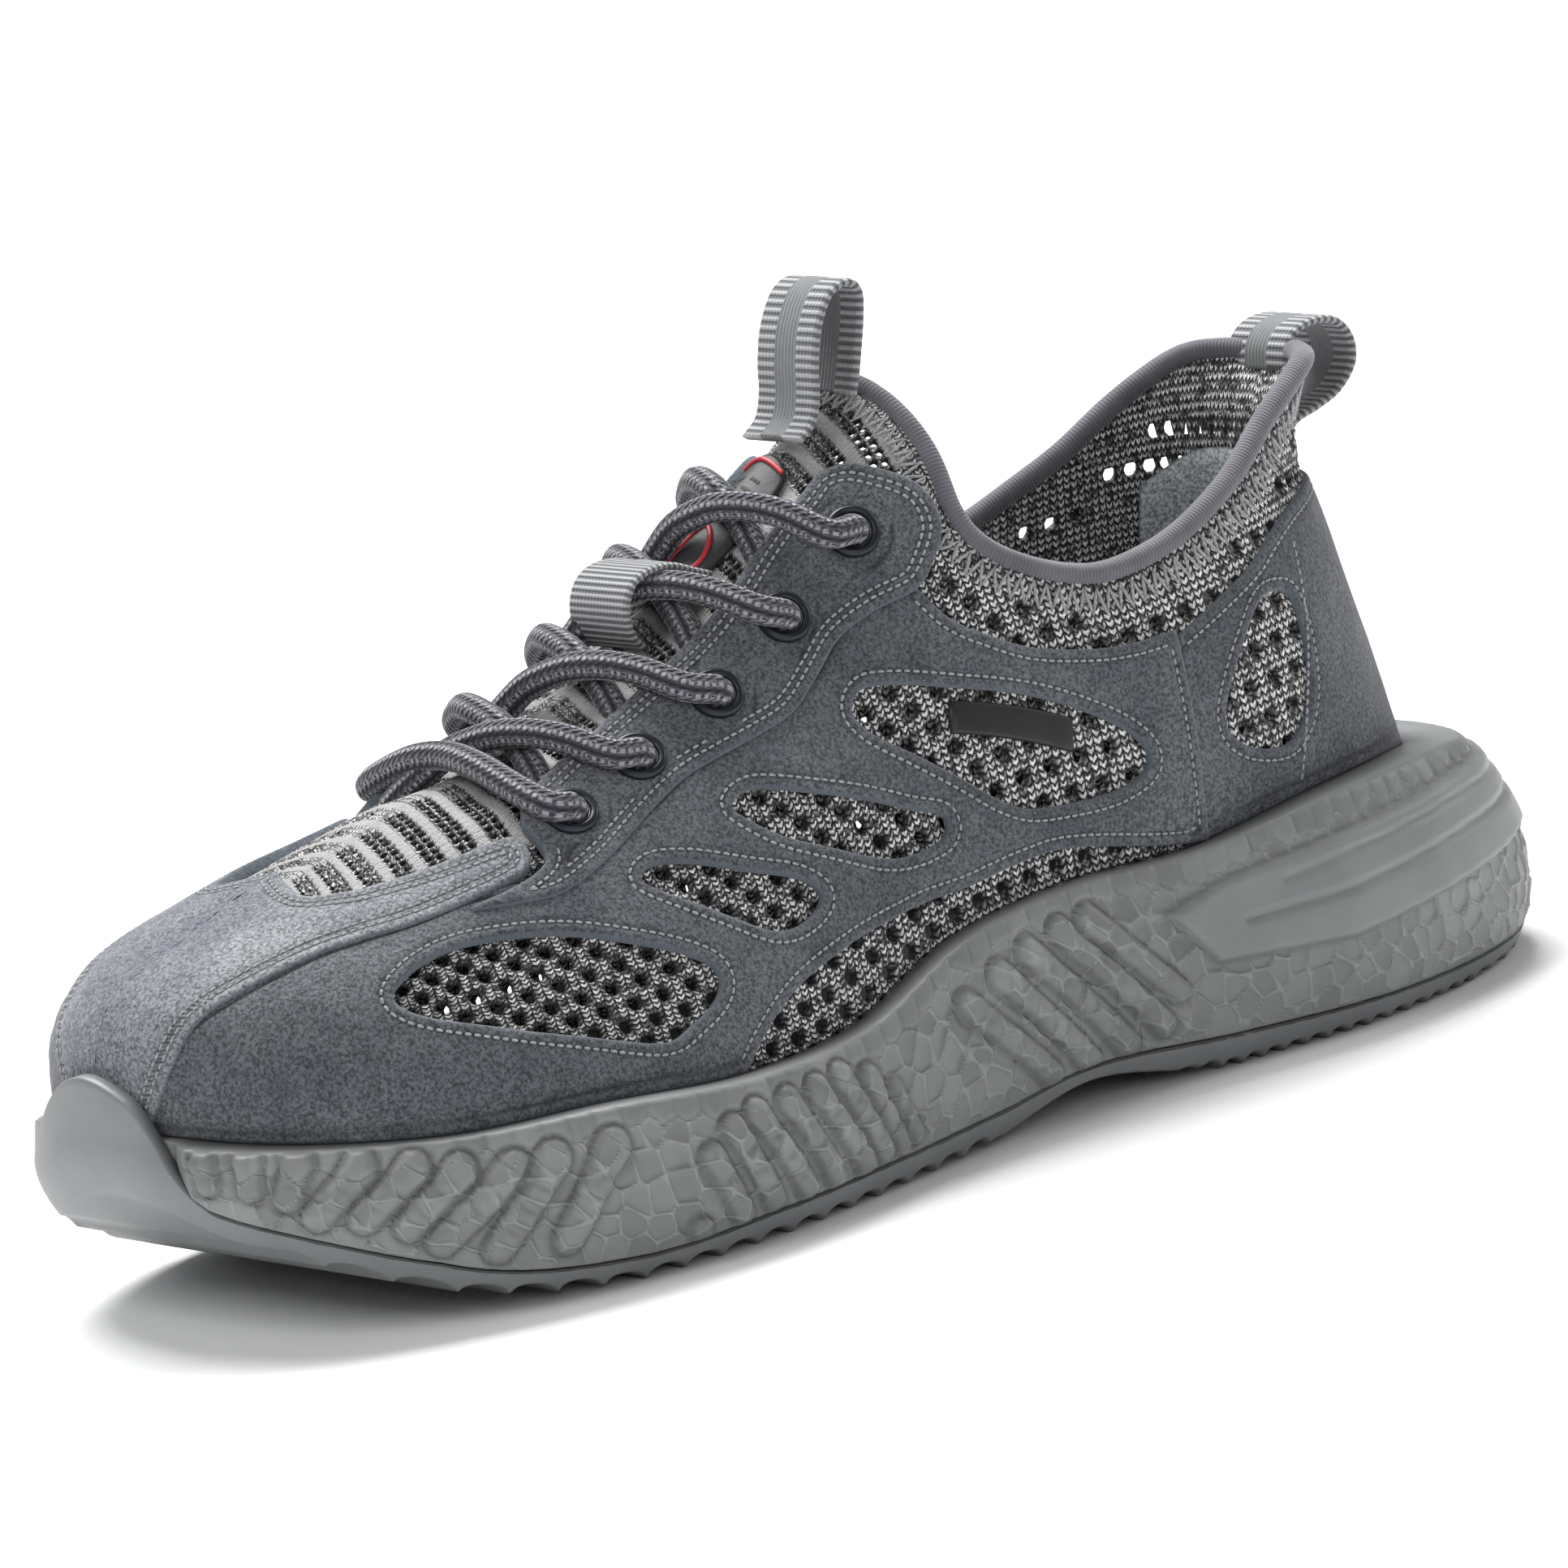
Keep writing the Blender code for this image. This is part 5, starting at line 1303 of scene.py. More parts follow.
def clear_of(outlines, gap):
    """A test for chart places that lie outside the outlines and away from them."""
    rims = [resample(outline, 0.002) for outline in outlines]

    def test(places):
        result = np.ones(len(places), bool)
        for rim in rims:
            result &= ~inside(places, rim)
            result &= nearest(on_last(places, -1, 0), on_last(rim, -1, 0)) > gap
        return result

    return test


# How far stitches stop before an overlay that covers them, and how deep a panel's edge reaches
OVERLAP_GAP = 0.0012
PANEL_FOOT = OVERLAY_LOW - 0.0004


def make_overlays():
    """The suede panels and their stitches."""
    both = (-1, 1)
    raised, tucked = OVERLAY_HIGH + RAISED, OVERLAY_HIGH - TUCKED
    add_panel("toe_cap", TOE_CAP, [], PANEL_FOOT, raised, TOE_SUEDE, both, 2)
    add_panel("heel_counter", COUNTER, [HEEL_WINDOW], PANEL_FOOT, tucked, SUEDE, both, 1)
    for side, label in SIDE_NAMES.items():
        one, face = (side,), OVERLAY_HIGH
        add_panel(f"quarter_{label}", QUARTER, QUARTER_WINDOWS, PANEL_FOOT, face, SUEDE, one, 1)
        add_panel(f"eyestay_{label}", EYESTAY, LACE_HOLES, PANEL_FOOT, raised, SUEDE, one, 2)
    above_quarter = clear_of([TOE_CAP, EYESTAY], OVERLAP_GAP)
    above_counter = clear_of([QUARTER], OVERLAP_GAP)
    add_stitches("toe_cap_stitches", TOE_CAP, [], both, raised, DOUBLE_ROW)
    add_stitches("heel_counter_stitches", COUNTER, [HEEL_WINDOW], both, tucked, SINGLE_ROW, above_counter)
    add_stitches("quarter_stitches", QUARTER, QUARTER_WINDOWS, both, OVERLAY_HIGH, SINGLE_ROW, above_quarter)
    add_stitches("eyestay_stitches", EYESTAY, [], both, raised, DOUBLE_ROW, away_from_holes)
    points, faces = [], []
    seam = spline(COUNTER_SEAM, np.linspace(0, len(COUNTER_SEAM) - 1, 60))
    for side in both:
        stitch_run(on_last(seam, side, tucked), normals_on_last(seam, side), points, faces)
    new_object("counter_seam_stitches", np.vstack(points), faces, STITCH, merge=False)


# The knit's holes: pitch along the shoe and over its side, each other row shifted by half a column
HOLE_PITCH = (0.0054, 0.0046)
HOLE_RADIUS = 0.00142
HOLE_RIM = 1.60
HOLE_CORNERS = 9
KNIT_BULGE = 0.00035
HOLE_SINK = 0.0002
FILL_CLEAR = 0.0024

# How far holes stay from the knit's edge in front of COLLAR_END and behind it
HOLE_MARGIN = 0.0030
COLLAR_MARGIN = 0.0066
COLLAR_END = 5.2

# The small holes on the tongue and the throat's window: two rows a band
THROAT_ROWS = (0.52, 0.82)
THROAT_PITCH = 0.0028
THROAT_RADIUS = 0.00072
THROAT_LOW = 0.55


def covered(places):
    """Which chart places an overlay or the label hides."""
    result = np.zeros(len(places), bool)
    for rim, holes in OVERLAYS:
        here = inside(places, rim)
        for hole in holes:
            here &= ~inside(places, hole)
        result |= here
    return result


OVERLAYS = [
    (resample(rim, 0.003), [resample(hole, 0.003) for hole in holes])
    for rim, holes in (
        (TOE_CAP, []), (QUARTER, QUARTER_WINDOWS), (EYESTAY, []), (COUNTER, [HEEL_WINDOW]), (LABEL, []),
    )
]


def throat(places):
    """Which chart places lie on the tongue's front and the throat's window."""
    section, above = places.T
    return ((section > 5.15) & (above > 0.66)) | ((section > 8.6) & (above > 0.60))


def hole_shape(count):
    """A knit hole's outline around its centre: a rounded heart with a radius near 1."""
    turns = turns_of(count) + pi / 2
    reach = 1.0 - 0.22 * peak(np.cos(turns), 0.35) * (np.sin(turns) > 0)
    reach = reach + 0.16 * peak(np.cos(turns), 0.5) * (np.sin(turns) < 0)
    return np.column_stack([np.cos(turns), np.sin(turns)]) * reach[:, None]


def hole_loops(centres, radii, shape):
    """Chart places of a shape laid around each centre: one closed loop for each."""
    stretch = chart_stretch(centres, -1)
    over = unit(stretch[:, :, 1])
    along = stretch[:, :, 0]
    along = unit(along - over * np.sum(along * over, axis=1)[:, None])
    move = along[:, None, :] * shape[None, :, :1] + over[:, None, :] * shape[None, :, 1:]
    move = move * radii[:, None, None]
    return centres[:, None, :] + np.einsum("nij,nkj->nki", np.linalg.pinv(stretch), move)


def knit_lattice(rim):
    """Centres and radii of the knit's open holes, and filling places between them."""
    pitch = np.array(HOLE_PITCH) / CHART
    centres = np.array([
        ((col + (0.5 if row % 2 else 0.0)) * pitch[0], (row + 0.5) * pitch[1])
        for row in range(-4, int(1.0 / pitch[1]))
        for col in range(int(TOE_ROW / pitch[0]) + 1)
    ])
    in_throat = throat(centres)
    fill = np.vstack([centres + [pitch[0] / 2, 0], centres[in_throat]])
    centres = centres[~in_throat]
    step = THROAT_PITCH / CHART[1]
    bands = CHART[0] / BAND_PITCH
    tight = np.array([
        ((band + share) * BAND_PITCH / CHART[0], (col + 0.5 * row) * step)
        for band in range(int(COLLAR_END * bands), int(TOE_ROW * bands))
        for row, share in enumerate(THROAT_ROWS)
        for col in range(int(THROAT_LOW / step), int(1.0 / step))
    ])
    tight = tight[throat(tight)]
    radii = np.concatenate([np.full(len(centres), HOLE_RADIUS), np.full(len(tight), THROAT_RADIUS)])
    centres = np.vstack([centres, tight])
    keep = inside(centres, rim) & (centres[:, 0] > 0.10) & (centres[:, 0] < TOE_ROW - 0.15)
    keep &= (centres[:, 1] < 0.965) & (centres[:, 1] > -0.04)
    centres, radii = centres[keep], radii[keep]
    margin = np.where(centres[:, 0] < COLLAR_END, COLLAR_MARGIN, HOLE_MARGIN)
    keep = nearest(on_last(centres, -1, 0), on_last(real_edge_of([rim]), -1, 0)) > margin
    centres, radii = centres[keep], radii[keep]
    hidden = covered(hole_loops(centres, radii, hole_shape(6)).reshape(-1, 2)).reshape(-1, 6).all(axis=1)
    return centres[~hidden], radii[~hidden], fill


def make_knit():
    """The knit: two skins with real holes between them, and plain cloth where an overlay hides it."""
    rim = resample(UPPER, 0.0026)
    centres, radii, fill = knit_lattice(rim)
    shape = hole_shape(HOLE_CORNERS)
    holes = hole_loops(centres, radii, shape)
    lips = hole_loops(centres, radii, HOLE_RIM * 0.5 * (shape + unit(shape)))
    lips[:, :, 1] = np.minimum(lips[:, :, 1], TOP_LIMIT)
    fill = fill[inside(fill, rim)]
    fill = fill[(fill[:, 0] > 0.08) & (fill[:, 0] < TOE_ROW - 0.1) & (fill[:, 1] < 0.985)]
    fill_world = on_last(fill, -1, 0)
    clear = nearest(fill_world, on_last(centres, -1, 0)) > FILL_CLEAR
    fill = fill[clear & (nearest(fill_world, on_last(real_edge_of([rim]), -1, 0)) > 0.5 * FILL_CLEAR)]
    lips = lips.reshape(-1, 2)
    lips = lips[inside(lips, rim)]
    places, triangles, first = triangulate([rim] + list(holes), [lips, fill])
    fixed = len(rim) + len(centres) * HOLE_CORNERS
    in_hole = (first >= len(rim)) & (first < fixed)
    owner = np.where(in_hole, (first - len(rim)) // HOLE_CORNERS, -1)[triangles]
    cut = (owner[:, 0] >= 0) & (owner[:, 0] == owner[:, 1]) & (owner[:, 1] == owner[:, 2])
    corners = places[triangles]
    flat = np.ptp(corners[:, :, 0], axis=1) + np.ptp(corners[:, :, 1], axis=1) < 1e-6
    triangles = triangles[inside(corners.mean(axis=1), rim) & ~cut & ~flat]
    lip_point = (first >= fixed) & (first < fixed + len(lips))
    bulge = np.where(lip_point, KNIT_BULGE, 0.0) + np.where(in_hole, -HOLE_SINK, 0.0)
    # pit marks the holes' rims, which take painted shade in the knit's look
    pit = np.where(in_hole, 1.0, 0.0)
    stripe = np.where(throat(places) & ~in_hole, 1.0, 0.0)
    floor = last_floor(places[:, 0])
    pairs = wall_edges(places, triangles, (-1, 1))
    total, points, faces = len(places), [], []
    foot = np.arange(total) + total
    for side in (-1, 1):
        start = sum(len(group) for group in points)
        outer = on_last(places, side, KNIT_FACE + bulge)
        inner = on_last(places, side, KNIT_INSIDE + 0.0003 - 0.4 * bulge)
        for skin in (outer, inner):
            skin[:, 2] = np.maximum(skin[:, 2], floor)
        points += [outer, inner]
        faces += skin_faces(triangles, side, start) + skin_faces(triangles, -side, start + total)
        faces += wall_faces(pairs, foot, side, start)
    values = {"pit": np.tile(pit, 4), "throat": np.tile(np.concatenate([stripe, 0 * stripe]), 2)}
    made = new_object("knit_upper", np.vstack(points), faces, KNIT, np.tile(places * CHART, (4, 1)), values)
    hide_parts("upper")


def cap_faces(count, start):
    """Faces across a ring, between matching places of its outer and inner side."""
    half = count // 2
    faces = [(start, start + 1, start + count - 1)]
    faces += [
        (start + i, start + i + 1, start + count - i - 1, start + count - i)
        for i in range(1, half - 1)
    ]
    faces.append((start + half - 1, start + half, start + half + 1))
    return faces


def add_ringed(name, rings, look, piece, values=None):
    """A solid whose skin runs through the rings, with a cap across the first and the last."""
    count = len(rings[0])
    faces = [face[::-1] for face in cap_faces(count, 0)]
    for index in range(len(rings) - 1):
        faces += ring_faces(count, index * count, (index + 1) * count)
    faces += cap_faces(count, (len(rings) - 1) * count)
    made = new_object(piece, np.vstack(rings), faces, look, None, values)
    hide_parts(name)


# Ribs on the sole's side: section and height of the top and of the bottom of each, its radius and its depth;
# heights, radii and depths in millimetres
Rib = namedtuple("Rib", "top_section top_height low_section low_height radius depth")
FOREFOOT_RIBS = [
    Rib(11.27, 33.0, 11.25, 29.5, 2.4, 1.3), Rib(11.03, 33.0, 11.03, 28.5, 2.6, 1.5),
    Rib(10.78, 32.0, 10.85, 26.5, 2.8, 1.7), Rib(10.48, 29.7, 10.72, 22.5, 2.9, 1.9),
    Rib(10.21, 28.0, 10.50, 21.0, 2.9, 2.0), Rib(9.96, 26.3, 10.28, 18.5, 2.9, 2.0),
    Rib(9.67, 24.8, 10.12, 15.0, 3.0, 2.0), Rib(9.44, 25.0, 9.83, 12.0, 3.0, 2.0),
    Rib(9.08, 24.7, 9.45, 11.0, 3.0, 2.0),
]
MIDFOOT_RIBS = [
    Rib(8.62, 6.5, 8.60, 5.0, 2.2, 1.6), Rib(8.47, 18.2, 8.32, 6.5, 2.4, 1.8),
    Rib(8.29, 21.8, 8.09, 7.4, 2.4, 1.9), Rib(8.10, 23.1, 7.83, 7.3, 2.4, 1.9),
    Rib(7.85, 23.2, 7.59, 7.0, 2.4, 1.9), Rib(7.61, 23.4, 7.33, 7.0, 2.4, 1.9),
    Rib(7.39, 23.8, 7.15, 8.4, 2.4, 1.9), Rib(7.15, 21.9, 6.98, 8.6, 2.2, 1.7),
    Rib(6.97, 18.5, 6.84, 8.9, 1.9, 1.5),
]
ARCH_RIBS = [
    Rib(6.15, 27.0, 5.45, 9.0, 2.6, 1.5), Rib(5.80, 30.0, 5.10, 9.0, 2.6, 1.6),
    Rib(5.50, 32.0, 4.80, 10.0, 2.6, 1.6), Rib(5.20, 33.5, 4.55, 12.0, 2.6, 1.6),
    Rib(4.95, 34.0, 4.42, 17.0, 2.5, 1.4),
]
RIBS = FOREFOOT_RIBS + MIDFOOT_RIBS + ARCH_RIBS

# Notches across a rib: their pitch, width and depth as a share of the rib. Then the moat around a rib, the
# width of its crease, how much of the cells shows on it, and the most that it spans along the side.
NOTCH_PITCH = 0.0048
NOTCH_WIDTH = 0.00065
NOTCH_SHARE = 0.28
MOAT_WIDTH = 0.0010
MOAT_DEPTH = 0.0004
CREASE_WIDTH = 0.0007
CELLS_ON_RIB = 0.8
RIB_REACH = 0.030

# The heel's smooth band: its lower and upper edge, section and height in millimetres
HEEL_BAND_LOW = [(0.0, 24.0), (1.2, 22.0), (2.14, 19.9), (3.19, 17.3), (4.14, 19.6)]
HEEL_BAND_HIGH = [(0.0, 37.0), (2.0, 37.6), (3.0, 36.0), (4.0, 33.4), (4.41, 30.7)]
HEEL_BAND_TIP = [(4.14, 19.6), (4.41, 30.7)]
HEEL_BAND_DEPTH = 0.0017
HEEL_BAND_EDGE = 0.0011

# The side's relief fades out towards the toe, sooner on the inner side than on the outer side:
# the section where each fade starts and its length. Inner ribs end at INNER_RIBS.
TOE_FADE = (11.62, 0.12)
INNER_FADE = (10.0, 0.8)
INNER_RIBS = 10.9

# The side's columns and levels of points. The cells: their rows, their pitch, the height of the top row,
# the ridges between them, their tilt and their steps, and the rounding of the top row's pillows.
SIDE_STATIONS = 620
SIDE_LEVELS = 52
CELL_ROWS = 9
CELL_PITCH = 0.0050
TOP_CELL = 0.0036
CELL_RIDGE = 0.00038
CELL_EDGE = 0.0013
CELL_TILT = 0.12
CELL_STEP = 0.00012
PILLOW = 0.0006
PILLOW_EDGE = 0.0014


def side_lengths(at):
    """Distance around the sole's side to each ring place, and once around it."""
    dense = np.linspace(0, RING_LENGTH, 2401)
    widest = ring_normal(dense) * on_ring(OUT, dense)[:, None]
    run = length_along(spline(FEATHER, dense, closed=True) + widest)
    return np.interp(at, dense, run), run[-1]


def segment_distance(points, start, end):
    """Distance to a segment and the share along it."""
    along = end - start
    share = np.clip(((points - start) @ along) / max(along @ along, 1e-12), 0, 1)
    return np.linalg.norm(points - start - share[:, None] * along, axis=1), share


def cell_relief(run, drop, total):
    """The cells' relief, where their ridges are (which take a painted highlight), and one painted shade a
    cell: tilted facets between raised ridges.
    """
    chance = np.random.default_rng(11)
    seeds, tilts = [], []
    columns = int(total / CELL_PITCH)
    for row in range(CELL_ROWS):
        depth = 0.5 * TOP_CELL if row == 0 else TOP_CELL + (row - 0.42) * CELL_PITCH * 0.92
        for col in range(columns):
            jitter = chance.uniform(-1, 1, 2) * (0.10 if row == 0 else 0.38)
            place = (col + 0.5 * (row % 2) + jitter[0]) * total / columns
            seeds.append((place, depth + (0.0 if row == 0 else jitter[1] * CELL_PITCH)))
            tilts.append(chance.uniform(-1, 1, 3))
    tilts = np.array(tilts)
    tree = KDTree(3 * len(seeds))
    for turn in (-1, 0, 1):
        for index, (place, depth) in enumerate(seeds):
            tree.insert((place + turn * total, depth, 0), index)
    tree.balance()
    relief, ridges, facet_shades = np.zeros((3, len(run)))
    for number, (x, y) in enumerate(zip(run, drop)):
        (first, index, near), (_, _, far) = tree.find_n((x, y, 0), 2)
        gap = far - near
        lean = CELL_TILT * (tilts[index, 0] * (x - first[0]) + tilts[index, 1] * (y - first[1]))
        # Each cell's tone is painted shade for its facet
        facet_shades[number] = 0.5 + 0.5 * tilts[index, 2]
        if index < columns:
            relief[number] = PILLOW * min(1.0, gap / PILLOW_EDGE) ** 0.7 + 0.3 * lean
        else:
            ridges[number] = max(0.0, 1 - gap / CELL_EDGE)
            relief[number] = CELL_RIDGE * ridges[number] + lean + CELL_STEP * tilts[index, 2]
    return relief, ridges, facet_shades


def add_ribs(relief, crease, cells, run, height):
    """The ribs of both sides, laid into the relief and into the crease's painted shade."""
    spots = np.column_stack([run, height])
    for rib in RIBS:
        for inner in (False, True):
            if inner and rib.top_section > INNER_RIBS:
                continue
            sections = np.array([rib.top_section, rib.low_section])
            reach = side_lengths(RING_LENGTH - sections if inner else sections)[0]
            start, end = np.column_stack([reach, [rib.top_height / 1000, rib.low_height / 1000]])
            close = np.abs(spots[:, 0] - 0.5 * (start[0] + end[0])) < RIB_REACH
            gap, share = segment_distance(spots[close], start, end)
            radius = rib.radius / 1000 * (1 + 0.16 * peak(share, 0.2))
            swell = rib.depth / 1000 * np.sqrt(np.clip(1 - (gap / radius) ** 2, 0, 1))
            length = np.hypot(*(end - start))
            count = int(length / NOTCH_PITCH)
            for notch in range(1, count + 1):
                past = (share - notch / (count + 1)) * length + 0.15 * (gap - radius)
                swell = swell * (1 - NOTCH_SHARE * peak(past, NOTCH_WIDTH))
            swell = swell + CELLS_ON_RIB * cells[close] * np.clip(1 - gap / radius, 0, 0.3) / 0.3
            moat = np.clip((gap - radius) / MOAT_WIDTH, 0, 1)
            beside = relief[close] * moat - MOAT_DEPTH * (1 - moat)
            sunk = 0.5 * MOAT_DEPTH
            relief[close] = np.where(gap < radius, np.maximum(swell - sunk, -sunk), beside)
            # The crease around each rib carries painted shade
            crease[close] = np.maximum(crease[close], peak(gap - radius, CREASE_WIDTH))


def side_relief(at, height):
    """How far the midsole's side stands proud of its plain form, and the masks for its painted shade in
    creases, its painted highlight on ridges and its painted shade on each cell's facet.
    """
    section = np.minimum(at, RING_LENGTH - at)
    run, total = side_lengths(at)
    top, part = on_ring(TOP, at), part_height(at)
    cells, ridges, facet_shades = cell_relief(run, top - height, total)
    relief, crease = cells.copy(), np.zeros(len(at))
    add_ribs(relief, crease, cells, run, height)
    low = np.interp(section, *zip(*HEEL_BAND_LOW)) / 1000
    high = np.interp(section, *zip(*HEEL_BAND_HIGH)) / 1000
    tip_sections, tip_heights = np.array(HEEL_BAND_TIP).T
    tip = np.interp(height, tip_heights / 1000, tip_sections)
    inward = np.minimum(np.minimum(height - low, high - height), (tip - section) * CHART[0])
    crown = 0.5 - 0.5 * np.cos(pi * np.clip(inward / HEEL_BAND_EDGE, 0, 1))
    groove = peak(height - 0.5 * (low + high) + 0.0004, 0.0006) * (section < 3.9) * (inward > 0.002)
    second = peak(height - high + 0.0036, 0.0005) * (section < 3.6) * (inward > 0.001)
    band = HEEL_BAND_DEPTH * crown - 0.0009 * groove - 0.0006 * second
    relief = np.where(inward > 0, band, relief)
    # The heel band's edges carry painted shade
    crease = np.maximum(crease, peak(inward, 0.0006) * 0.8)
    fade = np.clip((height - part) / 0.0015, 0, 1) * np.clip((top - height) / 0.0006, 0, 1)
    ends = (TOE_FADE, INNER_FADE)
    toe_end, inner_end = (np.clip((section - start) / length, 0, 1) for start, length in ends)
    shown = 1 - np.maximum(toe_end, inner_end * (at > TOE_ROW))
    celled = fade * shown * (inward <= 0)
    return relief * fade * shown, crease * fade, ridges * celled, facet_shades * celled


def add_midsole():
    """The midsole: a cup whose side carries the moulded relief and whose inside follows the last."""
    at = ring_at(np.linspace(0, TOE_ROW, SIDE_STATIONS + 1))
    part, base, top = part_height(at), rubber_base(at), on_ring(TOP, at)
    lift = 1.6 * FIT_GAP
    inside_wall = RUBBER_WALL + lift
    shown = np.clip((top - part) / 0.006 - 0.5, 0, 1)
    cover = covered_top(at)
    half_cover = 0.5 * (base + cover)
    below = cover + 0.7 * FIT_GAP
    above = np.minimum(part + 1.8 * FIT_GAP, top - 0.0020)
    floor = last_floor(np.minimum(at, RING_LENGTH - at)) - FIT_GAP
    hidden = inside_wall * (1 - shown)
    inner_heights = (
        (base, np.minimum(base + lift, below - 0.0002)),
        (half_cover, np.clip(half_cover, base + lift, below - 0.0001)),
        (cover, below),
    )
    rings = [ring(at, side_reach(at, read) - inside_wall, level) for read, level in inner_heights]
    plain = np.zeros(len(at))
    marks = [[plain, plain, plain] for _ in rings]
    height = above + np.linspace(0, 1, SIDE_LEVELS)[:, None] * (top - above - 0.0003)
    fields = side_relief(np.tile(at, SIDE_LEVELS), height.ravel())
    for level, stand, *level_marks in zip(height, *(field.reshape(height.shape) for field in fields)):
        rings.append(ring(at, side_reach(at, level) - hidden + stand * shown, level))
        marks.append([mark * shown for mark in level_marks])
    rings += [
        ring(at, side_reach(at, top) - hidden - 0.0004, top),
        last_ring(at, top, KNIT_FACE + CUP_GAP),
        last_ring(at, 0.5 * (top + floor), KNIT_FACE + CUP_GAP),
        last_ring(at, floor + FIT_GAP, KNIT_FACE + CUP_GAP),
    ]
    rings[-1][:, 2] = floor
    # The three rings along the last, inside the cup, are painted with shade in full
    marks += [[plain, plain, plain]] + [[plain + 1, plain, plain]] * 3
    values = {key: np.concatenate(mark) for key, mark in zip(("crevice_shade", "ridge", "tone"), zip(*marks))}
    add_ringed("midsole", rings, MIDSOLE_RUBBER, "midsole_side", values)


# The tread's bites: length and depth in the forefoot and at the heel, and the plain arch between them
TREAD_STATIONS = 640
FOREFOOT_BITE = 0.0074
FOREFOOT_DEPTH = 0.0019
HEEL_BITE = 0.0044
HEEL_DEPTH = 0.0015
ARCH_START = 4.3
ARCH_END = 6.1
TREAD_END = 11.3


def tread_lift(section):
    """How far the tread stands up from the ground: rounded bites across the sole."""
    length = np.interp(section, SECTION_NUMBERS, column(LAST, "x_out")[:, 0]) * SOLE_LENGTH
    pitch = np.where(section < ARCH_START, HEEL_BITE, FOREFOOT_BITE)
    depth = np.where(section < ARCH_START, HEEL_DEPTH, FOREFOOT_DEPTH)
    place = np.mod(length / pitch, 1)
    bite = np.sqrt(np.clip(1 - ((place - 0.5) / 0.47) ** 2, 0, 1))
    arch = np.clip(np.minimum(section - ARCH_START + 0.1, ARCH_END - section) / 0.2, 0, 1)
    ends = np.clip((TREAD_END - section) / 0.4, 0, 1) * np.clip((section - 0.08) / 0.1, 0, 1)
    return depth * bite * (1 - arch) * ends


def add_outsole():
    """The rubber outsole: a tread whose edge is bitten and a wall that holds the midsole."""
    sections = np.linspace(0, TOE_ROW, TREAD_STATIONS + 1)
    at = ring_at(sections)
    lift = tread_lift(sections)
    lift = np.concatenate([lift, lift[1:-1][::-1]])
    ground, part, base = ground_height(at), part_height(at), rubber_base(at)
    low = ground + np.minimum(lift, np.maximum(part - ground - 0.0012, 0))
    edge = low + 0.0004
    cover = covered_top(at) - 0.0001
    rings = [ring(at, side_reach(at, low) - 0.0010, low), ring(at, side_reach(at, edge), edge)]
    for share in np.linspace(0.08, 0.94, 16):
        level = edge + share * (part - edge)
        rings.append(ring(at, side_reach(at, level), level))
    rings += [
        ring(at, side_reach(at, part - 0.0003), part - 0.0003),
        ring(at, side_reach(at, part) - 0.0003, part),
    ]
    rings += [ring(at, side_reach(at, z) - RUBBER_WALL, z) for z in (part, cover, 0.5 * (base + cover), base)]
    values = {"crevice_shade": np.zeros(len(rings) * len(at))}
    add_ringed("outsole", rings, OUTSOLE_RUBBER, "outsole_tread", values)


def add_insole():
    """A flat sheet on the last's floor."""
    at = ring_at(np.linspace(0, TOE_ROW, 181))
    floor = last_floor(np.minimum(at, RING_LENGTH - at))
    top = floor + INSOLE_THICKNESS
    inset = KNIT_INSIDE - 2 * FIT_GAP
    rings = [last_ring(at, level, inset) for level in (floor + FIT_GAP, top - 0.0005, top)]
    rings[0][:, 2] = floor
    middle = rings[2].mean(axis=0)
    rings[2] = rings[2] + 0.006 * (middle - rings[2]) * np.array([1, 1, 0])
    add_ringed("insole", rings, INSOLE_CLOTH, "insole_sheet")


def tube_frames(path, closed):
    """Two directions across a path at each of its points, turned as little as possible."""
    along = np.roll(path, -1, axis=0) - np.roll(path, 1, axis=0) if closed else np.gradient(path, axis=0)
    along = unit(along)
    across = np.cross(along[0], (0.3, 0.9, 0.2))
    frames = []
    for direction in along:
        across = unit(across - direction * np.dot(across, direction))
        frames.append((across, np.cross(direction, across)))
    return np.array(frames)


def add_tube(name, path, radius, look, closed=False, count=16):
    """A round cord along a path, with its turn and its length as texture coordinates."""
    path = np.asarray(path, float)
    frames = tube_frames(path, closed)
    if closed:
        path = np.vstack([path, path[:1]])
        frames = np.concatenate([frames, frames[:1]])
    turns = np.linspace(0, 1, count + 1)
    circle = np.cos(2 * pi * turns)[None, :, None] * frames[:, 0][:, None, :]
    circle = circle + np.sin(2 * pi * turns)[None, :, None] * frames[:, 1][:, None, :]
    points = (path[:, None, :] + radius * circle).reshape(-1, 3)
    uvs = np.stack(np.meshgrid(length_along(path), turns, indexing="ij"), axis=-1).reshape(-1, 2)[:, ::-1]
    total, width = len(path), count + 1
    faces = [
        (i * width + k, i * width + k + 1, (i + 1) * width + k + 1, (i + 1) * width + k)
        for i in range(total - 1)
        for k in range(count)
    ]
    if not closed:
        faces += [range(count)[::-1], range((total - 1) * width, (total - 1) * width + count)]
    return new_object(name, points, faces, look, uvs)


def even_path(points, step):
    """A path with even steps."""
    run = length_along(points)
    return read_along(points, run, np.linspace(0, run[-1], max(int(run[-1] / step), 2) + 1))


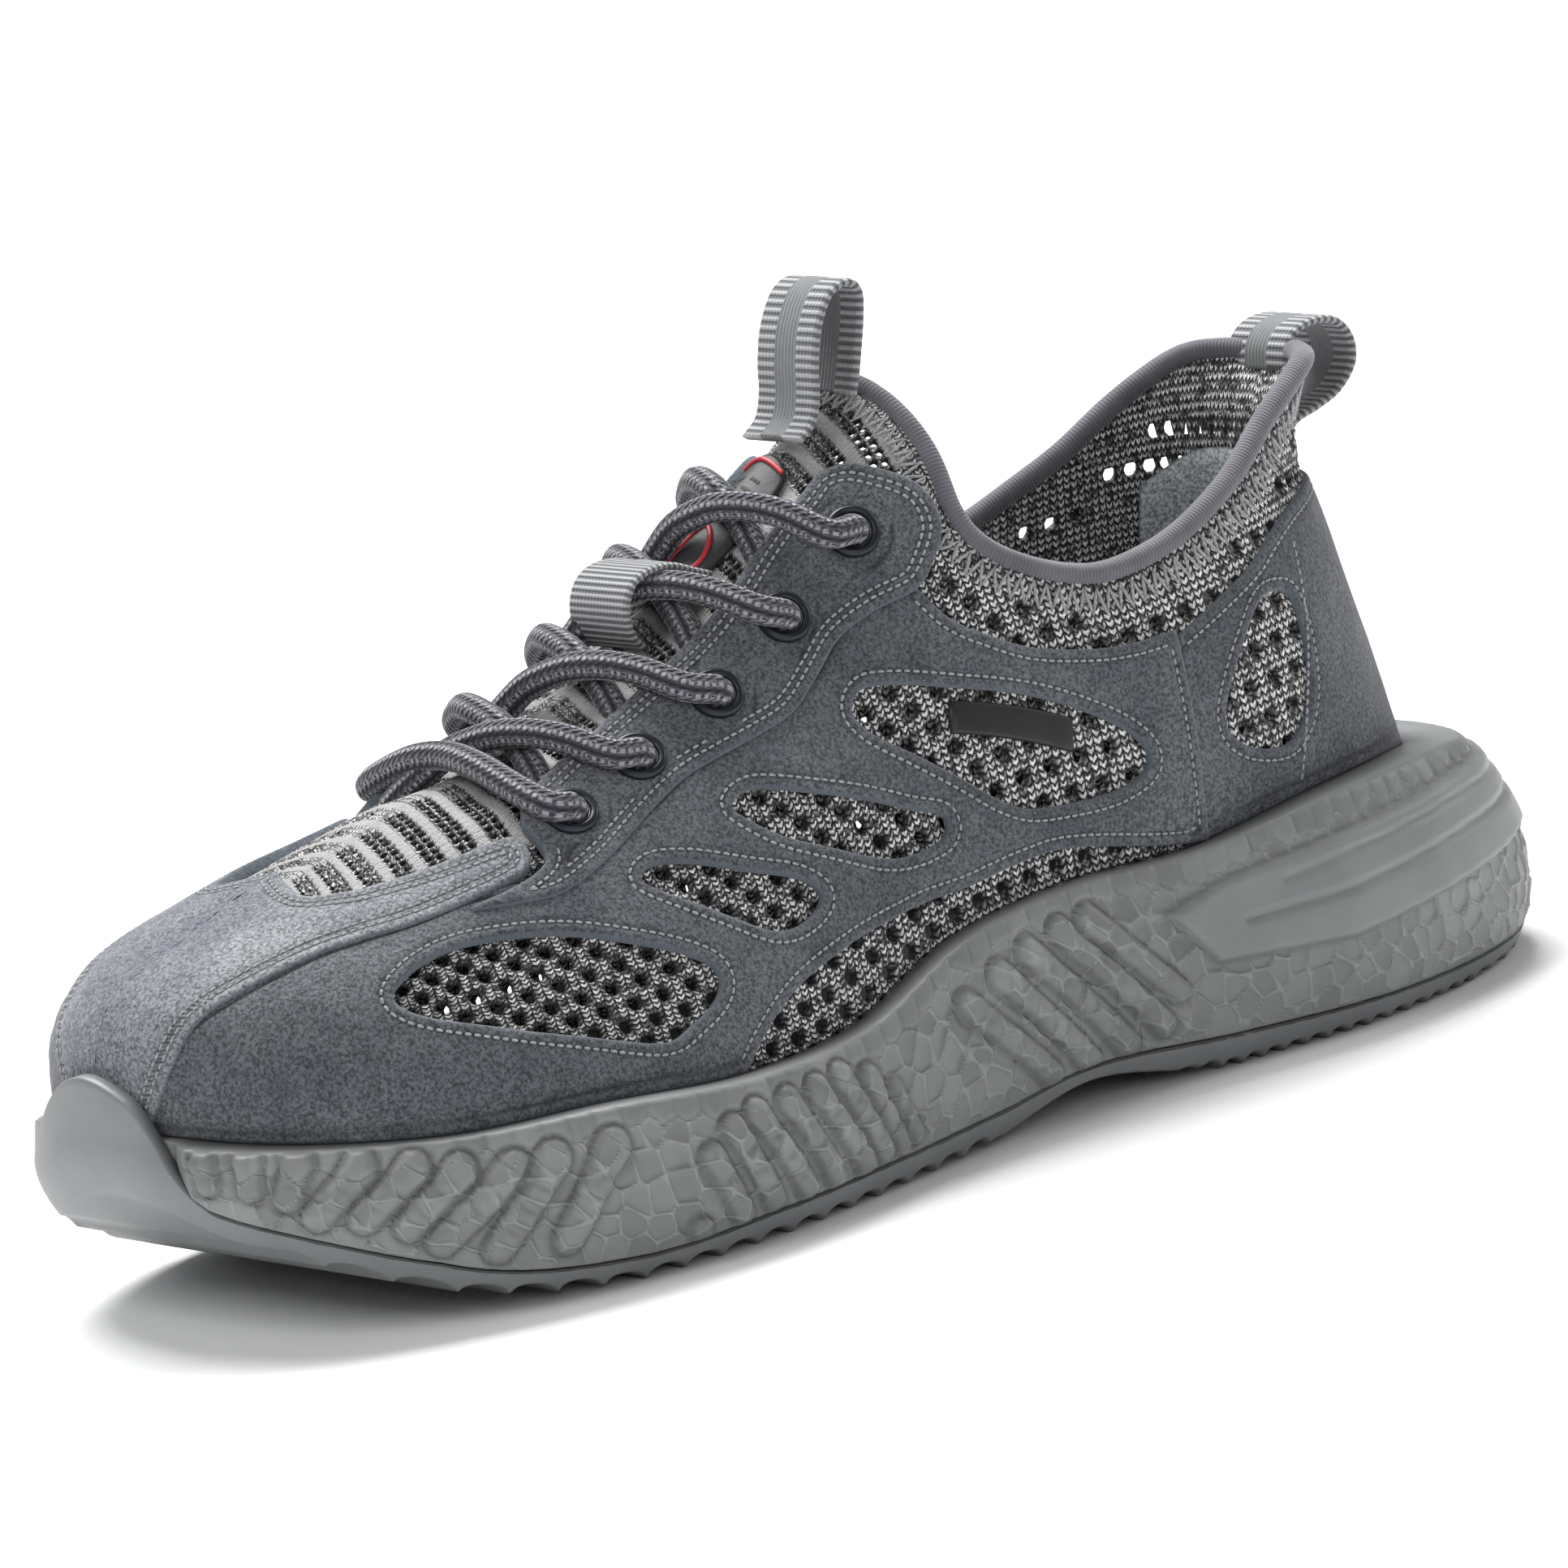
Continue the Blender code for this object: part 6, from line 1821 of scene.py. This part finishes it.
def opening_line(step, offset):
    """The opening's edge: chart places, sides, world points, and the way up out of the shoe."""
    half = resample(OPENING, step, closed=False)
    places = np.vstack([half, half[1:-1][::-1]])
    sides = np.concatenate([np.full(len(half), -1.0), np.full(len(half) - 2, 1.0)])
    up = up_of(*places.T, sides)
    middle = last_offset(places[:, 0], up, sides, np.full(len(places), offset))
    along = unit(np.roll(middle, -1, axis=0) - np.roll(middle, 1, axis=0))
    away = unit(np.cross(along, last_normal(places[:, 0], up, sides)))
    return places, sides, middle, away if np.mean(away[:, 2]) > 0 else -away


def smooth_closed(values, rounds):
    """A closed run with each place drawn towards its neighbours."""
    for _ in range(rounds):
        values = 0.25 * np.roll(values, 1, axis=0) + 0.5 * values + 0.25 * np.roll(values, -1, axis=0)
    return values


# How deep the binding grips the knit, and the zigzag thread below it
BINDING_GRIP = 0.0010
ZIGZAG_TOP = 0.0016
ZIGZAG_LOW = 0.0062
ZIGZAG_PITCH = 0.0026
ZIGZAG_RADIUS = 0.00030


def lines_below_opening(places, sides, away):
    """Closed lines over the knit at the zigzag's top, middle and low edge."""
    lines = []
    for drop in (ZIGZAG_TOP, 0.5 * (ZIGZAG_TOP + ZIGZAG_LOW), ZIGZAG_LOW):
        moved = np.array(places)
        for side in (-1, 1):
            here = sides == side
            start = places[here].clip([SEAM, -1], [TOE_ROW, 1 - 2 * SEAM])
            moved[here] = chart_shift(start, -away[here] * drop, side)
        section, above = np.maximum(moved[:, 0], 0), np.minimum(moved[:, 1], 1)
        height = np.full(len(section), KNIT_FACE + ZIGZAG_RADIUS)
        line = smooth_closed(last_offset(section, up_of(section, above, sides), sides, height), 3)
        lines.append(np.vstack([line, line[:1]]))
    return lines


def add_binding():
    """The bound edge of the opening and the zigzag seam under it."""
    places, sides, middle, away = opening_line(0.0015, KNIT_FACE - UPPER_WALL / 2)
    centre = smooth_closed(middle + away * (BINDING_DIAMETER / 2 - BINDING_GRIP), 4)
    binding = add_tube("binding_tape", centre, BINDING_DIAMETER / 2, BINDING, closed=True, count=20)
    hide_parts("collar_binding")
    lines = lines_below_opening(places, sides, away)
    run = length_along(lines[0])
    count = int(run[-1] / ZIGZAG_PITCH)

    def at_place(share, depth):
        top, middle, low = (read_along(line, run, [share * run[-1] / count])[0] for line in lines)
        rise, level, fall = (1 - depth) * (1 - 2 * depth), 4 * depth * (1 - depth), depth * (2 * depth - 1)
        return top * rise + middle * level + low * fall

    points = []
    for index in range(count):
        points += [at_place(index + 0.5 * depth, depth) for depth in (0.0, 0.33, 0.67)]
        points += [at_place(index + 0.5 + 0.5 * (1 - depth), depth) for depth in (1.0, 0.67, 0.33)]
    add_tube("collar_zigzag", points, ZIGZAG_RADIUS, ZIGZAG, closed=True, count=6)


def place_on_last(section, above, side):
    """A place's point on the last and its outward normal."""
    up = up_of(section, above, side)
    return last_point(np.array([section]), up, side)[0], last_normal(np.array([section]), up, side)[0]


def plane_axes(normal, guide):
    """Two directions across a normal."""
    sideways = unit(np.cross(normal, guide))
    return sideways, np.cross(normal, sideways)


def circle_around(axes, radius, count):
    """A circle around the origin in the plane of two axes."""
    turns = turns_of(count)
    return radius * (np.outer(np.cos(turns), axes[0]) + np.outer(np.sin(turns), axes[1]))


# The eyelet's rolled rim: points across it, and its height as a share of the flange's.
# The lip, a pale metal ring that paints the highlight on the bore's edge: its height over the stay, how far
# outside the bore it lies, and its radius.
RIM_POINTS = 9
RIM_HEIGHT = 1.25
LIP_HEIGHT = 0.00045
LIP_INSET = 0.00012
LIP_RADIUS = 0.00024


def add_eyelet(name, section, above, side):
    """A flanged ring with a rolled rim and its barrel through the stay and the knit."""
    point, normal = place_on_last(section, above, side)
    seat = OVERLAY_HIGH + RAISED
    bore, barrel, flange = EYELET_BORE / 2, EYELET_BORE / 2 + EYELET_WALL, EYELET_FACE / 2
    profile = [(bore, KNIT_INSIDE - FIT_GAP), (barrel, KNIT_INSIDE - FIT_GAP), (barrel, seat), (flange, seat)]
    half = 0.5 * (flange - bore)
    for turn in np.linspace(0.05 * pi, 0.92 * pi, RIM_POINTS):
        stand = EYELET_FLANGE * RIM_HEIGHT * np.sin(turn) ** 0.8
        profile.append((bore + half + half * np.cos(turn), seat + stand + 0.00015))
    profile.append((bore, seat - 0.0002))
    axes = plane_axes(normal, (1, 0, 0))
    count, steps = 48, len(profile)
    directions = circle_around(axes, 1, count)
    points = [point + radius * out + height * normal for out in directions for radius, height in profile]
    faces = []
    for i in range(count):
        faces += ring_faces(steps, i * steps, (i + 1) % count * steps)
    made = new_object(f"{name}_ring", points, faces, EYELET)
    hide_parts(name)
    # The pale ring at the bore paints the eyelet's highlight
    lip = point + normal * (seat + LIP_HEIGHT) + circle_around(axes, bore + LIP_INSET, count)
    lip = add_tube(f"{name}_lip", lip, LIP_RADIUS, EYELET_HIGHLIGHT, closed=True, count=8)


def add_strand(name, path):
    """One strand of the lace."""
    path = even_path(smooth_path(path, 12), 0.0007)
    made = add_tube(f"{name}_cord", path, LACE_RADIUS, LACE, count=20)
    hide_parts(name)


def add_laces():
    """Crossed strands between the eyelet rows, and a straight one at the toe end."""
    last_row = len(EYELETS) - 1
    for row in range(last_row):
        add_strand(f"lace_over_{row + 1}", lace_route(row, -1, OVER_STRAND))
        add_strand(f"lace_under_{row + 1}", lace_route(row, 1, UNDER_STRAND))
    halves = [lace_route(last_row, side, BAR_STRAND) for side in (-1, 1)]
    add_strand(f"lace_over_{last_row + 1}", halves[0] + halves[1][:-1][::-1])


def loop_line(path):
    """World points of a pull loop's path."""
    rows = np.asarray(path, float)
    return np.column_stack([SOLE_LENGTH * (0.5 - rows[:, 0]), 0 * rows[:, 0], rows[:, 1] * INSTEP_HEIGHT])


# The keeper's path over the tongue: section numbers and heights above the knit in millimetres
KEEPER_PATH = [
    (6.72, 0.6), (6.80, 3.6), (6.92, 7.8), (7.08, 10.4), (7.22, 10.6), (7.34, 8.2), (7.40, 4.2), (7.38, 0.8),
]
TONGUE_MIDDLE = 0.999


def keeper_line():
    """World points of the lace keeper's path."""
    rows = []
    for section, height in KEEPER_PATH:
        point, normal = place_on_last(section, TONGUE_MIDDLE, -1)
        rows.append(point + normal * (KNIT_FACE - tongue_sink(section, TONGUE_MIDDLE) + height / 1000))
    return np.array(rows) * np.array([1, 0, 1])


# Points across a strap, and how its edges are rounded: the power, where it starts and the least thickness
STRAP_POINTS = 25
STRAP_ROUND = 24
STRAP_FULL = 1.2
STRAP_THIN = 0.35


def add_band(name, line, look):
    """A flat strap with rounded edges across the shoe's middle."""
    line = even_path(smooth_path(line, 16), 0.0006)
    along = unit(np.gradient(line, axis=0))
    face = np.column_stack([-along[:, 2], 0 * along[:, 0], along[:, 0]])
    across = np.linspace(-1, 1, STRAP_POINTS)
    across = np.concatenate([across, across[::-1]])
    height = np.concatenate([np.ones(STRAP_POINTS), -np.ones(STRAP_POINTS)])
    height = height * np.clip(STRAP_FULL - np.abs(across) ** STRAP_ROUND, STRAP_THIN, 1)
    across = across * WEBBING_WIDTH / 2
    points = line[:, None, :] + across[None, :, None] * np.array([0.0, 1.0, 0.0])
    points = points + (height * WEBBING_THICKNESS / 2)[None, :, None] * face[:, None, :]
    uvs = np.stack(np.meshgrid(length_along(line), across, indexing="ij"), axis=-1).reshape(-1, 2)[:, ::-1]
    width, total = len(across), len(line)
    faces = []
    for i in range(total - 1):
        faces += ring_faces(width, i * width, (i + 1) * width)
    faces += [range(width)[::-1], range((total - 1) * width, total * width)]
    made = new_object(f"{name}_strap", points.reshape(-1, 3), faces, look, uvs)
    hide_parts(name)


# A plate's rounded rim: how far it drops and over which distance
RIM_DROP = 0.00035
RIM_WIDTH = 0.0006


def add_plate(name, outline, low, high, look, sides):
    """A thin moulded plate on the last with a rounded rim."""
    places, triangles, distance = panel_mesh(resample(outline, 0.0010), [], [0.0003, 0.0007], 0.0016)
    pairs = wall_edges(places, triangles, sides)
    drop = RIM_DROP * np.clip(1 - distance / RIM_WIDTH, 0, 1) ** 2
    foot = np.arange(len(places)) + len(places)
    points, faces, charts = [], [], []
    for side in sides:
        start = sum(len(group) for group in points)
        points += [on_last(places, side, high - drop), on_last(places, side, low)]
        faces += skin_faces(triangles, side, start) + wall_faces(pairs, foot, side, start)
        run = (places[:, 0] - places[:, 0].min()) * CHART[0]
        charts += [np.column_stack([on_last(places, side, 0)[:, 1], run])] * 2
    made = new_object(f"{name}_plate", np.vstack(points), faces, look, np.vstack(charts))
    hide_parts(name)


# Trim on the tongue label. Lines: their sections and where they start. Oval: its section, half its length
# and half its width. Pits: the first row's section, their pitch, their radius and their sides.
LABEL_LINES = [5.80, 6.24]
LINE_START = 0.860
LINE_RADIUS = 0.00050
LABEL_OVAL = (6.58, 0.0050, 0.0098)
OVAL_RADIUS = 0.00052
LABEL_PITS = (5.95, 0.0020, 0.00045, 12)
PIT_COLUMNS = (-4, -3, -2, 2, 3, 4)
TONGUE_SIDE = 0.082


def add_trim():
    """Raised generic trim on the tongue label: two cross lines, an oval rim and rows of small pits."""
    top = LABEL_HIGH + 0.00010
    for number, section in enumerate(LABEL_LINES):
        reach = np.linspace(LINE_START, 1 - SEAM, 30)
        near, far = (on_last(np.column_stack([np.full(30, section), reach]), side, top) for side in (-1, 1))
        line = np.vstack([near, far[::-1][1:]])
        add_tube(f"label_line_{number + 1}", line, LINE_RADIUS, LABEL_TRIM, count=10)
    section, length, width = LABEL_OVAL
    turns = turns_of(96)
    above = np.minimum(1 - np.abs(np.sin(turns)) * width / TONGUE_SIDE, 1 - SEAM)
    spots = np.column_stack([section + np.cos(turns) * length / CHART[0], above])
    oval = np.where((np.sin(turns) < 0)[:, None], on_last(spots, -1, top), on_last(spots, 1, top))
    add_tube("label_oval", smooth_closed(oval, 3), OVAL_RADIUS, LABEL_TRIM, closed=True, count=10)
    first, pitch, radius, count = LABEL_PITS
    points, faces = [], []
    for row in range(3):
        for col in PIT_COLUMNS:
            section = first + row * pitch / CHART[0]
            above = 1 - abs(col + (0.5 if row % 2 else 0)) * pitch * 0.85 / TONGUE_SIDE
            centre, normal = place_on_last(section, above, -1 if col < 0 else 1)
            centre = centre + normal * (LABEL_HIGH + 0.00006 - tongue_sink(section, above))
            start = len(points)
            points += list(centre + circle_around(plane_axes(normal, (0, 1, 0)), radius, count))
            points.append(centre + normal * 0.00008)
            faces += [(start + k, start + (k + 1) % count, start + count) for k in range(count)]
    new_object("label_pits", points, faces, PIT_BLACK)


# The lining patch inside the heel: section numbers and shares above the sole
LINING_PATCH = [
    (0.0, 0.16), (0.0, 0.16), (2.02, 0.16), (2.02, 0.16), (2.04, 0.26), (1.96, 0.335), (1.96, 0.335),
    (1.1, 0.370), (0.0, 0.375), (0.0, 0.375), (0.0, 0.16),
]


def add_lining():
    """The suede lining patch inside the heel, under the binding."""
    places, triangles, distance = panel_mesh(resample(LINING_PATCH, 0.0020), [], [0.0008], 0.0045)
    offset = KNIT_INSIDE - 0.0004 - 0.0010 * np.clip(distance / 0.0012, 0, 1)
    points, faces = [], []
    for side in (-1, 1):
        faces += skin_faces(triangles, -side, len(places) * len(points))
        points.append(on_last(places, side, offset))
    edge = np.tile(np.clip(1 - distance / CUT_EDGE, 0, 1), 2)
    made = new_object("heel_lining", np.vstack(points), faces, LINING, np.tile(places * CHART, (2, 1)),
                      {"edge": edge, "groove": 0 * edge}, merge=False)


add_outsole()
add_midsole()
add_insole()
make_overlays()
make_knit()
add_binding()
for SIDE, LABELLED in SIDE_NAMES.items():
    for ROW, (SECTION, ABOVE) in enumerate(EYELETS):
        add_eyelet(f"eyelet_{LABELLED}_{ROW + 1}", SECTION, ABOVE, SIDE)
add_laces()
add_band("tongue_loop", loop_line(TONGUE_LOOP), LOOP_WEBBING)
add_band("heel_loop", loop_line(HEEL_LOOP), LOOP_WEBBING)
add_band("lace_keeper", keeper_line(), KEEPER_WEBBING)
add_plate("side_tag", TAG, OVERLAY_LOW, OVERLAY_LOW + TAG_THICKNESS, TAG_RUBBER, (-1,))
add_plate("tongue_label", LABEL, OVERLAY_LOW, LABEL_HIGH, LABEL_RUBBER, (-1, 1))
add_trim()
add_lining()


# Floor, lights and camera
def add_floor():
    """The plain ground."""
    size = 6.0
    mesh = bpy.data.meshes.new("floor")
    corners = [(-size, -size, 0), (size, -size, 0), (size, size, 0), (-size, size, 0)]
    mesh.from_pydata(corners, [], [(0, 1, 2, 3)])
    floor = add_to_scene("floor", mesh)
    look = Look("floor_paint")
    tone = look.mix(look.noise(3.0), (0.86, 0.865, 0.87), (0.88, 0.885, 0.89))
    mesh.materials.append(look.finish(tone, 0.9, Specular_IOR_Level=0.2))


LIGHT_AIM = Vector((0.0, 0.0, 0.05))


def add_light(name, place, size, power):
    """A soft rectangular light that looks at the shoe."""
    data = bpy.data.lights.new(name, "AREA")
    data.shape = "RECTANGLE"
    data.size, data.size_y = size
    data.energy = power
    light = add_to_scene(name, data)
    light.location = place
    light.rotation_euler = (LIGHT_AIM - Vector(place)).to_track_quat("-Z", "Y").to_euler()


# The photograph's view: turn about the shoe, height of the view, roll, distance and aim
VIEW_TURN = radians(-37.489)
VIEW_RISE = radians(11.61)
VIEW_ROLL = radians(8.819)
VIEW_DISTANCE = 2.52499
VIEW_AIM = np.array([-0.002499, 0.0, 0.061528]) + SHIFT
SENSOR = 36.0

# The focal length and the photograph's width in its pixels
FOCAL_PIXELS = 17862.3
PHOTO_WIDTH = 1932
LENS = FOCAL_PIXELS / PHOTO_WIDTH * SENSOR


def add_camera():
    """The camera of the photograph."""
    right = np.array([np.cos(VIEW_TURN), np.sin(VIEW_TURN), 0.0])
    level = np.array([np.sin(VIEW_TURN), -np.cos(VIEW_TURN), 0.0])
    back = level * np.cos(VIEW_RISE) + np.array([0.0, 0.0, np.sin(VIEW_RISE)])
    up = np.cross(back, right)
    turned_right = np.cos(VIEW_ROLL) * right - np.sin(VIEW_ROLL) * up
    turned_up = np.sin(VIEW_ROLL) * right + np.cos(VIEW_ROLL) * up
    data = bpy.data.cameras.new("camera")
    data.sensor_width = SENSOR
    data.lens = LENS
    data.clip_end = 50.0
    camera = add_to_scene("camera", data)
    place = Matrix(np.column_stack([turned_right, turned_up, back]).tolist()).to_4x4()
    place.translation = Vector(VIEW_AIM + VIEW_DISTANCE * back)
    camera.matrix_world = place
    bpy.context.scene.camera = camera


add_floor()
add_light("top_back", (0.35, 0.85, 1.75), (1.3, 1.0), 74.0)
add_light("top_toe", (-1.2, 0.1, 1.3), (0.9, 0.9), 10.0)
add_light("front", (-0.7, -1.7, 0.9), (1.2, 0.8), 6.5)
add_light("heel", (1.6, -0.4, 0.9), (0.7, 0.9), 6.0)
world = bpy.data.worlds.new("studio")
world.use_nodes = True
world.node_tree.nodes["Background"].inputs["Color"].default_value = (1.0, 1.0, 1.0, 1)
world.node_tree.nodes["Background"].inputs["Strength"].default_value = 0.23
bpy.context.scene.world = world
bpy.context.scene.view_settings.view_transform = "Standard"
add_camera()
